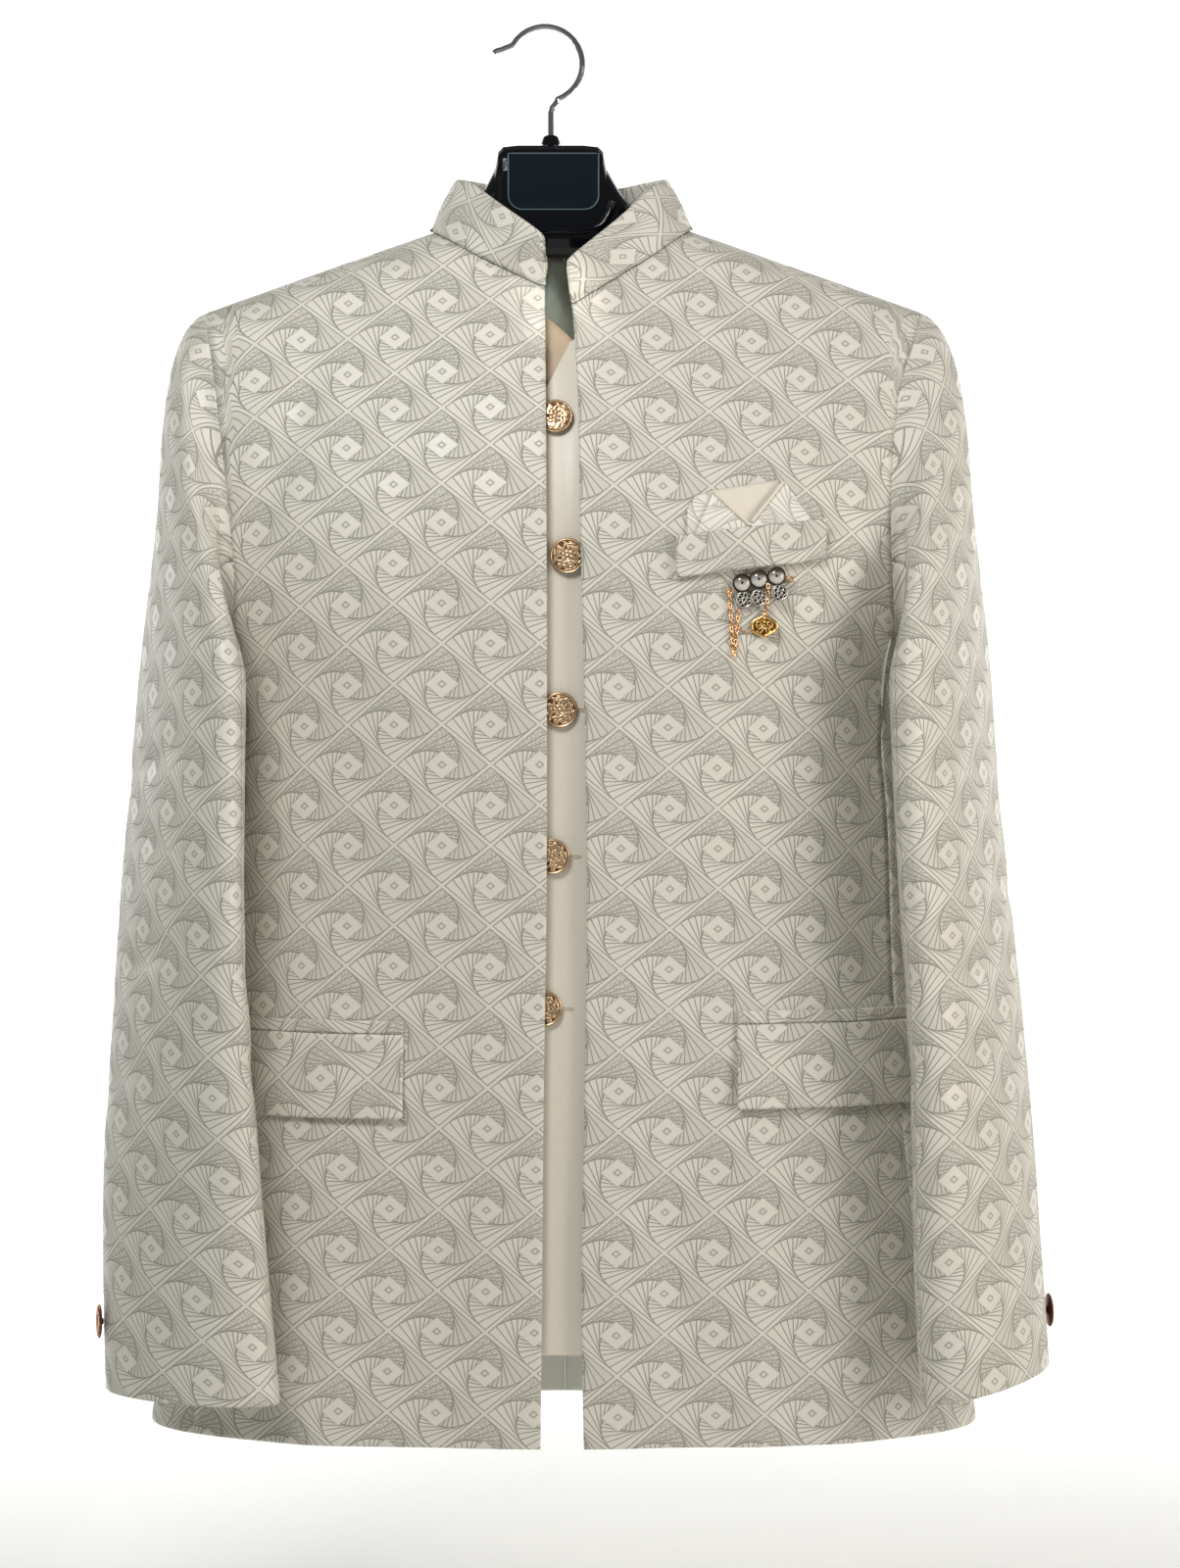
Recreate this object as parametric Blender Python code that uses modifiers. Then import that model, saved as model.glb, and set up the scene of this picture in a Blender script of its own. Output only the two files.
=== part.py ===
"""A jodhpuri suit jacket and its vest on a suit hanger, in metres, +Z up.

The row's origin is the inside top of the hanger's hook. +X is the viewer's right, +Y goes away from the
viewer. Left and right in names are the wearer's, so a left piece has positive X.
Cloth surfaces come from two functions, front_y and back_y, which give the depth of the garment at each
width and height. Sizes in this file are in millimetres and are turned into metres when a mesh is made.
"""

import math

import bmesh
import bpy
import numpy as np
from mathutils import Matrix, Vector
from mathutils.bvhtree import BVHTree

MM = 0.001

GARMENT_X = 8.0
SEAM_GAP = 0.3
ARMHOLE_GAP = 0.6
COLLAR_GAP = 1.5
JACKET_WALL = 1.8
VEST_WALL = 1.4
VEST_INSET = 8.5
COLLAR_WALL = 2.6

EYE_X = 16.0
EYE_Z = -462.0
EYE_DISTANCE = 2000.0

RIDGE_PEAK_Z = -94.6
RIDGE_SLOPE = 0.358
RIDGE_BLUNT = 25.0
RIDGE_ROUND = 25.0
FRONT_DROP = 230.0
BACK_DROP = 200.0
HEM_Z = -850.0
VEST_HEM_Z = -797.0
LAP_EDGE_X = -24.0
UNDER_EDGE_X = 22.0

BODY_COLUMNS = ("z", "half_width", "front_depth", "back_depth", "squareness", "side_set_back")
BODY_SECTIONS = (
    (-100.0, 268.0, 82.0, 74.0, 2.4, 0.0),
    (-200.0, 264.0, 86.0, 76.0, 2.4, 0.0),
    (-300.0, 240.0, 90.0, 78.0, 2.4, 0.0),
    (-350.0, 220.0, 90.0, 79.0, 2.4, 0.0),
    (-388.0, 204.0, 90.0, 80.0, 2.45, 3.0),
    (-406.0, 202.0, 90.0, 79.0, 2.45, 7.0),
    (-430.0, 204.0, 89.0, 77.0, 2.5, 12.0),
    (-480.0, 211.0, 88.0, 74.0, 2.5, 18.0),
    (-560.0, 217.0, 86.0, 71.0, 2.5, 22.0),
    (-640.0, 224.0, 90.0, 74.0, 2.5, 20.0),
    (-740.0, 238.0, 94.0, 82.0, 2.45, 16.0),
    (-850.0, 253.0, 97.0, 88.0, 2.4, 10.0),
)

FOLD_COLUMNS = ("x", "z_top", "z_foot", "width", "depth")
FRONT_FOLDS = (
    (-150.0, -450.0, -860.0, 26.0, 3.5),
    (-78.0, -520.0, -860.0, 30.0, -2.5),
    (70.0, -470.0, -860.0, 30.0, -3.0),
    (166.0, -470.0, -860.0, 24.0, 4.0),
    (118.0, -560.0, -860.0, 22.0, 2.0),
    (-182.0, -330.0, -560.0, 14.0, -3.0),
    (182.0, -300.0, -560.0, 14.0, -3.5),
)
BACK_FOLDS = (
    (-95.0, -420.0, -860.0, 28.0, 4.0),
    (0.0, -500.0, -860.0, 24.0, 3.0),
    (88.0, -380.0, -860.0, 30.0, 4.0),
    (-165.0, -260.0, -560.0, 18.0, 4.0),
    (160.0, -250.0, -540.0, 18.0, 4.0),
)

EDGE_COLUMNS = ("z", "right_front_edge_x", "left_front_edge_x")
FRONT_EDGES = (
    (-166.0, -11.0, 4.8),
    (-222.0, -10.2, 8.4),
    (-318.0, -9.4, 10.4),
    (-432.0, -9.2, 13.0),
    (-522.0, -9.4, 14.2),
    (-642.0, -11.0, 12.8),
    (-762.0, -12.0, 11.0),
    (-860.0, -13.0, 12.6),
)

ARMHOLE_COLUMNS = ("angle", "x_right", "x_left", "z")
ARMHOLE = (
    (0.0, 218.0, 218.0, -173.2),
    (22.0, 213.5, 210.5, -196.0),
    (42.0, 209.5, 202.5, -222.0),
    (62.0, 205.5, 198.0, -252.0),
    (82.0, 201.0, 195.5, -286.0),
    (102.0, 198.0, 195.5, -316.0),
    (122.0, 196.5, 197.0, -342.0),
    (145.0, 199.5, 199.5, -370.0),
    (163.0, 202.0, 202.0, -384.0),
    (180.0, 204.0, 204.0, -388.0),
    (197.0, 202.0, 202.0, -384.0),
    (215.0, 200.5, 200.5, -370.0),
    (238.0, 197.0, 197.0, -340.0),
    (262.0, 196.5, 196.5, -300.0),
    (285.0, 199.0, 199.0, -264.0),
    (308.0, 204.0, 204.0, -230.0),
    (330.0, 210.0, 210.0, -202.0),
    (360.0, 218.0, 218.0, -173.2),
)
SPLIT_ANGLE = 112.0
TOP_STEPS = 16
UNDER_STEPS = 10
TOP_STEP_ANGLE = 2 * SPLIT_ANGLE / TOP_STEPS
UNDER_STEP_ANGLE = (360.0 - 2 * SPLIT_ANGLE) / UNDER_STEPS
FRONT_SEAM_ANGLE = SPLIT_ANGLE + 2 * UNDER_STEP_ANGLE
BACK_SEAM_ANGLE = 360.0 - FRONT_SEAM_ANGLE
SEAM_LEVEL_Z = -364.0
SEAM_BLEND = 90.0
LOW_ROWS = 12
TIP_ANGLE = 5.0
FRONT_COLUMNS = 13
BACK_COLUMNS = 10
COLUMN_EASE = 1.25
ROW_EASE = 1.8
VEST_LOW_ROWS = 10
VEST_ARM_ROWS = 10
VEST_FRONT_COLUMNS = 9
VEST_BACK_COLUMNS = 13
VEST_COLUMN_EASE = 1.3
VEST_ROW_EASE = 2.2
SEAM_RATIO_COLUMNS = ("z", "front_seam_ratio", "back_seam_ratio")
SEAM_RATIOS = (
    (-370.0, 0.945, 0.945),
    (-480.0, 0.925, 0.900),
    (-640.0, 0.900, 0.860),
    (-850.0, 0.875, 0.830),
)

SLEEVE_COLUMNS = ("z", "inner_x", "outer_x", "middle_y", "long_half", "short_half")
RIGHT_SLEEVE = (
    (-404.0, 186.0, 264.4, -28.0, 82.0, 24.0),
    (-470.0, 186.0, 269.0, -36.0, 80.0, 24.0),
    (-540.0, 185.5, 272.6, -46.0, 76.0, 25.0),
    (-610.0, 181.0, 274.6, -58.0, 72.0, 26.0),
    (-680.0, 175.5, 276.0, -73.0, 67.0, 27.0),
    (-750.0, 169.0, 272.8, -89.0, 61.0, 28.0),
    (-818.0, 162.0, 267.6, -104.0, 57.0, 30.0),
)
LEFT_SLEEVE = (
    (-404.0, 192.0, 265.0, -28.0, 82.0, 24.0),
    (-470.0, 194.0, 269.0, -34.0, 80.0, 24.0),
    (-540.0, 197.5, 275.0, -42.0, 76.0, 25.0),
    (-610.0, 201.5, 280.5, -50.0, 71.0, 26.0),
    (-680.0, 204.0, 285.0, -58.0, 65.0, 27.0),
    (-750.0, 205.0, 288.0, -66.0, 59.0, 28.0),
    (-822.0, 208.6, 291.0, -74.0, 54.0, 30.0),
)
CUFF_RISE_RIGHT = 2.0
CUFF_RISE_LEFT = 14.0
SLEEVE_SEAM_RADIUS = 24.0
CAP_ROWS = 7
SLEEVE_ROWS = 10

COLLAR_COLUMNS = ("base_x", "base_y", "base_z", "top_x", "top_y", "top_z")
COLLAR = (
    (-11.0, None, -165.0, -11.5, -53.0, -140.0),
    (-15.0, None, -163.6, -14.5, -51.0, -132.0),
    (-42.0, None, -150.0, -39.0, -36.0, -112.0),
    (-64.0, None, -137.0, -56.0, -18.0, -97.0),
    (-81.0, 0.0, -124.3, -66.0, 4.0, -90.5),
    (-66.0, None, -124.0, -56.0, 26.0, -88.5),
    (-36.0, None, -130.0, -32.0, 38.0, -91.0),
    (0.0, None, -133.0, 0.0, 42.0, -93.0),
    (36.0, None, -130.0, 32.0, 38.0, -91.0),
    (64.0, None, -124.0, 54.0, 26.0, -88.5),
    (78.0, 0.0, -123.2, 63.0, 4.0, -90.5),
    (62.0, None, -138.0, 53.0, -18.0, -100.0),
    (38.0, None, -155.0, 33.0, -36.0, -121.0),
    (9.0, None, -174.0, 5.0, -50.0, -146.0),
    (5.0, None, -176.0, 1.6, -52.0, -154.0),
)
COLLAR_BULGE = 1.6
COLLAR_STEPS = 33
COLLAR_FRONT_BELOW_Z = -134.0

FLAP_LENGTH = 142.0
FLAP_END_RATIO = 0.95
COVER_GAP = 0.9
FLAP_WALL = 2.0
FLAP_SWING = 2.6
FLAP_COLUMNS = 12
FLAP_ROWS = 5
FLAP_MIDDLE_SEEN_Z = -645.0
JET_HEIGHT = 7.6
JET_WALL = 1.6
WELT_LENGTH = 88.5
WELT_HEIGHT = 24.0
WELT_WALL = 2.0
WELT_CORNER_X = 66.0
WELT_CORNER_Z = -341.4
WELT_RISE = 0.125
WELT_GAP = 2.4
SQUARE_WALL = 0.8

VEST_BUTTON_Y = -85.0
VEST_BUTTON_COLUMNS = ("seen_x", "seen_z")
VEST_BUTTONS = (
    (-5.4, -235.8),
    (2.4, -322.2),
    (-2.4, -416.4),
    (-7.2, -506.4),
    (-12.0, -600.0),
)

HANGER_COLUMNS = ("x", "top_z", "height", "front_y", "depth", "squareness", "drop_on_right")
HANGER_TIP_X = 204.0
FACET_ROOM = 1.4
VEST_FACET_ROOM = 3.2
HANGER_NECK = (
    (0.0, -72.0, 68.0, -19.0, 34.0, 3.4, 0.0),
    (20.0, -72.0, 68.0, -19.0, 34.0, 3.4, 0.0),
    (29.0, -73.0, 68.0, -19.0, 34.0, 3.4, 0.0),
    (32.0, -76.0, 66.0, -18.5, 34.0, 3.2, 0.0),
    (34.0, -86.0, 58.0, -18.0, 34.0, 3.0, 0.0),
    (41.0, -98.0, 48.0, -17.5, 34.0, 2.8, 1.5),
    (52.0, -112.0, 40.0, -12.5, 25.0, 2.3, 9.0),
    (62.0, -126.0, 33.0, -12.0, 24.0, 2.2, 12.0),
)
HANGER_ARM_X = (81.0, 106.0, 153.0, 164.0, 180.0, 197.0, 204.0)
ARM_START_DIP = 2.2
PLATE_X = 1.8
PLATE_Z = -96.4
HOOK_WIRE_RADIUS = 1.9
HOOK_CENTRE = (-3.6, -21.0)
HOOK_RADIUS = 22.9


def look_up(table, column, value):
    """Smooth value of a column of a table whose first column runs one way."""
    rows = np.array(table, dtype=float)
    if rows[0, 0] > rows[-1, 0]:
        rows = rows[::-1]
    value = np.asarray(value, dtype=float)
    keys = rows[:, 0]
    data = rows[:, column]
    slopes = np.gradient(data, keys)
    clipped = np.clip(value, keys[0], keys[-1])
    i = np.clip(np.searchsorted(keys, clipped) - 1, 0, len(keys) - 2)
    span = keys[i + 1] - keys[i]
    t = (clipped - keys[i]) / span
    h00 = 2 * t**3 - 3 * t**2 + 1
    h10 = t**3 - 2 * t**2 + t
    h01 = -2 * t**3 + 3 * t**2
    h11 = t**3 - t**2
    return h00 * data[i] + h10 * span * slopes[i] + h01 * data[i + 1] + h11 * span * slopes[i + 1]


def smooth_step(value):
    """Rises from 0 to 1 with level ends."""
    value = np.clip(value, 0.0, 1.0)
    return value * value * (3 - 2 * value)


def true_x(seen_x, y):
    """Real width of something seen at depth y, with the picture's perspective taken out."""
    return EYE_X + (seen_x - EYE_X) * (1 + y / EYE_DISTANCE)


def true_z(seen_z, y):
    """Real height of something seen at depth y, with the picture's perspective taken out."""
    return EYE_Z + (seen_z - EYE_Z) * (1 + y / EYE_DISTANCE)


def ridge_z(x):
    """Height of the shoulder line at a width."""
    return RIDGE_PEAK_Z - RIDGE_SLOPE * np.sqrt(np.square(x) + RIDGE_BLUNT**2)


def folds(x, z, table):
    """Sum of the soft vertical folds at a place, positive toward the outside."""
    total = np.zeros(np.broadcast(x, z).shape)
    for centre, top, foot, width, depth in table:
        along = smooth_step((top - z) / (0.35 * (top - foot)))
        along = along * smooth_step((z - foot + 60.0) / 60.0)
        total = total + depth * along * np.exp(-(((x - centre) / width) ** 2))
    return total


def side_share(x, z, inset):
    """How much of the full depth is left at a width, 1 at the middle and 0 at the side."""
    half = look_up(BODY_SECTIONS, 1, z) - inset
    power = look_up(BODY_SECTIONS, 4, z)
    ratio = np.clip(np.abs(x) / half, 0.0, 1.0)
    return (1 - ratio**power) ** (1 / power)


def shell_depth(x, z, inset, depth_column, drop):
    """Depth of the garment from its middle plane to one face."""
    below = np.clip(ridge_z(x) - inset - z, 0.0, None)
    round_size = RIDGE_ROUND - 0.6 * inset
    t = np.clip(below / round_size, 0.0, 1.0)
    shoulder = round_size * np.sqrt(1 - (1 - t) ** 2)
    full = (look_up(BODY_SECTIONS, depth_column, z) - inset) * side_share(x, z, inset)
    fall = np.sin(0.5 * math.pi * np.clip(below / drop, 0.0, 1.0))
    return shoulder + (full - shoulder) * fall


def side_shift(x, z):
    """How far the sides of the body lie behind its middle plane at a place."""
    ratio = np.clip(np.abs(x) / look_up(BODY_SECTIONS, 1, z), 0.0, 1.0)
    return look_up(BODY_SECTIONS, 5, z) * ratio**2


def front_y(x, z):
    """Y of the outer face of the jacket's front."""
    return side_shift(x, z) - shell_depth(x, z, 0.0, 2, FRONT_DROP) - folds(x, z, FRONT_FOLDS)


def back_y(x, z):
    """Y of the outer face of the jacket's back."""
    return side_shift(x, z) + shell_depth(x, z, 0.0, 3, BACK_DROP) + folds(x, z, BACK_FOLDS)


def vest_over_y(x, z):
    """Y of the outer face of the vest's left front, which laps over."""
    return side_shift(x, z) - shell_depth(x, z, VEST_INSET, 2, FRONT_DROP)


def vest_under_y(x, z):
    """Y of the outer face of the vest's right front, which dips under the lap at the middle."""
    lap = smooth_step((x + 62.0) / 30.0)
    return vest_over_y(x, z) + (VEST_WALL + 2 * SEAM_GAP) * lap


def vest_back_y(x, z):
    """Y of the outer face of the vest's back."""
    return side_shift(x, z) + shell_depth(x, z, VEST_INSET, 3, BACK_DROP)


def linear(hex_colour):
    """Linear red, green and blue of a hex colour."""
    channels = [int(hex_colour[i : i + 2], 16) / 255 for i in (0, 2, 4)]
    return [c / 12.92 if c <= 0.04045 else ((c + 0.055) / 1.055) ** 2.4 for c in channels] + [1.0]


def make_material(name, hex_colour, roughness, metallic=0.0):
    """One plain shader for one sub-part."""
    material = bpy.data.materials.new(name)
    material.use_nodes = True
    shader = material.node_tree.nodes["Principled BSDF"]
    shader.inputs["Base Color"].default_value = linear(hex_colour)
    shader.inputs["Roughness"].default_value = roughness
    shader.inputs["Metallic"].default_value = metallic
    return material


FINISH_COLUMNS = ("colour", "roughness", "metallic")
FINISHES = {
    "jacquard": ("CDC9BE", 0.55, 0.0),
    "satin": ("E4DDD0", 0.40, 0.0),
    "antique_gold": ("B98D54", 0.35, 1.0),
    "copper_gold": ("8A5A3C", 0.35, 1.0),
    "black_plastic": ("0A0F14", 0.15, 0.0),
    "plate_plastic": ("18222B", 0.20, 0.0),
    "chrome": ("C8C8C8", 0.12, 1.0),
    "silver": ("B9B6AE", 0.30, 1.0),
    "pearl": ("E6E4DE", 0.15, 0.0),
    "gold": ("D0953C", 0.28, 1.0),
}


def new_object(name, mesh, finish):
    """Adds a mesh to the suit's collection with its own material, moved to the row's frame."""
    obj = bpy.data.objects.new(name, mesh)
    suit_collection().objects.link(obj)
    colour, roughness, metallic = FINISHES[finish]
    mesh.materials.clear()
    mesh.materials.append(make_material(name + "_finish", colour, roughness, metallic))
    return obj


def suit_collection():
    """The collection that holds the built pieces."""
    found = bpy.data.collections.get("jodhpuri_suit")
    if found is None:
        found = bpy.data.collections.new("jodhpuri_suit")
        bpy.context.scene.collection.children.link(found)
    return found


def cutter_collection():
    """The hidden collection that holds the cutters."""
    found = bpy.data.collections.get("cutters")
    if found is None:
        found = bpy.data.collections.new("cutters")
        bpy.context.scene.collection.children.link(found)
    return found


def grid_faces(rows, columns, wrap=False):
    """Quads of a grid of points, rows by columns."""
    index = np.arange(rows * columns).reshape(rows, columns)
    if wrap:
        index = np.concatenate([index, index[:, :1]], axis=1)
    corners = (index[:-1, :-1], index[:-1, 1:], index[1:, 1:], index[1:, :-1])
    return np.stack([corner.ravel() for corner in corners], axis=1)


def mesh_from(name, points, faces):
    """Mesh from points in millimetres and a list of faces."""
    mesh = bpy.data.meshes.new(name)
    mesh.from_pydata((np.asarray(points).reshape(-1, 3) * MM).tolist(), [], faces)
    mesh.validate()
    return mesh


def grid_normals(points, outside):
    """Unit normals of a grid of points, turned to the outside given as a vector or a grid."""
    across = np.gradient(points, axis=1)
    along = np.gradient(points, axis=0)
    normal = np.cross(across, along)
    normal = normal / np.linalg.norm(normal, axis=2)[:, :, None]
    if np.mean(np.sum(normal * outside, axis=2)) < 0:
        normal = -normal
    return normal


def face_normals(x, z, depth, outside_y):
    """Unit normals of the garment's front or back face at given widths and heights."""
    step = 0.02
    slope_x = (depth(x + step, z) - depth(x - step, z)) / (2 * step)
    slope_z = (depth(x, z + step) - depth(x, z - step)) / (2 * step)
    normal = np.stack([-slope_x, np.ones_like(slope_x), -slope_z], axis=2) * outside_y
    return normal / np.linalg.norm(normal, axis=2)[:, :, None]


def cloth_piece(name, points, wall, finish, normals):
    """A closed cloth wall from a grid of its outer face, thickened inward along the normals."""
    rows, columns = points.shape[:2]
    shift = np.array([GARMENT_X, 0.0, 0.0])
    outer = points + shift
    inner = outer - normals * wall
    quads = grid_faces(rows, columns)
    count = rows * columns
    index = np.arange(count).reshape(rows, columns)
    rim = np.concatenate([index[0, :-1], index[:-1, -1], index[-1, :0:-1], index[:0:-1, 0]])
    next_rim = np.roll(rim, -1)
    sides = np.stack([next_rim, rim, rim + count, next_rim + count], axis=1)
    faces = np.concatenate([quads, quads[:, ::-1] + count, sides])
    mesh = mesh_from(name, np.concatenate([outer.reshape(-1, 3), inner.reshape(-1, 3)]), faces.tolist())
    work = bmesh.new()
    work.from_mesh(mesh)
    if work.calc_volume(signed=True) < 0:
        bmesh.ops.reverse_faces(work, faces=work.faces)
    bmesh.ops.triangulate(work, faces=work.faces, quad_method="SHORT_EDGE")
    work.to_mesh(mesh)
    work.free()
    obj = new_object(name, mesh, finish)
    mesh.shade_smooth()
    mesh.set_sharp_from_angle(angle=math.radians(50))
    return obj


def patch(low, high, near, far, share_across, share_up):
    """Fills a patch between four edges of points: low and high run across, near and far run up."""
    u = share_across[None, :, None]
    v = share_up[:, None, None]
    across = (1 - v) * low[None] + v * high[None]
    along = (1 - u) * near[:, None] + u * far[:, None]
    corners = (1 - u) * (1 - v) * low[0] + u * (1 - v) * low[-1]
    corners = corners + (1 - u) * v * high[0] + u * v * high[-1]
    return across + along - corners


def packed(count, ease):
    """Shares from 0 to 1 whose steps grow shorter toward 1."""
    return 1 - (1 - np.linspace(0, 1, count)) ** ease


def upright(x, z):
    """Points (x, z) of a line given by its widths and heights."""
    return np.stack([np.broadcast_to(x, z.shape), z], axis=1)


def laid_out(flat, depth, proud):
    """Grid of points (x, z) put on a face of the garment, moved along Y by a small amount."""
    y = depth(flat[:, :, 0], flat[:, :, 1]) + proud
    return np.stack([flat[:, :, 0], y, flat[:, :, 1]], axis=2)


def resample(line, count, ease=1.0):
    """Points at even steps of length along a polyline; an ease over 1 packs them to the far end."""
    line = np.asarray(line, dtype=float)
    steps = np.linalg.norm(np.diff(line, axis=0), axis=1)
    travelled = np.concatenate([[0], np.cumsum(steps)])
    wanted = packed(count, ease) * travelled[-1]
    return np.stack([np.interp(wanted, travelled, line[:, k]) for k in range(line.shape[1])], axis=1)


def armhole_angles(first, last):
    """The angles at which panels and sleeves share points on the armhole, between two of them."""
    upper = np.concatenate([[0.0, TIP_ANGLE], TOP_STEP_ANGLE * np.arange(1, TOP_STEPS // 2 + 1)])
    lower = SPLIT_ANGLE + UNDER_STEP_ANGLE * np.arange(1, UNDER_STEPS)
    every = np.concatenate([upper, lower, 360.0 - upper[::-1]])
    return every[(every > first - 0.01) & (every < last + 0.01)]


def armhole_line(side, first, last):
    """Points (x, z) on the armhole between two of its angles, for one side of the body."""
    wanted = armhole_angles(first, last)
    return np.stack([side * armhole_x(side, wanted), look_up(ARMHOLE, 3, wanted)], axis=1)


def armhole_x(side, angle):
    """Distance of the armhole from the middle at an angle, for one side."""
    return look_up(ARMHOLE, 2 if side > 0 else 1, angle)


def seam_x(column, z, side):
    """Width of a side seam at a height, led into the armhole at its top."""
    angle = FRONT_SEAM_ANGLE if column == 1 else BACK_SEAM_ANGLE
    top_z = look_up(ARMHOLE, 3, angle)
    mix = smooth_step((z - top_z + SEAM_BLEND) / SEAM_BLEND)
    free = look_up(SEAM_RATIOS, column, z) * look_up(BODY_SECTIONS, 1, z)
    return side * (free * (1 - mix) + armhole_x(side, angle) * mix)


def neck_line(side, front):
    """Points (x, z) of the neck seam from the middle to the shoulder, read from the collar's base."""
    rows = [(row[0], row[2]) for row in COLLAR]
    if front:
        chosen = rows[1:5] if side < 0 else rows[13:9:-1]
        lead = rows[0] if side < 0 else rows[14]
        chosen = [lead] + chosen
    else:
        chosen = rows[7:3:-1] if side < 0 else rows[7:11]
    return np.array(chosen)


def shoulder_tip(side):
    """Point (x, z) where the shoulder seam meets the armhole."""
    reach = float(armhole_x(side, 0.0))
    return np.array([side * reach, float(ridge_z(reach))])


def on_ridge(line, neck_end, inset):
    """Puts the nearest point at the neck's end and every point beyond it on the shoulder line."""
    line = line.copy()
    corner = int(np.argmin(np.linalg.norm(line - neck_end, axis=1)))
    line[corner] = neck_end
    beyond = np.abs(line[:, 0]) >= abs(neck_end[0]) - 0.01
    line[beyond, 1] = ridge_z(line[beyond, 0]) - inset
    return line


def front_panel(side):
    """Grid of one jacket front, from its hem up to the neck and shoulder."""
    edge_column = 2 if side > 0 else 1
    seam_top = float(look_up(ARMHOLE, 3, FRONT_SEAM_ANGLE))
    low_z = np.linspace(HEM_Z, seam_top, LOW_ROWS)
    edge_low = upright(look_up(FRONT_EDGES, edge_column, low_z), low_z)
    seam_low = upright(seam_x(1, low_z, side), low_z)
    neck = neck_line(side, True)
    tip = shoulder_tip(side)
    arm = armhole_line(side, 0.0, FRONT_SEAM_ANGLE)[::-1]
    arm[-1] = tip
    high_z = np.linspace(seam_top, neck[0, 1], 4 * len(arm))
    edge_high = upright(look_up(FRONT_EDGES, edge_column, high_z), high_z)
    edge_high[-1] = neck[0]
    edge_high = resample(edge_high, len(arm), ROW_EASE)
    across = packed(FRONT_COLUMNS, COLUMN_EASE)
    low = edge_low[:, None] * (1 - across[None, :, None]) + seam_low[:, None] * across[None, :, None]
    top = on_ridge(resample(np.concatenate([neck, [tip]]), FRONT_COLUMNS), neck[-1], 0.0)
    high = patch(low[-1], top, edge_high, arm, across, packed(len(arm), ROW_EASE))
    return laid_out(np.concatenate([low, high[1:]]), front_y, -0.5 * SEAM_GAP)


def back_panel(side):
    """Grid of one jacket back, from its hem up to the neck and shoulder."""
    seam_top = float(look_up(ARMHOLE, 3, BACK_SEAM_ANGLE))
    low_z = np.linspace(HEM_Z, seam_top, LOW_ROWS)
    middle_x = side * 0.5 * SEAM_GAP
    middle_low = upright(middle_x, low_z)
    seam_low = upright(seam_x(2, low_z, side), low_z)
    neck = neck_line(side, False)
    neck[0, 0] = middle_x
    tip = shoulder_tip(side)
    arm = armhole_line(side, BACK_SEAM_ANGLE, 360.0)
    arm[-1] = tip
    middle_high = upright(middle_x, np.linspace(seam_top, neck[0, 1], len(arm)))
    middle_high = resample(middle_high, len(arm), ROW_EASE)
    across = packed(BACK_COLUMNS, COLUMN_EASE)
    low = middle_low[:, None] * (1 - across[None, :, None]) + seam_low[:, None] * across[None, :, None]
    top = on_ridge(resample(np.concatenate([neck, [tip]]), BACK_COLUMNS), neck[-1], 0.0)
    high = patch(low[-1], top, middle_high, arm, across, packed(len(arm), ROW_EASE))
    return laid_out(np.concatenate([low, high[1:]]), back_y, 0.5 * SEAM_GAP)


def ratio_angle(ratio, power):
    """Angle round the body's section at which a share of the half width is reached."""
    return np.arcsin(np.clip(ratio, 0.0, 1.0) ** (power / 2))


def side_panel(side):
    """Grid of one side panel, from its hem up to the underarm."""
    rows = LOW_ROWS
    arm_angle = armhole_angles(FRONT_SEAM_ANGLE, BACK_SEAM_ANGLE)
    share_round = (arm_angle - arm_angle[0]) / (arm_angle[-1] - arm_angle[0])
    arm_z = look_up(ARMHOLE, 3, arm_angle) - 0.5 * SEAM_GAP
    arm_ratio = armhole_x(side, arm_angle) / look_up(BODY_SECTIONS, 1, arm_z)
    arm_turn = ratio_angle(arm_ratio, look_up(BODY_SECTIONS, 4, arm_z))
    arm_turn = np.where(arm_angle < 180.0, arm_turn, math.pi - arm_turn)
    share_up = np.linspace(0, 1, rows)[:, None]
    z = HEM_Z + (arm_z[None] - HEM_Z) * share_up
    power = look_up(BODY_SECTIONS, 4, z)
    half = look_up(BODY_SECTIONS, 1, z)
    front_turn = ratio_angle(np.abs(seam_x(1, z, side)) / half, power)
    back_turn = math.pi - ratio_angle(np.abs(seam_x(2, z, side)) / half, power)
    turn = front_turn + (back_turn - front_turn) * share_round[None]
    mix = smooth_step((share_up - 0.70) / 0.30)
    turn = turn * (1 - mix) + arm_turn[None] * mix
    turn[:, 0] = front_turn[:, 0]
    turn[:, -1] = back_turn[:, -1]
    nip = 2.0 * SEAM_GAP / half
    turn[:, 0] += nip[:, 0]
    turn[:, -1] -= nip[:, -1]
    x = side * half * np.abs(np.sin(turn)) ** (2 / power)
    y = np.where(turn < 0.5 * math.pi, front_y(x, z), back_y(x, z))
    return np.stack([x, y, z], axis=2)


def armhole_point(side, angle):
    """Point of the armhole on the body's outer face."""
    x = side * armhole_x(side, angle)
    z = look_up(ARMHOLE, 3, angle)
    is_front = angle <= 180.0
    y = np.where(is_front, front_y(x, z), back_y(x, z))
    y = np.where((angle <= 1.0) | (angle >= 359.0), 0.0, y)
    return np.stack([x, y, z], axis=-1)


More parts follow.
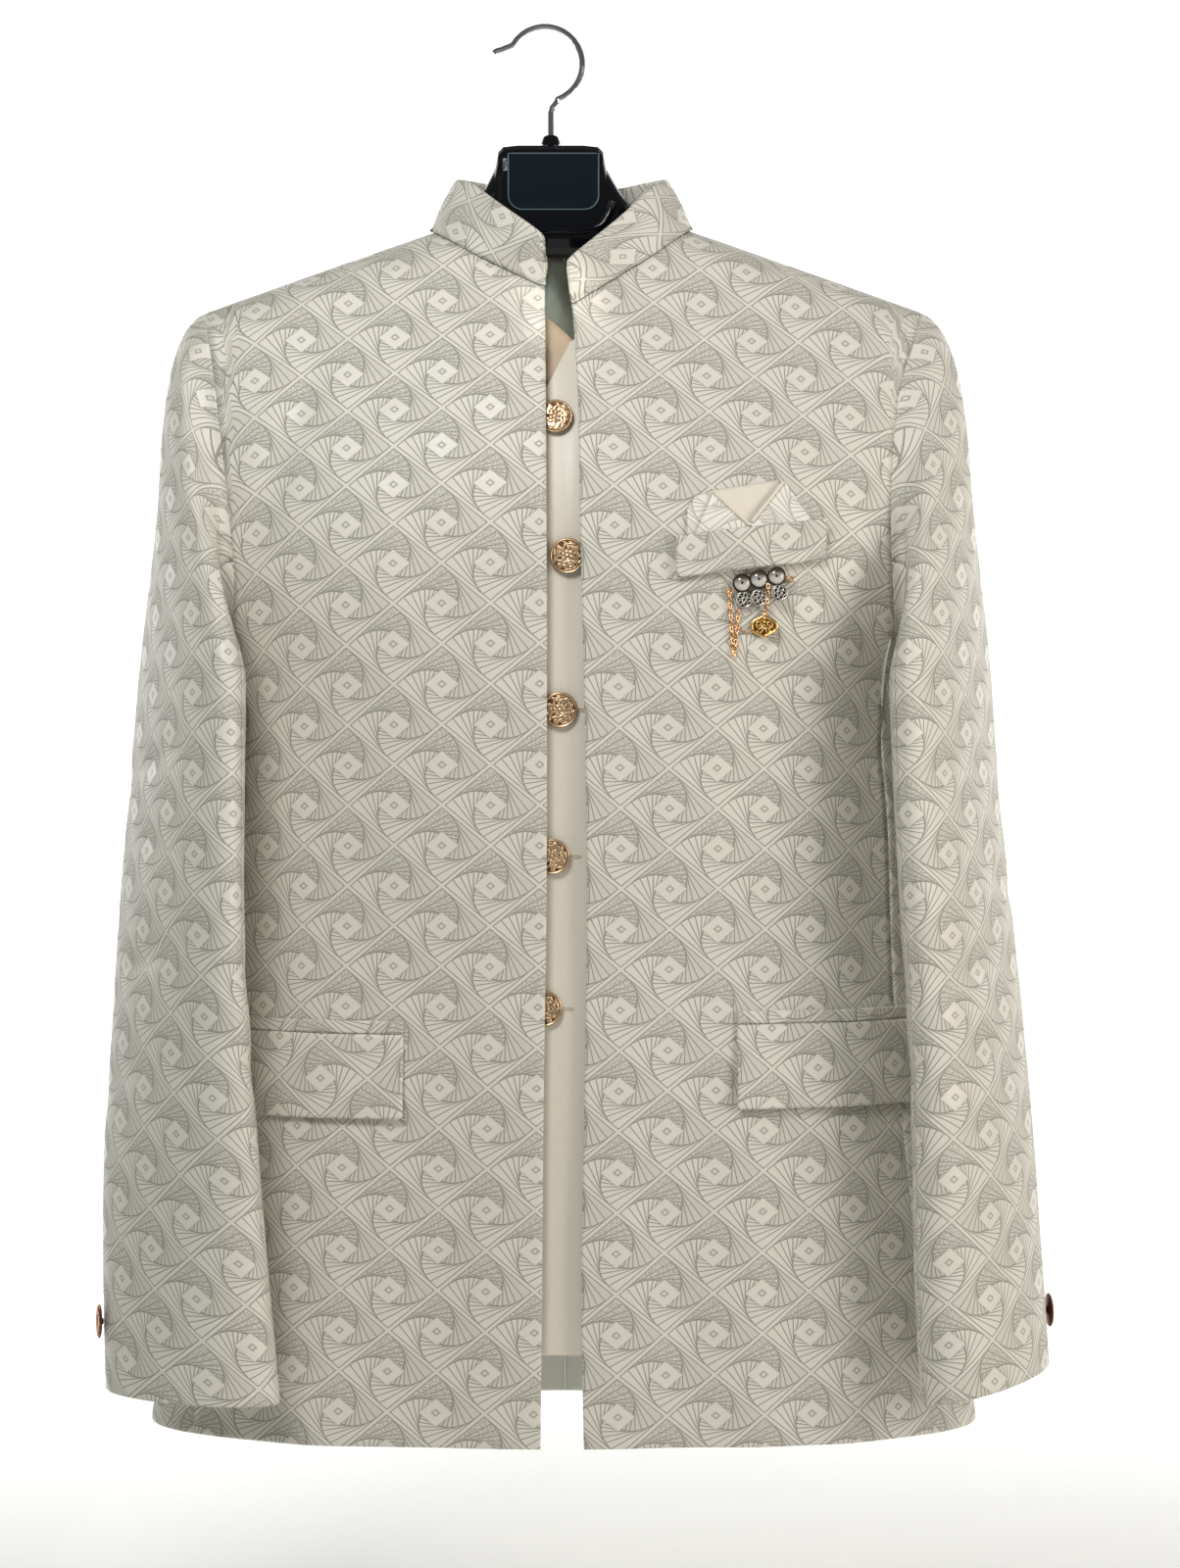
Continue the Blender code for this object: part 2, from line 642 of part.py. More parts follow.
def sleeve_axes(side, table, z):
    """Middle, outward half axis and forward half axis of the sleeve at a height."""
    inner = look_up(table, 1, z)
    outer = look_up(table, 2, z)
    long_half = look_up(table, 4, z)
    short_half = look_up(table, 5, z)
    half_seen = 0.5 * (outer - inner)
    turn = (half_seen**2 - short_half**2) / (long_half**2 - short_half**2)
    sine = np.sqrt(np.clip(turn, 0.0, 1.0))
    cosine = np.sqrt(1 - sine**2)
    middle = np.stack([side * 0.5 * (inner + outer), look_up(table, 3, z), z], axis=-1)
    outward = np.stack([side * cosine * short_half, -sine * short_half, 0 * z], axis=-1)
    forward = np.stack([-side * sine * long_half, -cosine * long_half, 0 * z], axis=-1)
    return middle, outward, forward


def sleeve_ring(side, table, z, angle):
    """Point of the hanging part of a sleeve at a height and an angle round it, in degrees."""
    middle, outward, forward = sleeve_axes(side, table, z)
    turn = np.radians(angle)[..., None]
    return middle + outward * np.cos(turn) + forward * np.sin(turn)


def sleeve_folds(z, angle):
    """Inward depth of the soft creases of the elbow and forearm."""
    turn = np.radians(angle)
    elbow = 2.6 * np.exp(-(((z + 575) / 16.0) ** 2)) * np.clip(np.cos(turn - 1.2), 0, 1)
    elbow = elbow + 2.2 * np.exp(-(((z + 630) / 14.0) ** 2)) * np.clip(np.cos(turn - 1.6), 0, 1)
    upper = 2.2 * np.exp(-(((z + 470) / 18.0) ** 2)) * np.clip(np.cos(turn - 4.4), 0, 1)
    return elbow + upper


def sleeve_columns(side, table, rise, angle):
    """Grid of part of a sleeve at the given angles round it."""
    angle = np.asarray(angle, dtype=float)
    wrapped = np.mod(angle, 360.0)
    start = armhole_point(side, wrapped)
    turn = np.radians(angle)
    step = 0.1
    near_x = np.abs(start[:, 0]) - step
    front_slope = (front_y(near_x + step, start[:, 2]) - front_y(near_x - step, start[:, 2])) / (2 * step)
    back_slope = (back_y(near_x + step, start[:, 2]) - back_y(near_x - step, start[:, 2])) / (2 * step)
    slope = np.clip(np.where(wrapped <= 180.0, front_slope, back_slope), -1.0, 1.0)
    slope = slope * np.clip(1.5 * np.abs(np.sin(turn)), 0.0, 1.0)
    fall = -RIDGE_SLOPE * np.clip(np.cos(turn), 0, 1) + 0.10 * np.clip(-np.cos(turn), 0, 1)
    lean = np.stack([side * np.ones_like(turn), slope, fall], axis=-1)
    lean = lean / np.linalg.norm(lean, axis=1)[:, None]
    start = start + lean * ARMHOLE_GAP
    top_z = table[0][0]
    foot_z = table[-1][0]
    ring_z = np.full_like(angle, top_z)
    end = sleeve_ring(side, table, ring_z, angle)
    below = sleeve_ring(side, table, ring_z - 20.0, angle)
    down = (below - end) / np.linalg.norm(below - end, axis=1)[:, None]
    distance = np.linalg.norm(end - start, axis=1)[:, None]
    share_out = 0.16 + 0.34 * np.clip(-np.cos(turn), 0, 1)[:, None]
    first = start + lean * distance * share_out
    second = end - down * distance * 0.45
    rows = []
    for t in np.linspace(0, 1, CAP_ROWS) ** 1.25:
        point = (1 - t) ** 3 * start + 3 * (1 - t) ** 2 * t * first
        rows.append(point + 3 * (1 - t) * t**2 * second + t**3 * end)
    for z in np.linspace(top_z, foot_z, SLEEVE_ROWS + 1)[1:]:
        level = np.full_like(angle, z)
        outer_share = 0.5 + 0.5 * np.cos(turn + 0.9)
        level = level + rise * outer_share * ((z - top_z) / (foot_z - top_z)) ** 2
        point = sleeve_ring(side, table, level, angle)
        middle, outward, forward = sleeve_axes(side, table, level)
        inward = middle - point
        inward = inward / np.linalg.norm(inward, axis=1)[:, None]
        rows.append(point + inward * sleeve_folds(level, angle)[:, None])
    return np.array(rows)


def build_sleeve(side, word):
    """Top and under sleeve of one arm, parted by two seams."""
    table = LEFT_SLEEVE if side > 0 else RIGHT_SLEEVE
    rise = CUFF_RISE_LEFT if side > 0 else CUFF_RISE_RIGHT
    gap_angle = 0.5 * math.degrees(SEAM_GAP / SLEEVE_SEAM_RADIUS)
    front_half = armhole_angles(0.0, SPLIT_ANGLE)
    top = np.concatenate([-front_half[:0:-1], front_half])
    under = np.linspace(SPLIT_ANGLE, 360.0 - SPLIT_ANGLE, UNDER_STEPS + 1)
    for angles in (top, under):
        angles[0] += gap_angle
        angles[-1] -= gap_angle
    for name, angles in (("top_sleeve_", top), ("under_sleeve_", under)):
        grid = sleeve_columns(side, table, rise, angles)
        ahead = sleeve_columns(side, table, rise, angles + 0.8)
        behind = sleeve_columns(side, table, rise, angles - 0.8)
        normal = np.cross(ahead - behind, np.gradient(grid, axis=0))
        normal = normal / np.linalg.norm(normal, axis=2)[:, :, None]
        probe = sleeve_axes(side, table, np.array([grid[-1, 0, 2]]))[0][0]
        if np.mean(np.sum(normal[-1] * (grid[-1] - probe), axis=1)) < 0:
            normal = -normal
        cloth_piece(name + word, grid, JACKET_WALL, "jacquard", normal)


def collar_grid():
    """Grid of the stand collar's outer face, from its front right end round the back to the left."""
    base = []
    top = []
    for base_x, base_y, base_z, top_x, top_y, top_z in COLLAR:
        if base_y is None:
            on_front = base_z < COLLAR_FRONT_BELOW_Z
            base_y = float(front_y(base_x, base_z) if on_front else back_y(base_x, base_z))
        base.append((base_x, base_y, base_z + COLLAR_GAP))
        top.append((top_x, top_y, top_z))
    keys = np.linspace(0, 1, len(base))
    fine = np.linspace(0, 1, COLLAR_STEPS)
    base = np.array(base)
    top = np.array(top)
    low = np.stack([look_up(np.stack([keys, base[:, k]], 1), 1, fine) for k in range(3)], axis=1)
    high = np.stack([look_up(np.stack([keys, top[:, k]], 1), 1, fine) for k in range(3)], axis=1)
    share = np.linspace(0, 1, 4)[:, None, None]
    grid = low[None] * (1 - share) + high[None] * share
    outward = grid * np.array([1.0, 1.0, 0.0])
    outward = outward / np.linalg.norm(outward, axis=2)[:, :, None]
    return grid + outward * (COLLAR_BULGE * np.sin(math.pi * share))


def panel_cover(x_line, z_top, z_bottom, proud, rows, rise=0.0):
    """Grid of a piece that lies on the jacket front, moved out by the given amount."""
    x = np.asarray(x_line)[None, :]
    share = np.linspace(0, 1, rows)[:, None]
    z = z_bottom + (z_top - z_bottom) * share + rise * (x - x_line[0])
    x = np.broadcast_to(x, z.shape)
    normal = face_normals(x, z, front_y, -1.0)
    return np.stack([x, front_y(x, z), z], axis=2) + normal * proud


def flap_columns(side, inner_x):
    """Widths of the columns of a flap, at even steps along the cloth."""
    level = true_z(FLAP_MIDDLE_SEEN_Z, POCKET_DEPTH_Y)
    far = FLAP_END_RATIO * float(look_up(BODY_SECTIONS, 1, level))
    fine = np.linspace(abs(inner_x), far, 200)
    z = np.full_like(fine, level)
    y = front_y(side * fine, z)
    line = np.stack([side * fine, y], axis=1)
    travelled = np.concatenate([[0], np.cumsum(np.linalg.norm(np.diff(line, axis=0), axis=1))])
    length = min(FLAP_LENGTH, travelled[-1] - 1.0)
    return side * np.interp(np.linspace(0, length, FLAP_COLUMNS), travelled, fine)


POCKET_DEPTH_Y = -88.0
POCKET_COLUMNS = ("seen_inner_x", "seen_jet_foot_z", "seen_flap_foot_z")
POCKETS = {
    -1: (-98.4, -616.0, -668.0),
    1: (106.2, -610.0, -662.0),
}


def build_pocket(side, word):
    """Hip pocket: a narrow jet on the front and a flap that hangs from under it."""
    seen_x, jet_foot, flap_foot = POCKETS[side]
    columns = flap_columns(side, true_x(seen_x, POCKET_DEPTH_Y))
    foot = true_z(jet_foot, POCKET_DEPTH_Y)
    low = true_z(flap_foot, POCKET_DEPTH_Y)
    jet = panel_cover(columns, foot + JET_HEIGHT, foot, JET_WALL + COVER_GAP, 2)
    top = foot - SEAM_GAP - 0.2
    flap = panel_cover(columns, top, low, 0.0, FLAP_ROWS)
    outward = panel_cover(columns, top, low, 1.0, FLAP_ROWS) - flap
    swing = smooth_step(1 - np.linspace(0, 1, FLAP_ROWS))[:, None, None]
    flap = flap + outward * (FLAP_WALL + COVER_GAP + FLAP_SWING * swing)
    viewer = np.array([0.0, -1.0, 0.0])
    cloth_piece("jet_" + word, jet, JET_WALL, "jacquard", grid_normals(jet, viewer))
    cloth_piece("flap_" + word, flap, FLAP_WALL, "jacquard", grid_normals(flap, viewer))


def welt_grid():
    """Grid of the slanting welt of the chest pocket."""
    columns = np.linspace(WELT_CORNER_X, WELT_CORNER_X + WELT_LENGTH, 8)
    z_top = WELT_CORNER_Z + WELT_HEIGHT
    return panel_cover(columns, z_top, WELT_CORNER_Z, WELT_WALL + WELT_GAP, 4, WELT_RISE)


SQUARE_COLUMNS = ("along", "height")
SQUARE_BACK = ((7.0, 16.0), (11.0, 23.0), (20.0, 25.0), (61.0, 27.0), (67.0, 8.0), (76.0, 2.0))
SQUARE_FRONT = ((11.5, 1.0), (22.5, 24.5), (44.5, 2.5), (64.5, 26.5), (81.0, 0.5))


def square_grid(peaks, proud, foot):
    """Grid of one layer of the folded pocket square that stands out of the welt."""
    rows = np.array(peaks)
    along = np.linspace(rows[0, 0], rows[-1, 0], 15)
    height = np.interp(along, rows[:, 0], rows[:, 1])
    x = WELT_CORNER_X + along
    base = WELT_CORNER_Z + WELT_HEIGHT + WELT_RISE * along
    share = np.linspace(0, 1, 6)[:, None]
    z = base[None] - foot + (height[None] + foot) * share
    x = np.broadcast_to(x[None], z.shape)
    y = front_y(x, z) - proud
    return np.stack([x, y, z], axis=2)


VEST_ARM_COLUMNS = ("x", "z")
VEST_ARM = (
    (198.0, -430.0),
    (186.0, -410.0),
    (164.0, -370.0),
    (148.0, -320.0),
    (141.0, -260.0),
    (141.0, -205.0),
    (144.0, -155.0),
)
VEST_NECK_COLUMNS = ("x", "z")
VEST_NECKS = {
    1: ((-24.0, -246.0), (-8.4, -222.5), (4.7, -197.0), (34.0, -183.0), (62.0, -160.0)),
    -1: ((22.0, -204.0), (1.0, -192.5), (-10.0, -181.5), (-34.0, -172.0), (-62.0, -160.0)),
}
VEST_BACK_NECK = ((0.0, -137.0), (40.0, -135.5), (66.0, -131.0))
VEST_NECK_END_X = 80.0
VEST_SIDE_SHARE = 0.985
VEST_SIDE_GAP = 1.5


def vest_side_x(z):
    """Distance of the vest's side seam from the middle at a height."""
    return (look_up(BODY_SECTIONS, 1, z) - VEST_INSET - VEST_SIDE_GAP) * VEST_SIDE_SHARE


def vest_armhole():
    """Points (x, z) of the vest's armhole from its foot up to the shoulder line, on the left."""
    arm = np.array(VEST_ARM)
    arm[0, 0] = vest_side_x(arm[0, 1])
    arm[-1, 1] = ridge_z(arm[-1, 0]) - VEST_INSET
    return arm


def vest_front(side, middle_x, depth):
    """Grid of one vest front, from its hem to its neck and shoulder."""
    arm = vest_armhole() * np.array([side, 1.0])
    low_z = np.linspace(VEST_HEM_Z, arm[0, 1], VEST_LOW_ROWS)
    low_far = upright(side * vest_side_x(low_z), low_z)
    neck_end = (side * VEST_NECK_END_X, float(ridge_z(VEST_NECK_END_X)) - VEST_INSET)
    neck = np.array(VEST_NECKS[side] + (neck_end,))
    near_low = upright(middle_x, low_z)
    near_high = upright(middle_x, np.linspace(arm[0, 1], neck[0, 1], VEST_ARM_ROWS))
    across = packed(VEST_FRONT_COLUMNS, VEST_COLUMN_EASE)
    low = near_low[:, None] * (1 - across[None, :, None]) + low_far[:, None] * across[None, :, None]
    top = resample(np.concatenate([neck, [arm[-1]]]), VEST_FRONT_COLUMNS)
    top = on_ridge(top, neck[-1], VEST_INSET)
    arm = resample(arm, VEST_ARM_ROWS, VEST_ROW_EASE)
    near_high = resample(near_high, VEST_ARM_ROWS, VEST_ROW_EASE)
    high = patch(low[-1], top, near_high, arm, across, packed(VEST_ARM_ROWS, VEST_ROW_EASE))
    return laid_out(np.concatenate([low, high[1:]]), depth, -0.5 * SEAM_GAP)


def vest_back():
    """Grid of the vest's back, in one piece from side to side."""
    arm = vest_armhole()
    low_z = np.linspace(VEST_HEM_Z, arm[0, 1], VEST_LOW_ROWS - 1)
    u = np.linspace(-1, 1, VEST_BACK_COLUMNS)
    ease = np.sign(u) * (1 - (1 - np.abs(u)) ** VEST_COLUMN_EASE)
    low_x = vest_side_x(low_z)[:, None] * ease[None]
    low = np.stack([low_x, np.broadcast_to(low_z[:, None], low_x.shape)], axis=2)
    neck_end = (VEST_NECK_END_X, float(ridge_z(VEST_NECK_END_X)) - VEST_INSET)
    half = resample(np.array(VEST_BACK_NECK + (neck_end, tuple(arm[-1]))), VEST_BACK_COLUMNS // 2 + 1)
    left = on_ridge(half, np.array(neck_end), VEST_INSET)
    right = left[::-1] * np.array([-1.0, 1.0])
    top = np.concatenate([right[:-1], left])
    arm = resample(arm, VEST_ARM_ROWS, VEST_ROW_EASE)
    mirror = arm * np.array([-1.0, 1.0])
    high = patch(low[-1], top, mirror, arm, 0.5 + 0.5 * ease, packed(VEST_ARM_ROWS, VEST_ROW_EASE))
    return laid_out(np.concatenate([low, high[1:]]), vest_back_y, 0.5 * SEAM_GAP)


def turned(name, profile, steps, finish, place):
    """A turned piece from a profile of (radius, height) pairs, screwed round Z, then placed."""
    mesh = bpy.data.meshes.new(name)
    closed = profile[0] == profile[-1]
    rows = profile[:-1] if closed else profile
    points = [(radius * MM, 0.0, height * MM) for radius, height in rows]
    edges = [(i, i + 1) for i in range(len(points) - 1)]
    if closed:
        edges.append((len(points) - 1, 0))
    mesh.from_pydata(points, edges, [])
    obj = new_object(name, mesh, finish)
    screw = obj.modifiers.new("turn", "SCREW")
    screw.steps = steps
    screw.render_steps = steps
    screw.use_merge_vertices = True
    screw.merge_threshold = 0.00001
    obj.matrix_world = place
    return obj


def facing(point, normal, lift):
    """Matrix that stands Z along a normal at a point in millimetres, lifted along it."""
    normal = Vector(normal).normalized()
    turn = normal.to_track_quat("Z", "Y").to_matrix().to_4x4()
    spot = (Vector(point) + normal * lift) * MM
    return Matrix.Translation(spot) @ turn


BUTTON_PROFILE = (
    (0.0, 4.5),
    (8.2, 3.6),
    (9.5, 3.9),
    (10.6, 3.0),
    (10.2, 2.2),
    (3.0, 1.3),
    (2.0, 0.0),
    (0.0, 0.0),
)
BUTTON_STEPS = 14


def cloth_under(name, x, z):
    """Point and outward normal of a built piece straight behind a place in the front view."""
    obj = suit_collection().objects[name]
    tree = BVHTree.FromPolygons([v.co for v in obj.data.vertices], [f.vertices for f in obj.data.polygons])
    spot, normal, index, distance = tree.ray_cast(Vector((x * MM, -1.0, z * MM)), Vector((0.0, 1.0, 0.0)))
    return spot / MM, normal


def build_buttons():
    """Five shank buttons down the vest and one on each cuff."""
    for i, (seen_x, seen_z) in enumerate(VEST_BUTTONS):
        x = float(true_x(seen_x, VEST_BUTTON_Y)) + GARMENT_X
        spot, normal = cloth_under("vest_front_left", x, float(true_z(seen_z, VEST_BUTTON_Y)))
        place = facing(spot, normal, SEAM_GAP)
        turned(f"vest_button_{i + 1}", BUTTON_PROFILE, BUTTON_STEPS, "antique_gold", place)
    scale = 0.95
    profile = [(radius * scale, height * scale) for radius, height in BUTTON_PROFILE]
    for side, word in ((1, "left"), (-1, "right")):
        table = LEFT_SLEEVE if side > 0 else RIGHT_SLEEVE
        z = -778.0
        angle = np.array([-62.0])
        point = sleeve_ring(side, table, np.array([z]), angle)[0]
        near = sleeve_ring(side, table, np.array([z]), angle + 1.0)[0]
        above = sleeve_ring(side, table, np.array([z + 5.0]), angle)[0]
        normal = np.cross(near - point, above - point)
        middle = sleeve_axes(side, table, np.array([z]))[0][0]
        if np.dot(normal, point - middle) < 0:
            normal = -normal
        spot = point + np.array([GARMENT_X, 0.0, 0.0])
        place = facing(spot, normal, SEAM_GAP + 0.4)
        turned("cuff_button_" + word, profile, BUTTON_STEPS, "copper_gold", place)


def wire(name, points, radius, finish, smooth=1, caps=True):
    """A round wire along points in millimetres, made a closed mesh."""
    curve = bpy.data.curves.new(name + "_path", "CURVE")
    curve.dimensions = "3D"
    curve.bevel_depth = radius * MM
    curve.bevel_resolution = smooth
    curve.use_fill_caps = caps
    spline = curve.splines.new("POLY")
    spline.points.add(len(points) - 1)
    for i, point in enumerate(points):
        spline.points[i].co = (point[0] * MM, point[1] * MM, point[2] * MM, 1.0)
    holder = bpy.data.objects.new(name + "_holder", curve)
    suit_collection().objects.link(holder)
    bpy.context.view_layer.update()
    depsgraph = bpy.context.evaluated_depsgraph_get()
    mesh = bpy.data.meshes.new_from_object(holder.evaluated_get(depsgraph))
    bpy.data.objects.remove(holder)
    work = bmesh.new()
    work.from_mesh(mesh)
    bmesh.ops.remove_doubles(work, verts=work.verts, dist=0.000002)
    bmesh.ops.recalc_face_normals(work, faces=work.faces)
    work.to_mesh(mesh)
    work.free()
    mesh.name = name
    return new_object(name, mesh, finish)


def hook_path():
    """Points of the hook's wire from its tip over the crown, round and down the stem."""
    points = [(-35.0, 0.0, -14.5), (-33.5, 0.0, -13.2), (-30.5, 0.0, -12.4), (-27.0, 0.0, -11.0)]
    for degrees in range(150, -75, -11):
        turn = math.radians(degrees)
        x = HOOK_CENTRE[0] + HOOK_RADIUS * math.cos(turn)
        z = HOOK_CENTRE[1] + HOOK_RADIUS * math.sin(turn)
        points.append((x, 0.0, z))
    points.append((3.4, 0.0, -44.8))
    points.append((1.0, 0.0, -47.6))
    points.append((0.0, 0.0, -51.0))
    points.append((0.0, 0.0, -64.0))
    points.append((0.0, 0.0, -80.0))
    return points


def superellipse_ring(width, height, count, power):
    """Unit-placed closed ring of points for one section of the hanger."""
    angle = np.linspace(0, 2 * math.pi, count, endpoint=False)
    c = np.cos(angle)
    s = np.sin(angle)
    u = 0.5 * width * np.sign(c) * np.abs(c) ** (2 / power)
    v = 0.5 * height * np.sign(s) * np.abs(s) ** (2 / power)
    return u, v


def arm_station(x):
    """One section of a hanger arm, just under the cloth that rests on it."""
    reach = abs(x)
    on_garment = x - GARMENT_X
    vest_edge = float(smooth_step((reach - 153.0) / 10.0))
    under_vest = VEST_INSET + VEST_WALL + VEST_FACET_ROOM
    under_jacket = JACKET_WALL + FACET_ROOM
    cover = under_vest + (under_jacket - under_vest) * vest_edge
    grow = (reach - HANGER_ARM_X[0]) / (HANGER_TIP_X - HANGER_ARM_X[0])
    height = 30.0 + 6.0 * math.sin(math.pi * grow)
    depth = 25.0 + 5.0 * grow
    top = float(ridge_z(on_garment)) - cover
    if reach == HANGER_ARM_X[0]:
        top = top - ARM_START_DIP
    if reach == HANGER_TIP_X:
        return (x, top - 5.0, 20.0, -10.0, 20.0, 2.1)
    return (x, top, height, -0.5 * depth, depth, 2.1)


def hanger_stations():
    """Sections of the hanger from tip to tip, as x, top, height, front, depth and squareness."""
    right_arm = [arm_station(-x) for x in HANGER_ARM_X[::-1]]
    left_arm = [arm_station(x) for x in HANGER_ARM_X]
    neck_left = [row[:6] for row in HANGER_NECK]
    neck_right = [(-row[0], row[1] - row[6]) + row[2:6] for row in HANGER_NECK[:0:-1]]
    return right_arm + neck_right + neck_left + left_arm


def build_hanger():
    """Hanger body with its recess and hook bore, its plate, socket and hook."""
    count = 20
    rings = []
    for x, top, height, front, depth, power in hanger_stations():
        y, z = superellipse_ring(depth, height, count, power)
        middle_y = front + 0.5 * depth
        ring = np.stack([np.full(count, x), y + middle_y, z + top - 0.5 * height], axis=1)
        rings.append(ring)
    rings = np.array(rings)
    faces = grid_faces(len(rings), count, wrap=True)
    mesh = mesh_from("hanger_body", rings, faces.tolist())
    work = bmesh.new()
    work.from_mesh(mesh)
    loose = [e for e in work.edges if e.is_boundary]
    bmesh.ops.holes_fill(work, edges=loose, sides=0)
    bmesh.ops.recalc_face_normals(work, faces=work.faces)
    work.to_mesh(mesh)
    work.free()
    body = new_object("hanger_body", mesh, "black_plastic")
    recess = plate_outline("recess_cutter", 28.0, 35.0, 9.0, 5.0)
    recess.location = (PLATE_X * MM, (-19.0 - 2.5 + 1.6) * MM, PLATE_Z * MM)
    bore = cylinder_cutter("bore_cutter", HOOK_WIRE_RADIUS + 0.35, 30.0)
    bore.location = (0.0, 0.0, -67.0 * MM)
    for cutter in (recess, bore):
        cut = body.modifiers.new("cut", "BOOLEAN")
        cut.operation = "DIFFERENCE"
        cut.solver = "EXACT"
        cut.object = cutter
    plate = plate_outline("hanger_plate", 27.7, 34.4, 8.7, 1.2)
    plate.location = (PLATE_X * MM, (-19.0 + 1.6 - 0.3 - 0.6) * MM, PLATE_Z * MM)
    move_to_suit(plate, "plate_plastic")
    socket_profile = ((2.3, 6.4), (3.6, 6.4), (4.6, 5.6), (6.2, 1.0), (6.2, 0.0), (2.3, 0.0), (2.3, 6.4))
    turned("hanger_socket", socket_profile, 20, "black_plastic", Matrix.Translation((0, 0, -71.6 * MM)))
    wire("hanger_hook", hook_path(), HOOK_WIRE_RADIUS, "chrome", smooth=2)


def plate_outline(name, half_width, height, corner, thickness):
    """A flat plate in the XZ plane with its lower corners rounded, centred on its own origin."""
    curve = bpy.data.curves.new(name + "_outline", "CURVE")
    curve.dimensions = "2D"
    curve.fill_mode = "BOTH"
    curve.extrude = 0.5 * thickness * MM
    points = [(-half_width, 0.5 * height)]
    for centre_x, start in ((-half_width + corner, 180), (half_width - corner, 270)):
        for k in range(6):
            turn = math.radians(start + 18 * k)
            points.append((centre_x + corner * math.cos(turn), -0.5 * height + corner + corner * math.sin(turn)))
    points.append((half_width, 0.5 * height))
    spline = curve.splines.new("POLY")
    spline.points.add(len(points) - 1)
    for i, (x, z) in enumerate(points):
        spline.points[i].co = (x * MM, z * MM, 0.0, 1.0)
    spline.use_cyclic_u = True
    holder = bpy.data.objects.new(name + "_holder", curve)
    cutter_collection().objects.link(holder)
    bpy.context.view_layer.update()
    mesh = bpy.data.meshes.new_from_object(holder.evaluated_get(bpy.context.evaluated_depsgraph_get()))
    bpy.data.objects.remove(holder)
    work = bmesh.new()
    work.from_mesh(mesh)
    bmesh.ops.remove_doubles(work, verts=work.verts, dist=0.000002)
    bmesh.ops.rotate(work, verts=work.verts, cent=(0, 0, 0), matrix=Matrix.Rotation(math.pi / 2, 3, "X"))
    bmesh.ops.recalc_face_normals(work, faces=work.faces)
    work.to_mesh(mesh)
    work.free()
    mesh.name = name
    obj = bpy.data.objects.new(name, mesh)
    cutter_collection().objects.link(obj)
    obj.hide_render = True
    obj.display_type = "WIRE"
    return obj


def move_to_suit(obj, finish):
    """Makes a piece from the cutter collection a built piece."""
    cutter_collection().objects.unlink(obj)
    suit_collection().objects.link(obj)
    obj.hide_render = False
    obj.display_type = "TEXTURED"
    colour, roughness, metallic = FINISHES[finish]
    obj.data.materials.clear()
    obj.data.materials.append(make_material(obj.name + "_finish", colour, roughness, metallic))


def cylinder_cutter(name, radius, length):
    """A plain cylinder along Z that only cuts."""
    mesh = bpy.data.meshes.new(name)
    work = bmesh.new()
    bmesh.ops.create_cone(
        work, cap_ends=True, segments=16, radius1=radius * MM, radius2=radius * MM, depth=length * MM
    )
    work.to_mesh(mesh)
    work.free()
    obj = bpy.data.objects.new(name, mesh)
    cutter_collection().objects.link(obj)
    obj.hide_render = True
    obj.display_type = "WIRE"
    return obj


STONE_RADIUS = 4.9
STONE_COLUMNS = ("seen_x", "seen_z")
STONES = ((108.6, -339.6), (118.8, -337.2), (129.6, -335.4))
DISC_RADIUS = 4.9
DISCS = ((109.8, -349.8), (118.8, -348.6), (131.4, -345.6))
RING_SEEN = (137.3, -337.6)
LUG_SEEN = (101.6, -341.2)
CHAIN_SEEN = ((100.8, -346.0), (102.0, -366.0), (103.8, -384.0), (105.4, -368.0), (106.2, -357.5))
DROP_SEEN = ((124.6, -350.6), (123.0, -359.0))
PENDANT_SEEN = (122.4, -366.0)


def on_chest(seen, proud):
    """Point proud of the left front, from where it is seen in the picture plane."""
    z = float(true_z(seen[1], -75.0))
    x = float(true_x(seen[0], -75.0))
    y = float(front_y(x, z)) - proud
    return (x + GARMENT_X, y, z)


def disc_cylinder(work, spot, radius, depth):
    """Adds a short cylinder that faces the viewer to a bmesh."""
    made = bmesh.ops.create_cone(
        work, cap_ends=True, segments=16, radius1=radius * MM, radius2=radius * MM, depth=depth * MM
    )
    bmesh.ops.rotate(
        work, verts=made["verts"], cent=(0, 0, 0), matrix=Matrix.Rotation(math.pi / 2, 3, "X")
    )
    bmesh.ops.translate(work, verts=made["verts"], vec=Vector(spot) * MM)


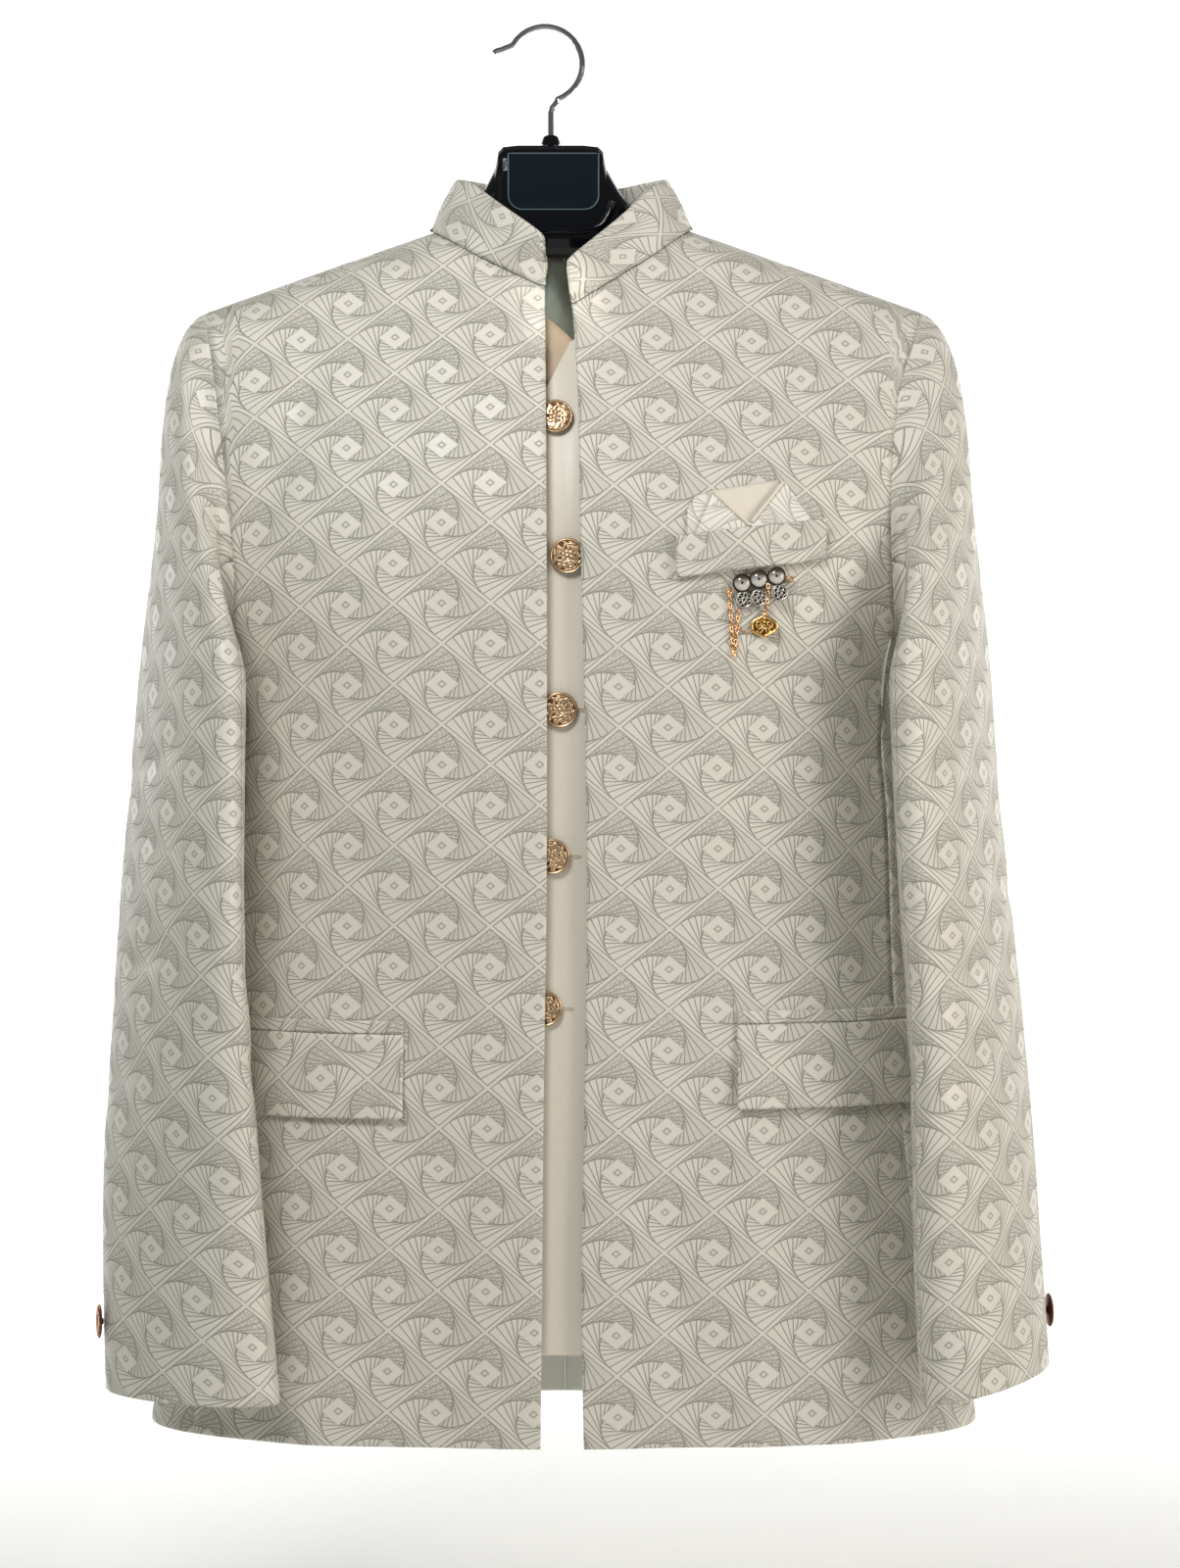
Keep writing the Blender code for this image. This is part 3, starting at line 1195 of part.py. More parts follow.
def build_brooch():
    """Brooch of three domed stones over three filigree discs, with chains and a small drop."""
    back = 1.0
    parts = []
    for seen in STONES:
        parts.append((on_chest(seen, back + 1.4), STONE_RADIUS + 0.6, 2.0))
    for seen in DISCS:
        parts.append((on_chest(seen, back + 1.2), DISC_RADIUS, 1.6))
    parts.append((on_chest(RING_SEEN, back + 1.2), 3.0, 1.2))
    parts.append((on_chest(LUG_SEEN, back + 1.2), 2.6, 1.2))
    level = min(spot[1] for spot, radius, depth in parts)
    first = None
    for i, (spot, radius, depth) in enumerate(parts):
        mesh = bpy.data.meshes.new(f"disc_{i}")
        work = bmesh.new()
        disc_cylinder(work, (spot[0], level + 0.13 * i, spot[2]), radius, depth)
        work.to_mesh(mesh)
        work.free()
        if first is None:
            first = new_object("brooch_setting", mesh, "silver")
            continue
        piece = bpy.data.objects.new(f"disc_{i}", mesh)
        cutter_collection().objects.link(piece)
        piece.hide_render = True
        piece.display_type = "WIRE"
        join = first.modifiers.new("join", "BOOLEAN")
        join.operation = "UNION"
        join.solver = "EXACT"
        join.object = piece
    for i, seen in enumerate(STONES):
        spot = on_chest(seen, 0.0)
        place = facing((spot[0], level - 1.0 + 0.13 * i, spot[2]), (0, -1, 0), SEAM_GAP)
        profile = [(0.0, 2.6), (1.9, 2.3), (3.5, 1.4), (STONE_RADIUS - 0.3, 0.0), (0.0, 0.0)]
        turned(f"brooch_stone_{i + 1}", profile, 16, "pearl", place)
    chain = [on_chest(seen, 1.6) for seen in CHAIN_SEEN]
    wire("brooch_chain", chain, 0.6, "gold", smooth=1)
    spot = on_chest(PENDANT_SEEN, 2.0)
    place = facing(spot, (0, -1, 0), 0.0)
    profile = [(0.0, 1.8), (3.0, 1.4), (5.6, 0.6), (6.4, 0.0), (5.6, -0.6), (0.0, -0.8)]
    turned("brooch_pendant", profile, 14, "gold", place)
    drop = [on_chest(DROP_SEEN[0], 2.0), on_chest(DROP_SEEN[1], 2.0)]
    wire("brooch_drop", drop, 0.5, "gold", smooth=1)


def face_piece(name, grid, wall, finish, depth, outside_y):
    """A cloth wall on the garment's front or back face."""
    normals = face_normals(grid[:, :, 0], grid[:, :, 2], depth, outside_y)
    return cloth_piece(name, grid, wall, finish, normals)


def side_normals(grid, side):
    """Normals of a side panel, taken from the section's own direction so that seams agree."""
    normals = grid_normals(grid, np.array([float(side), 0.0, 0.0]))
    x = grid[:, :, 0]
    z = grid[:, :, 2]
    front = face_normals(x[:, :1], z[:, :1], front_y, -1.0)
    back = face_normals(x[:, -1:], z[:, -1:], back_y, 1.0)
    normals[:, :1] = front
    normals[:, -1:] = back
    return normals


def build_jacket():
    """Body, sleeves, collar and pockets of the jacket."""
    for side, word in ((-1, "right"), (1, "left")):
        face_piece("front_" + word, front_panel(side), JACKET_WALL, "jacquard", front_y, -1.0)
        face_piece("back_" + word, back_panel(side), JACKET_WALL, "jacquard", back_y, 1.0)
        panel = side_panel(side)
        cloth_piece("side_" + word, panel, JACKET_WALL, "jacquard", side_normals(panel, side))
        build_sleeve(side, word)
        build_pocket(side, word)
    collar = collar_grid()
    around = collar * np.array([1.0, 1.0, 0.0])
    cloth_piece("collar", collar, COLLAR_WALL, "jacquard", grid_normals(collar, around))
    viewer = np.array([0.0, -1.0, 0.0])
    welt = welt_grid()
    cloth_piece("chest_welt", welt, WELT_WALL, "jacquard", grid_normals(welt, viewer))
    behind = square_grid(SQUARE_BACK, 1.2, 8.0)
    cloth_piece("square_back", behind, SQUARE_WALL, "satin", grid_normals(behind, viewer))
    before = square_grid(SQUARE_FRONT, 2.3, 8.0)
    cloth_piece("square_front", before, SQUARE_WALL, "jacquard", grid_normals(before, viewer))


def build_vest():
    """Fronts and back of the vest."""
    lap = vest_front(1, LAP_EDGE_X, vest_over_y)
    face_piece("vest_front_left", lap, VEST_WALL, "satin", vest_over_y, -1.0)
    under = vest_front(-1, UNDER_EDGE_X, vest_under_y)
    face_piece("vest_front_right", under, VEST_WALL, "satin", vest_under_y, -1.0)
    face_piece("vest_back", vest_back(), VEST_WALL, "satin", vest_back_y, 1.0)


def clear_scene():
    """Removes the objects that the scene starts with."""
    for obj in list(bpy.data.objects):
        bpy.data.objects.remove(obj)


def main():
    """Builds the whole suit."""
    clear_scene()
    build_jacket()
    build_vest()
    build_buttons()
    build_hanger()
    build_brooch()


main()
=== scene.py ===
"""Scene of a jodhpuri jacket and vest on a suit hanger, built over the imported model.

Shapes are worked out in millimetres in the garment's own frame, whose middle is at x = 0, and are moved and
scaled to the row's metres when a mesh is made. Left and right are the wearer's, so left has positive x.
"""

from __future__ import annotations

import logging
import math
from collections.abc import Callable
from dataclasses import dataclass
from enum import Enum

import bpy
import numpy as np
from mathutils import Matrix, Vector


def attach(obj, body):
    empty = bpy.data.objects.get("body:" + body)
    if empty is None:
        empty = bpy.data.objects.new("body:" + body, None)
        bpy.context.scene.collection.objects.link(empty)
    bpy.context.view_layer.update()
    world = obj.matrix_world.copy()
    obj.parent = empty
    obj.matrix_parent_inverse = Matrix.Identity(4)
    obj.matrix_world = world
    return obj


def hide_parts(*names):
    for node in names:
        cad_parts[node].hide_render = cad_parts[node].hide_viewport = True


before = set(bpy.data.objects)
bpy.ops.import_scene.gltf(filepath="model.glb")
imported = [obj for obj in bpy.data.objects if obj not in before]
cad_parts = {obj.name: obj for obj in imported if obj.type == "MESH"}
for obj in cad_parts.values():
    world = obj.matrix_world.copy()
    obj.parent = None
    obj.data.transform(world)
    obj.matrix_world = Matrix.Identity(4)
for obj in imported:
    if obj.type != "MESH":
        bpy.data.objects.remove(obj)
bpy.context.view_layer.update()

LOG = logging.getLogger("jodhpuri_suit")

MM = 0.001
GARMENT_X = 8.0
SEAM_GAP = 0.1
ARMHOLE_GAP = 0.1
JACKET_WALL = 1.8
VEST_WALL = 1.4
COLLAR_WALL = 2.6
VEST_INSET = 8.5
EYE = (24.0, -2000.0, -462.0)
AHEAD = np.array([0.0, -1.0, 0.0])

Array = np.ndarray
Table = tuple[tuple[float, ...], ...]
Depth = Callable[[Array, Array], Array]


class Side(Enum):
    """A side of the wearer, with the sign of its x."""

    RIGHT = -1
    LEFT = 1

    @property
    def word(self) -> str:
        """The side's word in node names."""
        return self.name.lower()


class Hold(Enum):
    HUNG = "hung"
    LAID = "laid"
    FOLDED = "folded"
    STRETCHED = "stretched"


BODY_COLUMNS = ("z", "half_width", "front_depth", "back_depth", "squareness", "side_set_back")
BODY_SECTIONS = (
    (-100, 268, 82, 74, 2.4, 0),
    (-200, 264, 86, 76, 2.4, 0),
    (-300, 240, 90, 78, 2.4, 0),
    (-350, 220, 90, 79, 2.4, 0),
    (-388, 204, 90, 80, 2.45, 3),
    (-406, 202, 90, 79, 2.45, 7),
    (-430, 204, 89, 77, 2.5, 12),
    (-480, 211, 88, 74, 2.5, 18),
    (-560, 217, 86, 71, 2.5, 22),
    (-640, 224, 90, 74, 2.5, 20),
    (-740, 238, 94, 82, 2.45, 16),
    (-850, 253, 97, 88, 2.4, 10),
)

FOLD_COLUMNS = ("x", "z_top", "z_foot", "width", "depth")
FRONT_FOLDS = (
    (-150, -450, -860, 26, 3.5),
    (-78, -520, -860, 30, -2.5),
    (70, -470, -860, 30, -3),
    (166, -470, -860, 24, 4),
    (118, -560, -860, 22, 2),
    (-182, -330, -560, 14, -3),
    (182, -300, -560, 14, -3.5),
)
BACK_FOLDS = (
    (-95, -420, -860, 28, 4),
    (0, -500, -860, 24, 3),
    (88, -380, -860, 30, 4),
    (-165, -260, -560, 18, 4),
    (160, -250, -540, 18, 4),
)

CREASE_COLUMNS = ("centre_x", "centre_z", "angle", "length", "width", "height", "bend")
FRONT_CREASES = (
    (-168, -272, 70, 170, 11, -1.9, 6),
    (-118, -236, 25, 120, 9, -1.1, 4),
    (-74, -352, 104, 200, 16, -1.2, 5),
    (-150, -598, 16, 110, 9, -1.4, 3),
    (-58, -706, 66, 150, 14, -1.6, 5),
    (158, -262, 112, 160, 11, -2, -6),
    (108, -228, 152, 120, 9, -1.1, -4),
    (46, -452, 82, 190, 14, -1.3, 5),
    (142, -596, 160, 100, 9, -1.4, 3),
    (64, -752, 102, 150, 14, -1.7, 4),
)
BACK_CREASES = (
    (4, -172, 1, 150, 8, -1.8, 4),
    (-62, -214, 160, 110, 9, -1.2, 3),
    (72, -226, 22, 124, 9, -1.4, -3),
    (-150, -302, 110, 170, 12, -2.2, 6),
    (152, -312, 68, 166, 12, -2.2, -6),
    (-84, -512, 15, 146, 10, -1.9, 4),
    (62, -548, 166, 158, 10, -2.1, -4),
    (-10, -612, 6, 124, 9, -1.4, 3),
    (112, -668, 150, 96, 9, -1.2, 2),
)
VEST_CREASES = (
    (7, -292, 88, 120, 5, 0.9, 1),
    (9, -432, 92, 150, 5, 1.1, -1),
    (6, -640, 89, 190, 6, 1, 1),
    (-92, -402, 62, 140, 10, -1.4, 4),
    (96, -396, 118, 130, 10, -1.2, -4),
)

EDGE_COLUMNS = ("z", "right_front_edge_x", "left_front_edge_x")
FRONT_EDGES = (
    (-166, -11, 4.8),
    (-222, -10.2, 8.4),
    (-318, -9.4, 10.4),
    (-432, -9.2, 13),
    (-522, -9.4, 14.2),
    (-642, -11, 12.8),
    (-762, -12, 11),
    (-860, -13, 12.6),
)

ARMHOLE_COLUMNS = ("angle", "x_right", "x_left", "z")
ARMHOLE = (
    (0, 218, 218, -173.2),
    (22, 213.5, 210.5, -196),
    (42, 209.5, 202.5, -222),
    (62, 205.5, 198, -252),
    (82, 201, 195.5, -286),
    (102, 198, 195.5, -316),
    (122, 196.5, 197, -342),
    (145, 199.5, 199.5, -370),
    (163, 202, 202, -384),
    (180, 204, 204, -388),
    (197, 202, 202, -384),
    (215, 200.5, 200.5, -370),
    (238, 197, 197, -340),
    (262, 196.5, 196.5, -300),
    (285, 199, 199, -264),
    (308, 204, 204, -230),
    (330, 210, 210, -202),
    (360, 218, 218, -173.2),
)
SPLIT_ANGLE = 112.0
FRONT_SEAM_ANGLE = 139.2
BACK_SEAM_ANGLE = 220.8
SEAM_BLEND = 90.0
SEAM_RATIO_COLUMNS = ("z", "front_seam_ratio", "back_seam_ratio")
SEAM_RATIOS = (
    (-370, 0.945, 0.945),
    (-480, 0.925, 0.900),
    (-640, 0.900, 0.860),
    (-850, 0.875, 0.830),
)

SLEEVE_COLUMNS = ("z", "inner_x", "outer_x", "middle_y", "long_half", "short_half")
SLEEVES = {
    Side.RIGHT: (
        (-404, 186, 264.4, -28, 82, 24),
        (-470, 186, 269, -36, 80, 24),
        (-540, 185.5, 272.6, -46, 76, 25),
        (-610, 181, 274.6, -58, 72, 26),
        (-680, 175.5, 276, -73, 67, 27),
        (-750, 169, 272.8, -89, 61, 28),
        (-818, 162, 267.6, -104, 57, 30),
    ),
    Side.LEFT: (
        (-404, 192, 265, -28, 82, 24),
        (-470, 194, 269, -34, 80, 24),
        (-540, 197.5, 275, -42, 76, 25),
        (-610, 201.5, 280.5, -50, 71, 26),
        (-680, 204, 285, -58, 65, 27),
        (-750, 205, 288, -66, 59, 28),
        (-822, 208.6, 291, -74, 54, 30),
    ),
}
CUFF_RISE = {Side.RIGHT: 2.0, Side.LEFT: 14.0}

COLLAR_COLUMNS = ("base_x", "base_z", "top_x", "top_y", "top_z")
COLLAR = (
    (-11, -165, -11.5, -53, -140),
    (-15, -163.6, -14.5, -51, -132),
    (-42, -150, -39, -36, -112),
    (-64, -137, -56, -18, -97),
    (-81, -124.3, -66, 4, -90.5),
    (-66, -124, -56, 26, -88.5),
    (-36, -130, -32, 38, -91),
    (0, -133, 0, 42, -93),
    (36, -130, 32, 38, -91),
    (64, -124, 54, 26, -88.5),
    (78, -123.2, 63, 4, -90.5),
    (62, -138, 53, -18, -100),
    (38, -155, 33, -36, -121),
    (9, -174, 5, -50, -146),
    (5, -176, 1.6, -52, -154),
)

VEST_ARM = (
    (198.0, -430.0),
    (186.0, -410.0),
    (164.0, -370.0),
    (148.0, -320.0),
    (141.0, -260.0),
    (141.0, -205.0),
    (144.0, -155.0),
)


def look_up(table: Table, column: int, value: Array | float) -> Array:
    """Smooth value of a column of a table whose first column runs one way: a cubic through its rows.

    Args:
        table: rows of numbers, the first of each being the key.
        column: index of the wanted column.
        value: keys to look up; those past the ends take the end's value.

    Returns:
        The values at those keys.
    """
    rows = np.array(table, dtype=float)
    if rows[0, 0] > rows[-1, 0]:
        rows = rows[::-1]
    keys = rows[:, 0]
    data = rows[:, column]
    slopes = np.gradient(data, keys)
    clipped = np.clip(np.asarray(value, dtype=float), keys[0], keys[-1])
    i = np.clip(np.searchsorted(keys, clipped) - 1, 0, len(keys) - 2)
    span = keys[i + 1] - keys[i]
    t = (clipped - keys[i]) / span
    start = (2 * t**3 - 3 * t**2 + 1) * data[i] + (t**3 - 2 * t**2 + t) * span * slopes[i]
    end = (3 * t**2 - 2 * t**3) * data[i + 1] + (t**3 - t**2) * span * slopes[i + 1]
    return start + end


def smooth_step(value: Array | float) -> Array:
    """Rises from 0 to 1 with level ends."""
    value = np.clip(value, 0.0, 1.0)
    return value * value * (3 - 2 * value)


def resample(line: Array, count: int) -> Array:
    """Points along a polyline at even steps of length.

    Args:
        line: points, one a row.
        count: how many points come back.

    Returns:
        The new points.
    """
    line = np.asarray(line, dtype=float)
    travelled = np.concatenate([[0], np.cumsum(np.linalg.norm(np.diff(line, axis=0), axis=1))])
    wanted = np.linspace(0, 1, count) * travelled[-1]
    return np.stack([np.interp(wanted, travelled, line[:, k]) for k in range(line.shape[1])], axis=1)


def patch(low: Array, high: Array, near: Array, far: Array, across: Array, up: Array) -> Array:
    """Fills a patch between four edges: each point blends the edges and takes off the blend of the corners.

    Args:
        low: lower edge.
        high: upper edge.
        near: edge where low starts.
        far: edge where low ends.
        across: share of each column.
        up: share of each row.

    Returns:
        Grid of points, rows by columns.
    """
    u = across[None, :, None]
    v = up[:, None, None]
    blend = (1 - v) * low[None] + v * high[None] + (1 - u) * near[:, None] + u * far[:, None]
    corners = (1 - u) * (1 - v) * low[0] + u * (1 - v) * low[-1] + (1 - u) * v * high[0] + u * v * high[-1]
    return blend - corners


def between(near: Array, far: Array, across: Array) -> Array:
    """Grid of straight rows from one line of points to another, at shares of the way."""
    return near[:, None] * (1 - across[None, :, None]) + far[:, None] * across[None, :, None]


def upright(x: Array | float, z: Array) -> Array:
    """Points (x, z) of a line given by its widths and heights."""
    return np.stack([np.broadcast_to(x, z.shape), z], axis=1)


def true_place(seen: tuple[float, float], y: float) -> tuple[float, float]:
    """Real x and z of something seen at depth y, with the picture's perspective taken out.

    Args:
        seen: x and z on the plane y = 0 where it appears.
        y: its depth.

    Returns:
        Its x and z.
    """
    share = 1 - y / EYE[1]
    eye_x = EYE[0] - GARMENT_X
    return eye_x + (seen[0] - eye_x) * share, EYE[2] + (seen[1] - EYE[2]) * share


def collar_line(column: int, key: Array) -> Array:
    """Smooth value of a column of the collar's table along it."""
    steps = np.linspace(0, 1, len(COLLAR))
    return look_up(tuple((step, row[column]) for step, row in zip(steps, COLLAR)), 1, key)


class Shape:
    """Faces of the garment: their depth at each width and height, and the outlines of its panels."""

    ridge_peak_z = -94.6
    ridge_slope = 0.358
    ridge_blunt = 25.0
    ridge_round = 25.0
    front_drop = 230.0
    back_drop = 200.0
    hem_z = -850.0
    vest_hem_z = -797.0

    def ridge_z(self, x: Array | float) -> Array:
        """Height of the shoulder line: a slope made blunt at the middle."""
        return self.ridge_peak_z - self.ridge_slope * np.sqrt(np.square(x) + self.ridge_blunt**2)

    @staticmethod
    def folds(x: Array, z: Array, table: Table) -> Array:
        """Soft upright folds: bell curves across, fading in from the top, out at the foot.

        Args:
            x: widths.
            z: heights.
            table: one row a fold, as in FOLD_COLUMNS.

        Returns:
            Height of the folds toward the outside.
        """
        total = np.zeros(np.broadcast(x, z).shape)
        for centre, top, foot, width, depth in table:
            along = smooth_step((top - z) / (0.35 * (top - foot))) * smooth_step((z - foot + 60.0) / 60.0)
            total = total + depth * along * np.exp(-(((x - centre) / width) ** 2))
        return total

    def shell_depth(self, x: Array, z: Array, inset: float, column: int, drop: float) -> Array:
        """Depth from the middle plane to a face: a superellipse that grows out of the rounded shoulder.

        Args:
            x: widths.
            z: heights.
            inset: distance inside the jacket.
            column: depth column of BODY_SECTIONS.
            drop: height over which the full depth is reached.

        Returns:
            The depth.
        """
        below = np.clip(self.ridge_z(x) - inset - z, 0.0, None)
        size = self.ridge_round - 0.6 * inset
        shoulder = size * np.sqrt(1 - (1 - np.clip(below / size, 0.0, 1.0)) ** 2)
        half = look_up(BODY_SECTIONS, 1, z) - inset
        power = look_up(BODY_SECTIONS, 4, z)
        share = (1 - np.clip(np.abs(x) / half, 0.0, 1.0) ** power) ** (1 / power)
        full = (look_up(BODY_SECTIONS, column, z) - inset) * share
        return shoulder + (full - shoulder) * np.sin(0.5 * math.pi * np.clip(below / drop, 0.0, 1.0))

    @staticmethod
    def side_shift(x: Array, z: Array) -> Array:
        """How far the sides of the body lie behind its middle plane: grows with the square of the width."""
        ratio = np.clip(np.abs(x) / look_up(BODY_SECTIONS, 1, z), 0.0, 1.0)
        return look_up(BODY_SECTIONS, 5, z) * ratio**2

    def front_y(self, x: Array, z: Array) -> Array:
        """Outer face of the jacket's front."""
        depth = self.shell_depth(x, z, 0.0, 2, self.front_drop)
        return self.side_shift(x, z) - depth - self.folds(x, z, FRONT_FOLDS) - crease_sum(x, z, FRONT_CREASES)

    def back_y(self, x: Array, z: Array) -> Array:
        """Outer face of the jacket's back."""
        depth = self.shell_depth(x, z, 0.0, 3, self.back_drop)
        return self.side_shift(x, z) + depth + self.folds(x, z, BACK_FOLDS) + crease_sum(x, z, BACK_CREASES)

    def vest_over_y(self, x: Array, z: Array) -> Array:
        """Outer face of the vest's left front, which laps over."""
        depth = self.shell_depth(x, z, VEST_INSET, 2, self.front_drop)
        return self.side_shift(x, z) - depth - crease_sum(x, z, VEST_CREASES)

    def vest_under_y(self, x: Array, z: Array) -> Array:
        """Outer face of the vest's right front, which dips under the lap."""
        return self.vest_over_y(x, z) + (VEST_WALL + 2 * SEAM_GAP) * smooth_step((x + 62.0) / 30.0)

    def vest_back_y(self, x: Array, z: Array) -> Array:
        """Outer face of the vest's back."""
        return self.side_shift(x, z) + self.shell_depth(x, z, VEST_INSET, 3, self.back_drop)

    @staticmethod
    def armhole_x(side: Side, angle: Array | float) -> Array:
        """Distance of the armhole from the middle."""
        return look_up(ARMHOLE, 2 if side is Side.LEFT else 1, angle)

    def seam_x(self, column: int, z: Array, side: Side) -> Array:
        """Width of a side seam, led into the armhole at its top.

        Args:
            column: 1 for the front seam, 2 for the back seam.
            z: heights.
            side: side of the body.

        Returns:
            The signed width.
        """
        angle = FRONT_SEAM_ANGLE if column == 1 else BACK_SEAM_ANGLE
        mix = smooth_step((z - look_up(ARMHOLE, 3, angle) + SEAM_BLEND) / SEAM_BLEND)
        free = look_up(SEAM_RATIOS, column, z) * look_up(BODY_SECTIONS, 1, z)
        return side.value * (free * (1 - mix) + self.armhole_x(side, angle) * mix)

    def shoulder_tip(self, side: Side) -> Array:
        """Point (x, z) where the shoulder seam meets the armhole."""
        reach = float(self.armhole_x(side, 0.0))
        return np.array([side.value * reach, float(self.ridge_z(reach))])

    def on_ridge(self, line: Array, neck_end: Array, inset: float) -> Array:
        """Puts the point nearest the neck's end, and those beyond it, on the shoulder line.

        Args:
            line: points (x, z).
            neck_end: where the neck meets the shoulder.
            inset: distance inside the jacket.

        Returns:
            The moved points.
        """
        line = line.copy()
        line[int(np.argmin(np.linalg.norm(line - neck_end, axis=1)))] = neck_end
        beyond = np.abs(line[:, 0]) >= abs(neck_end[0]) - 0.01
        line[beyond, 1] = self.ridge_z(line[beyond, 0]) - inset
        return line

    @staticmethod
    def neck_line(side: Side, front: bool) -> Array:
        """Points (x, z) of the neck seam from the middle to the shoulder, along the collar's base.

        Args:
            side: side of the body.
            front: front or back.

        Returns:
            The points.
        """
        ends = {
            (Side.RIGHT, True): (0, 4),
            (Side.LEFT, True): (14, 10),
            (Side.RIGHT, False): (7, 4),
            (Side.LEFT, False): (7, 10),
        }
        first, last = ends[side, front]
        key = np.linspace(first, last, 40) / (len(COLLAR) - 1)
        return np.stack([collar_line(0, key), collar_line(1, key)], axis=1)

    @staticmethod
    def laid_out(flat: Array, depth: Depth, proud: float) -> Array:
        """Grid of points (x, z) put on a face."""
        y = depth(flat[..., 0], flat[..., 1]) + proud
        return np.stack([flat[..., 0], y, flat[..., 1]], axis=-1)

    @staticmethod
    def face_normals(points: Array, depth: Depth, outside_y: float) -> Array:
        """Unit normals of a face y = f(x, z), from its slopes.

        Args:
            points: grid of points on it.
            depth: y of the face.
            outside_y: sign of y that is outside.

        Returns:
            The normals.
        """
        step = 0.05
        x = points[..., 0]
        z = points[..., 2]
        slope_x = (depth(x + step, z) - depth(x - step, z)) / (2 * step)
        slope_z = (depth(x, z + step) - depth(x, z - step)) / (2 * step)
        return unit(np.stack([-slope_x, np.ones_like(slope_x), -slope_z], axis=-1) * outside_y)


LAP_EDGE_X = -24.0
UNDER_EDGE_X = 22.0
COLLAR_GAP = 0.6
COLLAR_BULGE = 1.6
ROLL_STEPS = (0.0, 0.5, 1.4, 3.2)
ROLL_DROPS = (0.9, 0.42, 0.12, 0.0)
VEST_NECK_COLUMNS = ("x", "z")
VEST_NECKS = {
    Side.LEFT: ((-24.0, -246.0), (-8.4, -222.5), (4.7, -197.0), (34.0, -183.0), (62.0, -160.0)),
    Side.RIGHT: ((22.0, -204.0), (5.0, -196.0), (1.0, -191.5), (-10.0, -181.5), (-34.0, -172.0),
                 (-62.0, -160.0)),
}
VEST_BACK_NECK = ((0.0, -137.0), (40.0, -135.5), (66.0, -131.0))


def crease_sum(x: Array, z: Array, table: Table) -> Array:
    """Height of slanting creases: each a bell curve across a slightly bent line, fading at both ends.

    Args:
        x: widths.
        z: heights.
        table: one row a crease, as in CREASE_COLUMNS, its angle in degrees from level.

    Returns:
        The summed height, troughs being negative.
    """
    total = np.zeros(np.broadcast(x, z).shape)
    for centre_x, centre_z, angle, length, width, height, bend in table:
        turn = math.radians(angle)
        along = ((x - centre_x) * math.cos(turn) + (z - centre_z) * math.sin(turn)) / (0.5 * length)
        off = (z - centre_z) * math.cos(turn) - (x - centre_x) * math.sin(turn) - bend * along**2
        total = total + height * np.exp(-((off / width) ** 2)) * smooth_step(1.6 * (1 - np.abs(along)))
    return total


def unit(vectors: Array) -> Array:
    """Vectors of length one along the last axis."""
    return vectors / np.maximum(np.linalg.norm(vectors, axis=-1, keepdims=True), 1e-9)


def grid_normals(points: Array, outside: Array) -> Array:
    """Unit normals of a grid: the cross product of its steps, turned to the outside."""
    normal = unit(np.cross(np.gradient(points, axis=1), np.gradient(points, axis=0)))
    return -normal if np.mean(np.sum(normal * outside, axis=2)) < 0 else normal


def cloth_lengths(points: Array) -> Array:
    """Lengths in millimetres along each row of a grid, from its first column."""
    steps = np.linalg.norm(np.diff(points, axis=1), axis=2)
    return np.concatenate([np.zeros((len(points), 1)), np.cumsum(steps, axis=1)], axis=1)


def add_lines(points: Array, at_start: bool) -> Array:
    """Adds rows close to the first or last row of a grid, so that its edge can be rounded.

    Args:
        points: grid of points.
        at_start: at the first row rather than the last.

    Returns:
        The grid with its extra rows.
    """
    work = points if at_start else points[::-1]
    step = work[1] - work[0]
    size = np.linalg.norm(step, axis=-1, keepdims=True)
    extra = [work[0] + step * np.minimum(reach / size, 0.9 * k / len(ROLL_STEPS) + 0.1 * (reach > 0))
             for k, reach in enumerate(ROLL_STEPS)]
    work = np.concatenate([np.array(extra), work[1:]])
    return work if at_start else work[::-1]


@dataclass(frozen=True)
class Rolled:
    """Edges of a cloth grid that are turned and rounded, rather than sewn to a neighbour."""

    low: bool = False
    high: bool = False
    near: bool = False
    far: bool = False

    def edges(self) -> list[tuple[int, int]]:
        """The rolled edges: the grid's axis across each one, and 0 for its start or 1 for its end."""
        wanted = {(0, 0): self.low, (0, 1): self.high, (1, 0): self.near, (1, 1): self.far}
        return [edge for edge, rolled in wanted.items() if rolled]

    def refine(self, points: Array) -> Array:
        """Adds the lines that the rounding needs.

        Args:
            points: grid of points.

        Returns:
            The refined grid.
        """
        for axis, end in self.edges():
            points = add_lines(points.swapaxes(0, axis), end == 0).swapaxes(0, axis)
        return points

    def drop(self, rows: int, columns: int, wall: float) -> Array:
        """How far each point is drawn toward the middle of the wall.

        Args:
            rows: rows of the refined grid.
            columns: its columns.
            wall: thickness.

        Returns:
            The drop of each point.
        """
        depth = np.zeros((rows, columns))
        for axis, end in self.edges():
            lines = depth.swapaxes(0, axis)
            for k, share in enumerate(ROLL_DROPS):
                line = -1 - k if end else k
                lines[line] = np.maximum(lines[line], 0.5 * wall * share)
        return depth


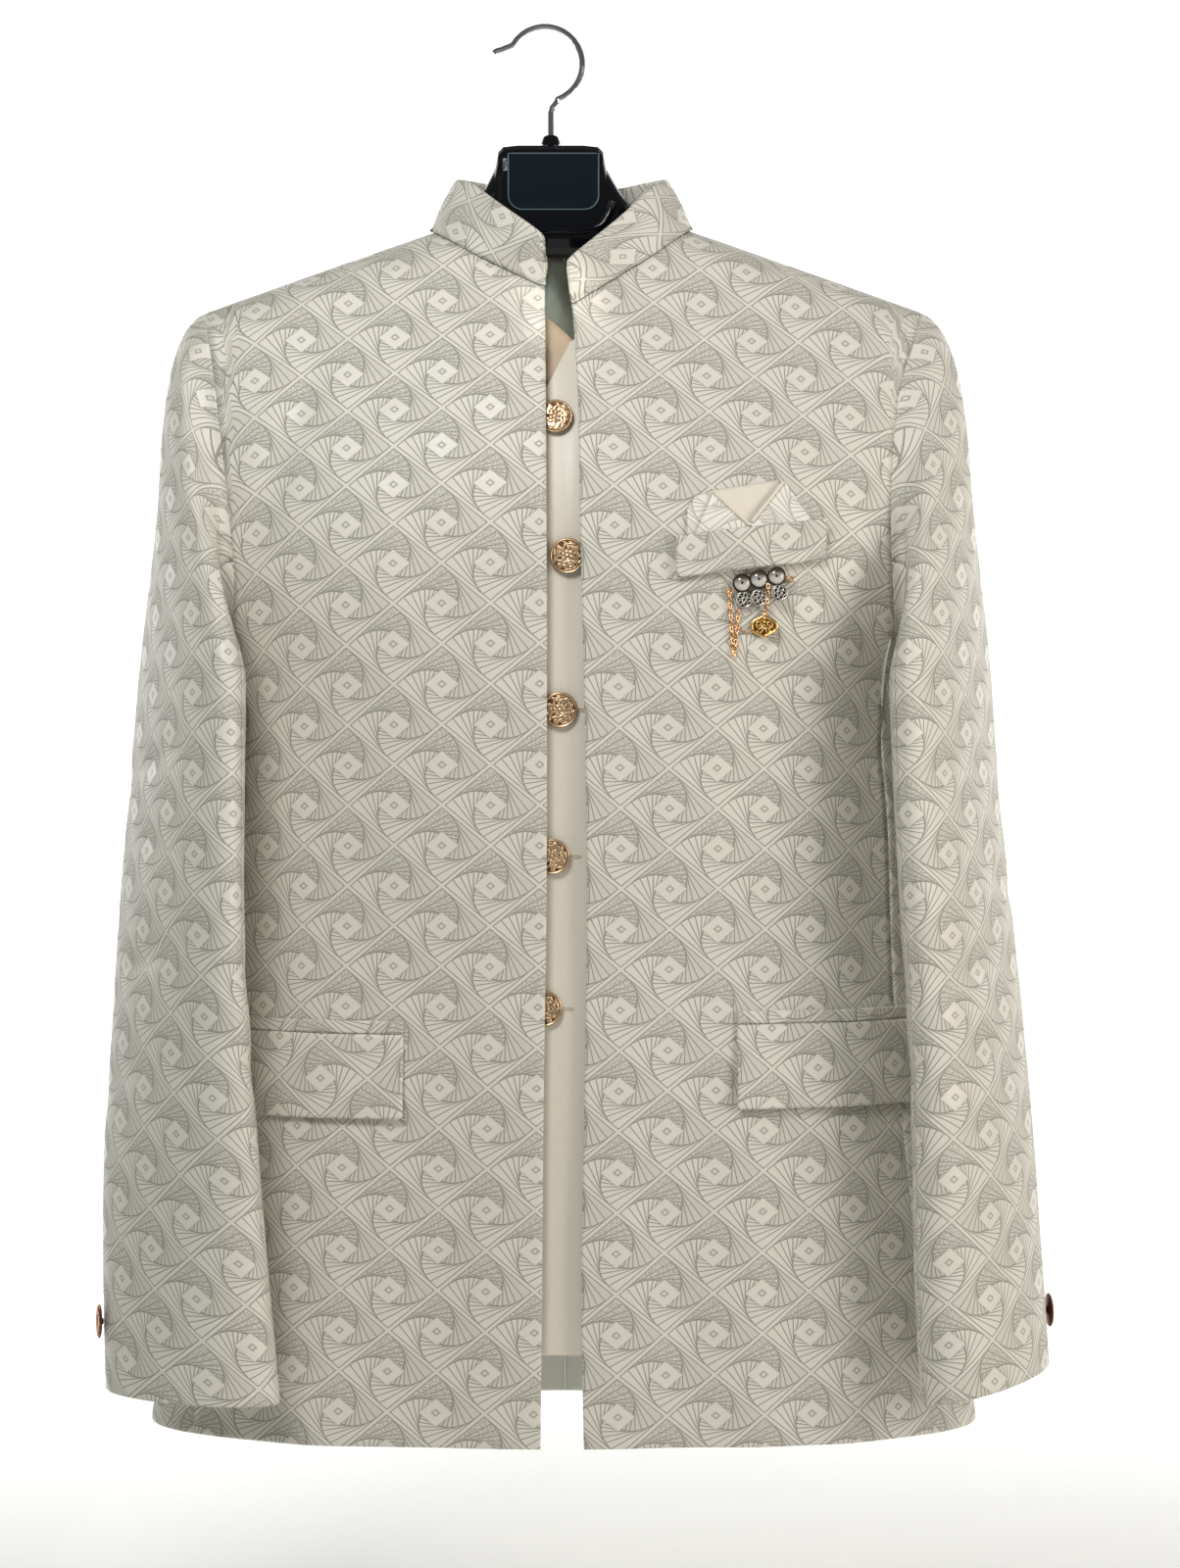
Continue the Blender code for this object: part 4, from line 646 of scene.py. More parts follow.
def mesh_object(name: str, points: Array, faces: Array, finishes: tuple,
                uv: Array | None = None) -> bpy.types.Object:
    """A smooth mesh object from points in the garment's millimetres.

    Args:
        name: its name.
        points: points, one a row.
        faces: corners of each face.
        finishes: materials, in slot order.
        uv: place on the cloth in millimetres, one for each point.

    Returns:
        The object, linked to the scene.
    """
    mesh = bpy.data.meshes.new(name)
    placed = (points + np.array([GARMENT_X, 0.0, 0.0])) * MM
    mesh.from_pydata(placed.tolist(), [], faces.tolist())
    if uv is not None:
        corners = np.empty(len(mesh.loops), dtype=np.int32)
        mesh.loops.foreach_get("vertex_index", corners)
        layer = mesh.uv_layers.new(name="cloth_mm")
        layer.data.foreach_set("uv", uv[corners].astype(np.float32).ravel())
    mesh.polygons.foreach_set("use_smooth", np.ones(len(mesh.polygons), dtype=bool))
    for finish in finishes:
        mesh.materials.append(finish)
    obj = bpy.data.objects.new(name, mesh)
    bpy.context.scene.collection.objects.link(obj)
    return obj


def quads(rows: int, columns: int, wrap: bool = False) -> Array:
    """Corner indices of the faces of a grid.

    Args:
        rows: rows of points.
        columns: columns of points.
        wrap: close it round, last column to first.

    Returns:
        Four indices a face.
    """
    index = np.arange(rows * columns).reshape(rows, columns)
    if wrap:
        index = np.concatenate([index, index[:, :1]], axis=1)
    corners = (index[:-1, :-1], index[:-1, 1:], index[1:, 1:], index[1:, :-1])
    return np.stack([corner.ravel() for corner in corners], axis=1)


def outward_faces(points: Array, faces: Array) -> Array:
    """Turns a closed mesh's faces outward, by the sign of its volume.

    Args:
        points: points, one a row.
        faces: four indices a face.

    Returns:
        The faces.
    """
    a, b, c, d = (points[faces[:, k]] for k in range(4))
    volume = np.sum(a * np.cross(b, c)) + np.sum(a * np.cross(c, d))
    return faces[:, ::-1] if volume < 0 else faces


@dataclass
class Piece:
    """A sub-assembly: it is cut from the garment's faces and dressed with the materials."""

    shape: Shape
    looks: Looks


@dataclass(frozen=True)
class Cut:
    """Flat cut of a cloth piece in metres, and its area in square metres where it isn't a rectangle."""

    width: float
    length: float
    area: float | None = None


@dataclass(frozen=True)
class ClothSpec:
    """What a cloth piece stands for and how it hangs."""

    name: str
    node: str
    wall: float
    cut: Cut
    hold: Hold
    rests_on: tuple[str, ...] = ()
    slot: str = "jacquard"
    rolled: Rolled = Rolled()


class Sewing:
    @staticmethod
    def shell(spec: ClothSpec, points: Array, normals: Array, uv: Array, finishes: tuple) -> bpy.types.Object:
        """A closed wall: the outer grid, the same grid moved in by the wall, and a rim between them.

        Args:
            spec: what the piece is.
            points: refined grid of the outer face.
            normals: outward normals of the grid.
            uv: place on the cloth in millimetres, for each point.
            finishes: outer material and inner material.

        Returns:
            The declared object.
        """
        rows, columns = points.shape[:2]
        count = rows * columns
        drop = spec.rolled.drop(rows, columns, spec.wall)[..., None]
        outer = points - normals * drop
        inner = points - normals * (spec.wall - drop)
        index = np.arange(count).reshape(rows, columns)
        rim = np.concatenate([index[0, :-1], index[:-1, -1], index[-1, :0:-1], index[:0:-1, 0]])
        after = np.roll(rim, -1)
        face = quads(rows, columns)
        sides = np.stack([after, rim, rim + count, after + count], axis=1)
        every = np.concatenate([face, face[:, ::-1] + count, sides])
        flat = np.concatenate([outer.reshape(-1, 3), inner.reshape(-1, 3)])
        every = outward_faces(flat, every)
        uv_all = np.concatenate([uv.reshape(-1, 2)] * 2)
        obj = mesh_object(spec.name, flat, every, finishes, uv_all)
        slots = np.zeros(len(every), dtype=np.int32)
        slots[len(face):2 * len(face)] = len(finishes) - 1
        obj.data.polygons.foreach_set("material_index", slots)
        declare(obj, spec.slot, spec.node)
        return obj


class FaceMap:
    """Place on the cloth of each point of a face y = f(x, z), from lengths summed over a table.

    Across, the length is the sum of sqrt(1 + (df/dx)^2) dx from the middle; up, it is the sum of
    sqrt(1 + (df/dz)^2) dz from the hem.
    """

    step = 2.5
    reach_x = 235.0
    low_z = -860.0
    high_z = -96.0
    steepest = 3.0

    def __init__(self, depth: Depth) -> None:
        """Sums the lengths.

        Args:
            depth: y of the face at widths and heights.
        """
        self.x = np.arange(-self.reach_x, self.reach_x + 1, self.step)
        self.z = np.arange(self.low_z, self.high_z + 1, self.step)
        grid_x, grid_z = np.meshgrid(self.x, self.z)
        y = depth(grid_x, grid_z)
        slope_z, slope_x = np.gradient(y, self.step)
        stretch_x = np.sqrt(1 + np.clip(slope_x, -self.steepest, self.steepest) ** 2) * self.step
        stretch_z = np.sqrt(1 + np.clip(slope_z, -self.steepest, self.steepest) ** 2) * self.step
        self.across = np.cumsum(stretch_x, axis=1)
        self.across = self.across - self.across[:, len(self.x) // 2][:, None]
        self.up = np.cumsum(stretch_z, axis=0)

    def read(self, table: Array, x: Array, z: Array) -> Array:
        """Reads a table between its entries.

        Args:
            table: values over the table's widths and heights.
            x: widths.
            z: heights.

        Returns:
            The values there.
        """
        column = np.clip((x - self.x[0]) / self.step, 0, len(self.x) - 1.001)
        row = np.clip((z - self.z[0]) / self.step, 0, len(self.z) - 1.001)
        i = row.astype(int)
        j = column.astype(int)
        t = row - i
        s = column - j
        low = table[i, j] * (1 - s) + table[i, j + 1] * s
        high = table[i + 1, j] * (1 - s) + table[i + 1, j + 1] * s
        return low * (1 - t) + high * t

    def uv(self, points: Array, edge_x: Array | float, anchor: tuple[float, float]) -> Array:
        """Place on the cloth, from a given edge and with a given point at zero.

        Args:
            points: grid of points on the face.
            edge_x: width of the edge that the cloth's lengthwise thread follows, at each point.
            anchor: width and height of the point at zero.

        Returns:
            Pairs in millimetres.
        """
        x = points[..., 0]
        z = points[..., 2]
        u = self.read(self.across, x, z) - self.read(self.across, np.broadcast_to(edge_x, x.shape), z)
        v = self.read(self.up, x, z)
        return np.stack([u - anchor[0], v - anchor[1]], axis=-1)


@dataclass(frozen=True)
class BodySize:
    """Counts of the fine grids of the jacket's body."""

    low_rows: int = 104
    arm_rows: int = 52
    front_columns: int = 50
    back_columns: int = 46
    side_columns: int = 26


JACKET_REST = ("hanger_body", "vest_back")


@dataclass
class JacketBody(Piece):
    """Fronts, sides and backs of the jacket."""

    size: BodySize = BodySize()
    front_cut: Cut = Cut(0.224, 0.752, 0.147)
    back_cut: Cut = Cut(0.228, 0.752, 0.148)
    side_cut: Cut = Cut(0.144, 0.486, 0.0535)
    diamond_right: tuple = (-42.4, -521.8)
    diamond_left: tuple = (61.8, -428.9)

    def __post_init__(self) -> None:
        """Sums the lengths over the cloth of front and back."""
        self.front_map = FaceMap(self.shape.front_y)
        self.back_map = FaceMap(self.shape.back_y)

    def arm_line(self, side: Side, first: float, last: float, count: int) -> Array:
        """Points (x, z) of the armhole at even steps of length.

        Args:
            side: side of the body.
            first: first angle.
            last: last angle.
            count: how many points.

        Returns:
            The points.
        """
        angle = np.linspace(first, last, 200)
        x = side.value * self.shape.armhole_x(side, angle)
        return resample(np.stack([x, look_up(ARMHOLE, 3, angle)], axis=1), count)

    def panel(self, side: Side, front: bool) -> Array:
        """Grid of a front or back: straight rows up to the side seam's top, then a patch to neck and shoulder.

        Args:
            side: side of the body.
            front: front or back.

        Returns:
            Grid of points (x, z).
        """
        shape, size = self.shape, self.size
        seam_angle, shoulder_angle = (FRONT_SEAM_ANGLE, 0.0) if front else (BACK_SEAM_ANGLE, 360.0)
        across = np.linspace(0, 1, size.front_columns if front else size.back_columns)
        seam_top = float(look_up(ARMHOLE, 3, seam_angle))
        neck = shape.neck_line(side, front)
        arm = self.arm_line(side, seam_angle, shoulder_angle, size.arm_rows)
        arm[-1] = shape.shoulder_tip(side)
        low_z = np.linspace(shape.hem_z, seam_top, size.low_rows)
        high_z = np.linspace(seam_top, neck[0, 1], size.arm_rows)
        near_low, near_high = (upright(self.inner_edge(side, front, z), z) for z in (low_z, high_z))
        if not front:
            neck[0, 0] = near_high[-1, 0]
        near_high[-1] = neck[0]
        low = between(near_low, upright(shape.seam_x(1 if front else 2, low_z, side), low_z), across)
        top = shape.on_ridge(resample(np.concatenate([neck, [arm[-1]]]), len(across)), neck[-1], 0.0)
        high = patch(low[-1], top, near_high, arm, across, np.linspace(0, 1, size.arm_rows))
        return np.concatenate([low, high[1:]])

    @staticmethod
    def inner_edge(side: Side, front: bool, z: Array) -> Array | float:
        """Width of a front's edge or of the centre seam of the back."""
        edge = 2 if side is Side.LEFT else 1
        return look_up(FRONT_EDGES, edge, z) if front else side.value * 0.5 * SEAM_GAP

    def side_panel(self, side: Side) -> Array:
        """Grid of one side panel, by the angle round the body's section.

        Args:
            side: side of the body.

        Returns:
            Grid of points.
        """
        shape, size = self.shape, self.size
        arm_angle = np.linspace(FRONT_SEAM_ANGLE, BACK_SEAM_ANGLE, size.side_columns)
        share_round = np.linspace(0, 1, size.side_columns)
        arm_z = look_up(ARMHOLE, 3, arm_angle) - 0.5 * SEAM_GAP
        power = look_up(BODY_SECTIONS, 4, arm_z)
        ratio = shape.armhole_x(side, arm_angle) / look_up(BODY_SECTIONS, 1, arm_z)
        arm_turn = np.arcsin(np.clip(ratio, 0.0, 1.0) ** (power / 2))
        arm_turn = np.where(arm_angle < 180.0, arm_turn, math.pi - arm_turn)
        share_up = np.linspace(0, 1, size.low_rows)[:, None]
        z = shape.hem_z + (arm_z[None] - shape.hem_z) * share_up
        power = look_up(BODY_SECTIONS, 4, z)
        half = look_up(BODY_SECTIONS, 1, z)
        front_turn = np.arcsin(np.clip(np.abs(shape.seam_x(1, z, side)) / half, 0, 1) ** (power / 2))
        back_turn = math.pi - np.arcsin(np.clip(np.abs(shape.seam_x(2, z, side)) / half, 0, 1) ** (power / 2))
        turn = front_turn + (back_turn - front_turn) * share_round[None]
        mix = smooth_step((share_up - 0.70) / 0.30)
        turn = turn * (1 - mix) + arm_turn[None] * mix
        nip = 2.0 * SEAM_GAP / half
        turn[:, 0] = front_turn[:, 0] + nip[:, 0]
        turn[:, -1] = back_turn[:, -1] - nip[:, -1]
        x = side.value * half * np.abs(np.sin(turn)) ** (2 / power)
        y = np.where(turn < 0.5 * math.pi, shape.front_y(x, z), shape.back_y(x, z))
        return np.stack([x, y, z], axis=2)

    def front_uv(self, side: Side, points: Array) -> Array:
        """Place on a front's cloth, with the diamond that the photo shows there at zero.

        Args:
            side: side of the body.
            points: grid of points on it.

        Returns:
            Pairs in millimetres.
        """
        diamond = self.diamond_left if side is Side.LEFT else self.diamond_right
        start = float(self.inner_edge(side, True, diamond[1]))
        spot = np.array([[[diamond[0], 0.0, diamond[1]]]])
        anchor = self.front_map.uv(spot, start, (0.0, 0.0))[0, 0]
        return self.front_map.uv(points, self.inner_edge(side, True, points[..., 2]), tuple(anchor))

    def build(self) -> None:
        """Makes the six panels."""
        shape = self.shape
        plan = (
            (True, "front", shape.front_y, -1.0, self.front_cut),
            (False, "back", shape.back_y, 1.0, self.back_cut),
        )
        for side in Side:
            for front, word, depth, outside, cut in plan:
                rolled = Rolled(low=True, near=front)
                spec = ClothSpec(f"jacket_{word}_{side.word}", f"{word}_{side.word}", JACKET_WALL, cut,
                                 Hold.HUNG, JACKET_REST, rolled=rolled)
                flat = rolled.refine(self.panel(side, front))
                points = shape.laid_out(flat, depth, outside * 0.5 * SEAM_GAP)
                uv = self.front_uv(side, points) if front else self.back_map.uv(points, 0.0, (0.0, 0.0))
                normals = shape.face_normals(points, depth, outside)
                Sewing.shell(spec, points, normals, uv, self.looks.jacket_cloth)

            rolled = Rolled(low=True)
            beside = (f"jacket_front_{side.word}", f"jacket_back_{side.word}")
            spec = ClothSpec(f"jacket_side_{side.word}", f"side_{side.word}", JACKET_WALL, self.side_cut,
                             Hold.HUNG, beside, rolled=rolled)
            points = rolled.refine(self.side_panel(side))
            normals = grid_normals(points, np.array([float(side.value), 0.0, 0.0]))
            normals[:, 0] = shape.face_normals(points[:, :1], shape.front_y, -1.0)[:, 0]
            normals[:, -1] = shape.face_normals(points[:, -1:], shape.back_y, 1.0)[:, 0]
            uv = np.stack([cloth_lengths(points), points[..., 2]], axis=-1)
            Sewing.shell(spec, points, normals, uv, self.looks.jacket_cloth)


@dataclass(frozen=True)
class SleeveSize:
    """Counts of the fine grids of a sleeve."""

    cap_rows: int = 46
    lower_rows: int = 96
    top_columns: int = 62
    under_columns: int = 38


ARM_HOLLOW_COLUMNS = ("z", "width", "turn", "depth")
ARM_HOLLOWS = ((-575, 16, 1.2, 2.6), (-630, 14, 1.6, 2.2), (-470, 18, 4.4, 2.2))
ARM_CREASE_COLUMNS = ("angle", "z", "slant", "reach_angle", "width", "height")
ARM_CREASES = {
    Side.RIGHT: (
        (-10, -452, 0.25, 60, 8, -2.4),
        (35, -505, -0.35, 55, 9, -2.2),
        (20, -560, 0.30, 60, 8, -2.6),
        (60, -606, -0.25, 55, 9, -2.8),
        (-30, -640, 0.40, 50, 10, -1.8),
        (30, -704, 0.30, 60, 10, -1.6),
        (190, -520, 0.20, 60, 9, -2.4),
        (170, -590, -0.30, 55, 8, -2),
    ),
    Side.LEFT: (
        (15, -446, -0.30, 55, 8, -2),
        (-20, -520, 0.35, 60, 9, -2.4),
        (40, -572, -0.25, 60, 8, -2.8),
        (10, -622, 0.35, 50, 9, -2.2),
        (60, -668, -0.40, 55, 10, -2),
        (0, -738, -0.25, 60, 11, -1.4),
        (185, -505, -0.25, 60, 9, -2.4),
        (175, -600, 0.30, 50, 8, -2.2),
    ),
}


@dataclass
class Sleeve(Piece):
    """Top and under sleeve of one arm."""

    side: Side
    size: SleeveSize = SleeveSize()
    top_cut: Cut = Cut(0.202, 0.668, 0.112)
    under_cut: Cut = Cut(0.156, 0.528, 0.0655)
    lean_fall: float = 0.10
    probe: float = 0.1
    cap_reach: float = 0.16
    under_arm_reach: float = 0.34
    ring_reach: float = 0.45
    cap_ease: float = 1.1
    seam_radius: float = 24.0

    def __post_init__(self) -> None:
        """Finds the sleeve's sign and its table."""
        self.sign = self.side.value
        self.table = SLEEVES[self.side]

    def axes(self, z: Array) -> tuple[Array, Array, Array]:
        """Middle, outward and forward half axes of the sleeve: an ellipse turned to fit its seen width.

        Args:
            z: heights.

        Returns:
            Three sets of vectors.
        """
        inner = look_up(self.table, 1, z)
        outer = look_up(self.table, 2, z)
        long_half = look_up(self.table, 4, z)
        short_half = look_up(self.table, 5, z)
        turn = ((0.5 * (outer - inner)) ** 2 - short_half**2) / (long_half**2 - short_half**2)
        sine = np.sqrt(np.clip(turn, 0.0, 1.0))
        cosine = np.sqrt(1 - sine**2)
        middle = np.stack([self.sign * 0.5 * (inner + outer), look_up(self.table, 3, z), z], axis=-1)
        outward = np.stack([self.sign * cosine * short_half, -sine * short_half, 0 * z], axis=-1)
        forward = np.stack([-self.sign * sine * long_half, -cosine * long_half, 0 * z], axis=-1)
        return middle, outward, forward

    def ring(self, z: Array, angle: Array) -> Array:
        """Points round the hanging part.

        Args:
            z: heights.
            angle: degrees round it, 0 outward, 90 to the front.

        Returns:
            The points.
        """
        middle, outward, forward = self.axes(z)
        turn = np.radians(angle)[..., None]
        return middle + outward * np.cos(turn) + forward * np.sin(turn)

    def hollow(self, z: Array, angle: Array) -> Array:
        """Inward depth of the sleeve's soft folds and creases.

        Args:
            z: heights.
            angle: degrees round it.

        Returns:
            The depth.
        """
        turn = np.radians(angle)
        depth = 0.0
        for level, width, middle, height in ARM_HOLLOWS:
            depth = depth + height * np.exp(-(((z - level) / width) ** 2)) * np.clip(np.cos(turn - middle), 0, 1)
        for centre, level, slant, reach, width, height in ARM_CREASES[self.side]:
            away = (angle - centre + 180.0) % 360.0 - 180.0
            off = z - level - slant * away
            fade = smooth_step(1.5 * (1 - np.abs(away) / reach))
            depth = depth - height * np.exp(-((off / width) ** 2)) * fade
        return depth

    def start(self, angle: Array) -> Array:
        """Points where the sleeve leaves the armhole, on the body's outer face.

        Args:
            angle: degrees round the armhole.

        Returns:
            The points.
        """
        x = self.sign * self.shape.armhole_x(self.side, angle)
        z = look_up(ARMHOLE, 3, angle)
        y = np.where(angle <= 180.0, self.shape.front_y(x, z), self.shape.back_y(x, z))
        y = np.where((angle <= 0.01) | (angle >= 359.99), 0.0, y)
        return np.stack([x, y, z], axis=-1)

    def lean(self, start: Array, angle: Array) -> Array:
        """Unit vectors along which the cap leaves the armhole: in line with the body's face there.

        Args:
            start: points on the armhole.
            angle: degrees round it, 0 to 360.

        Returns:
            The vectors.
        """
        shape = self.shape
        near_x = np.abs(start[:, 0]) - self.probe
        z = start[:, 2]
        step = 2 * self.probe
        front = (shape.front_y(near_x + self.probe, z) - shape.front_y(near_x - self.probe, z)) / step
        back = (shape.back_y(near_x + self.probe, z) - shape.back_y(near_x - self.probe, z)) / step
        turn = np.radians(angle)
        slope = np.clip(np.where(angle <= 180.0, front, back), -1.0, 1.0)
        slope = slope * np.clip(1.5 * np.abs(np.sin(turn)), 0.0, 1.0)
        fall = -shape.ridge_slope * np.clip(np.cos(turn), 0, 1) + self.lean_fall * np.clip(-np.cos(turn), 0, 1)
        return unit(np.stack([self.sign * np.ones_like(turn), slope, fall], axis=-1))

    def columns(self, angle: Array) -> Array:
        """Grid of part of the sleeve: a cubic Bezier from armhole to ring, then rings down to the cuff.

        Args:
            angle: degrees round it, one a column.

        Returns:
            Grid of points.
        """
        wrapped = np.mod(angle, 360.0)
        turn = np.radians(angle)
        start = self.start(wrapped)
        lean = self.lean(start, wrapped)
        start = start + lean * ARMHOLE_GAP
        top_z = self.table[0][0]
        foot_z = self.table[-1][0]
        level = np.full_like(angle, top_z)
        end = self.ring(level, angle)
        down = unit(self.ring(level - 20.0, angle) - end)
        distance = np.linalg.norm(end - start, axis=1)[:, None]
        under_arm = np.clip(-np.cos(turn), 0, 1)[:, None]
        first = start + lean * distance * (self.cap_reach + self.under_arm_reach * under_arm)
        second = end - down * distance * self.ring_reach
        t = np.linspace(0, 1, self.size.cap_rows)[:, None, None] ** self.cap_ease
        cap = (1 - t) ** 3 * start + 3 * (1 - t) ** 2 * t * first + 3 * (1 - t) * t**2 * second + t**3 * end
        share = np.linspace(0, 1, self.size.lower_rows + 1)[1:, None]
        z = top_z + (foot_z - top_z) * share + 0 * angle[None]
        z = z + CUFF_RISE[self.side] * (0.5 + 0.5 * np.cos(turn + 0.9))[None] * share**2
        around = np.broadcast_to(angle[None], z.shape)
        point = self.ring(z, around)
        inward = unit(self.axes(z)[0] - point)
        lower = point + inward * self.hollow(z, around)[..., None]
        cap = cap + unit(self.axes(cap[..., 2])[0] - cap) * self.cap_hollow(cap, angle, t[:, :, 0])[..., None]
        return np.concatenate([cap, lower])

    def cap_hollow(self, cap: Array, angle: Array, t: Array) -> Array:
        """Hollows of the sleeve's cap, which fade in below the armhole."""
        around = np.broadcast_to(angle[None], cap.shape[:2])
        return self.hollow(cap[..., 2], around) * smooth_step((t - 0.45) / 0.4)

    def cloth_uv(self, points: Array) -> Array:
        """Place on the cloth: across by the ring's own length, up by the length of each column.

        Args:
            points: grid from the armhole down.

        Returns:
            Pairs in millimetres.
        """
        across = cloth_lengths(points)
        across = across - across[:, points.shape[1] // 2][:, None]
        ring_row = self.size.cap_rows
        across[:ring_row] = across[ring_row]
        steps = np.linalg.norm(np.diff(points, axis=0), axis=2)
        down = np.concatenate([np.zeros((1, points.shape[1])), np.cumsum(steps, axis=0)])
        down = down - down[ring_row][None]
        return np.stack([across, -down], axis=-1)

    def build(self) -> None:
        """Makes both pieces of the sleeve."""
        gap = 0.5 * math.degrees(SEAM_GAP / self.seam_radius)
        plan = (
            ("top", -SPLIT_ANGLE, SPLIT_ANGLE, self.size.top_columns, self.top_cut),
            ("under", SPLIT_ANGLE, 360.0 - SPLIT_ANGLE, self.size.under_columns, self.under_cut),
        )
        rolled = Rolled(high=True)
        for word, first, last, count, cut in plan:
            angle = np.linspace(first + gap, last - gap, count)
            points = rolled.refine(self.columns(angle))
            beside = rolled.refine(self.columns(angle + 0.8)) - rolled.refine(self.columns(angle - 0.8))
            normals = unit(np.cross(beside, np.gradient(points, axis=0)))
            middle = self.axes(np.array([points[-1, 0, 2]]))[0][0]
            if np.mean(np.sum(normals[-1] * (points[-1] - middle), axis=1)) < 0:
                normals = -normals
            node = f"{word}_sleeve_{self.side.word}"
            spec = ClothSpec(f"jacket_{node}", node, JACKET_WALL, cut, Hold.HUNG,
                             (f"jacket_front_{self.side.word}", f"jacket_back_{self.side.word}"), rolled=rolled)
            Sewing.shell(spec, points, normals, self.cloth_uv(points), self.looks.jacket_cloth)


@dataclass
class Collar(Piece):
    """Stand collar, open at the front."""

    cut: Cut = Cut(0.404, 0.046, 0.0142)
    columns: int = 150
    rows: int = 12
    front_share: float = 4 / 14
    grain_right: tuple = (8.8, 6.0)
    grain_left: tuple = (11.4, 10.4)

    def grid(self) -> Array:
        """Outer face: straight from the neck seam to the top edge, with a slight belly.

        Returns:
            Grid of points.
        """
        key = np.linspace(0, 1, self.columns)
        base_x = collar_line(0, key)
        base_z = collar_line(1, key)
        on_front = (key < self.front_share) | (key > 1 - self.front_share)
        front = self.shape.front_y(base_x, base_z)
        base_y = np.where(on_front, front, self.shape.back_y(base_x, base_z))
        low = np.stack([base_x, base_y, base_z + COLLAR_GAP], axis=1)
        high = np.stack([collar_line(column, key) for column in (2, 3, 4)], axis=1)
        share = np.linspace(0, 1, self.rows)[:, None, None]
        points = low[None] * (1 - share) + high[None] * share
        outward = unit(points * np.array([1.0, 1.0, 0.0]))
        return points + outward * (COLLAR_BULGE * np.sin(math.pi * share))

    def build(self) -> None:
        """Makes the collar."""
        rolled = Rolled(high=True, near=True, far=True)
        points = rolled.refine(self.grid())
        normals = grid_normals(points, points * np.array([1.0, 1.0, 0.0]))
        v = np.cumsum(np.linalg.norm(np.diff(points, axis=0, prepend=points[:1]), axis=2), axis=0)
        key = np.linspace(0, 1, points.shape[1])[None]
        shift_u, shift_v = [low + (high - low) * key for low, high in zip(self.grain_right, self.grain_left)]
        uv = np.stack([cloth_lengths(points) - shift_u, v - shift_v], axis=-1)
        spec = ClothSpec("jacket_collar", "collar", COLLAR_WALL, self.cut, Hold.STRETCHED,
                         ("jacket_front_left", "jacket_front_right", "jacket_back_left", "jacket_back_right"),
                         rolled=rolled)
        Sewing.shell(spec, points, normals, uv, self.looks.jacket_cloth[:1])


POCKET_SEEN_Y = -88.0
POCKETS = {Side.RIGHT: (-98.4, -616.0, -668.0), Side.LEFT: (106.2, -610.0, -662.0)}
WELT_CORNER = (66.0, -341.4)
WELT_RISE = 0.125
WELT_HEIGHT = 24.0
WELT_LENGTH = 88.5


def on_front(shape: Shape, x: Array, z: Array, proud: Array | float) -> Array:
    """Points on the jacket's front moved out along its normals."""
    points = np.stack([x, shape.front_y(x, z), z], axis=-1)
    return points + shape.face_normals(points, shape.front_y, -1.0) * np.asarray(proud)[..., None]


@dataclass
class FrontPiece(Piece):
    """A sub-assembly of cloth pieces that lie on the jacket's front."""

    def lay(self, spec: ClothSpec, x_line: Array, z: Array, proud: Array | float, grain: tuple) -> None:
        """Sews one such piece.

        Args:
            spec: what the piece is.
            x_line: widths of its columns.
            z: heights of its grid.
            proud: distance from the front's face to its own.
            grain: place on the cloth that comes to zero, and the cloth's rise with the width.
        """
        x = np.broadcast_to(x_line[None], z.shape)
        points = spec.rolled.refine(on_front(self.shape, x, z, proud))
        v = points[..., 2] - grain[2] * points[..., 0] - grain[1]
        uv = np.stack([cloth_lengths(points) - grain[0], v], axis=-1)
        Sewing.shell(spec, points, grid_normals(points, AHEAD), uv, self.looks.jacket_cloth)


@dataclass(frozen=True)
class PocketSize:
    """Sizes of a hip pocket in millimetres."""

    length: float = 142.0
    end_ratio: float = 0.95
    cover_gap: float = 0.9
    flap_wall: float = 2.0
    flap_swing: float = 2.6
    jet_height: float = 7.6
    jet_wall: float = 1.6
    columns: int = 56
    flap_rows: int = 26
    jet_rows: int = 6
    middle_seen_z: float = -645.0
    under_jet: float = 0.2
    flap_grain: float = 21.0


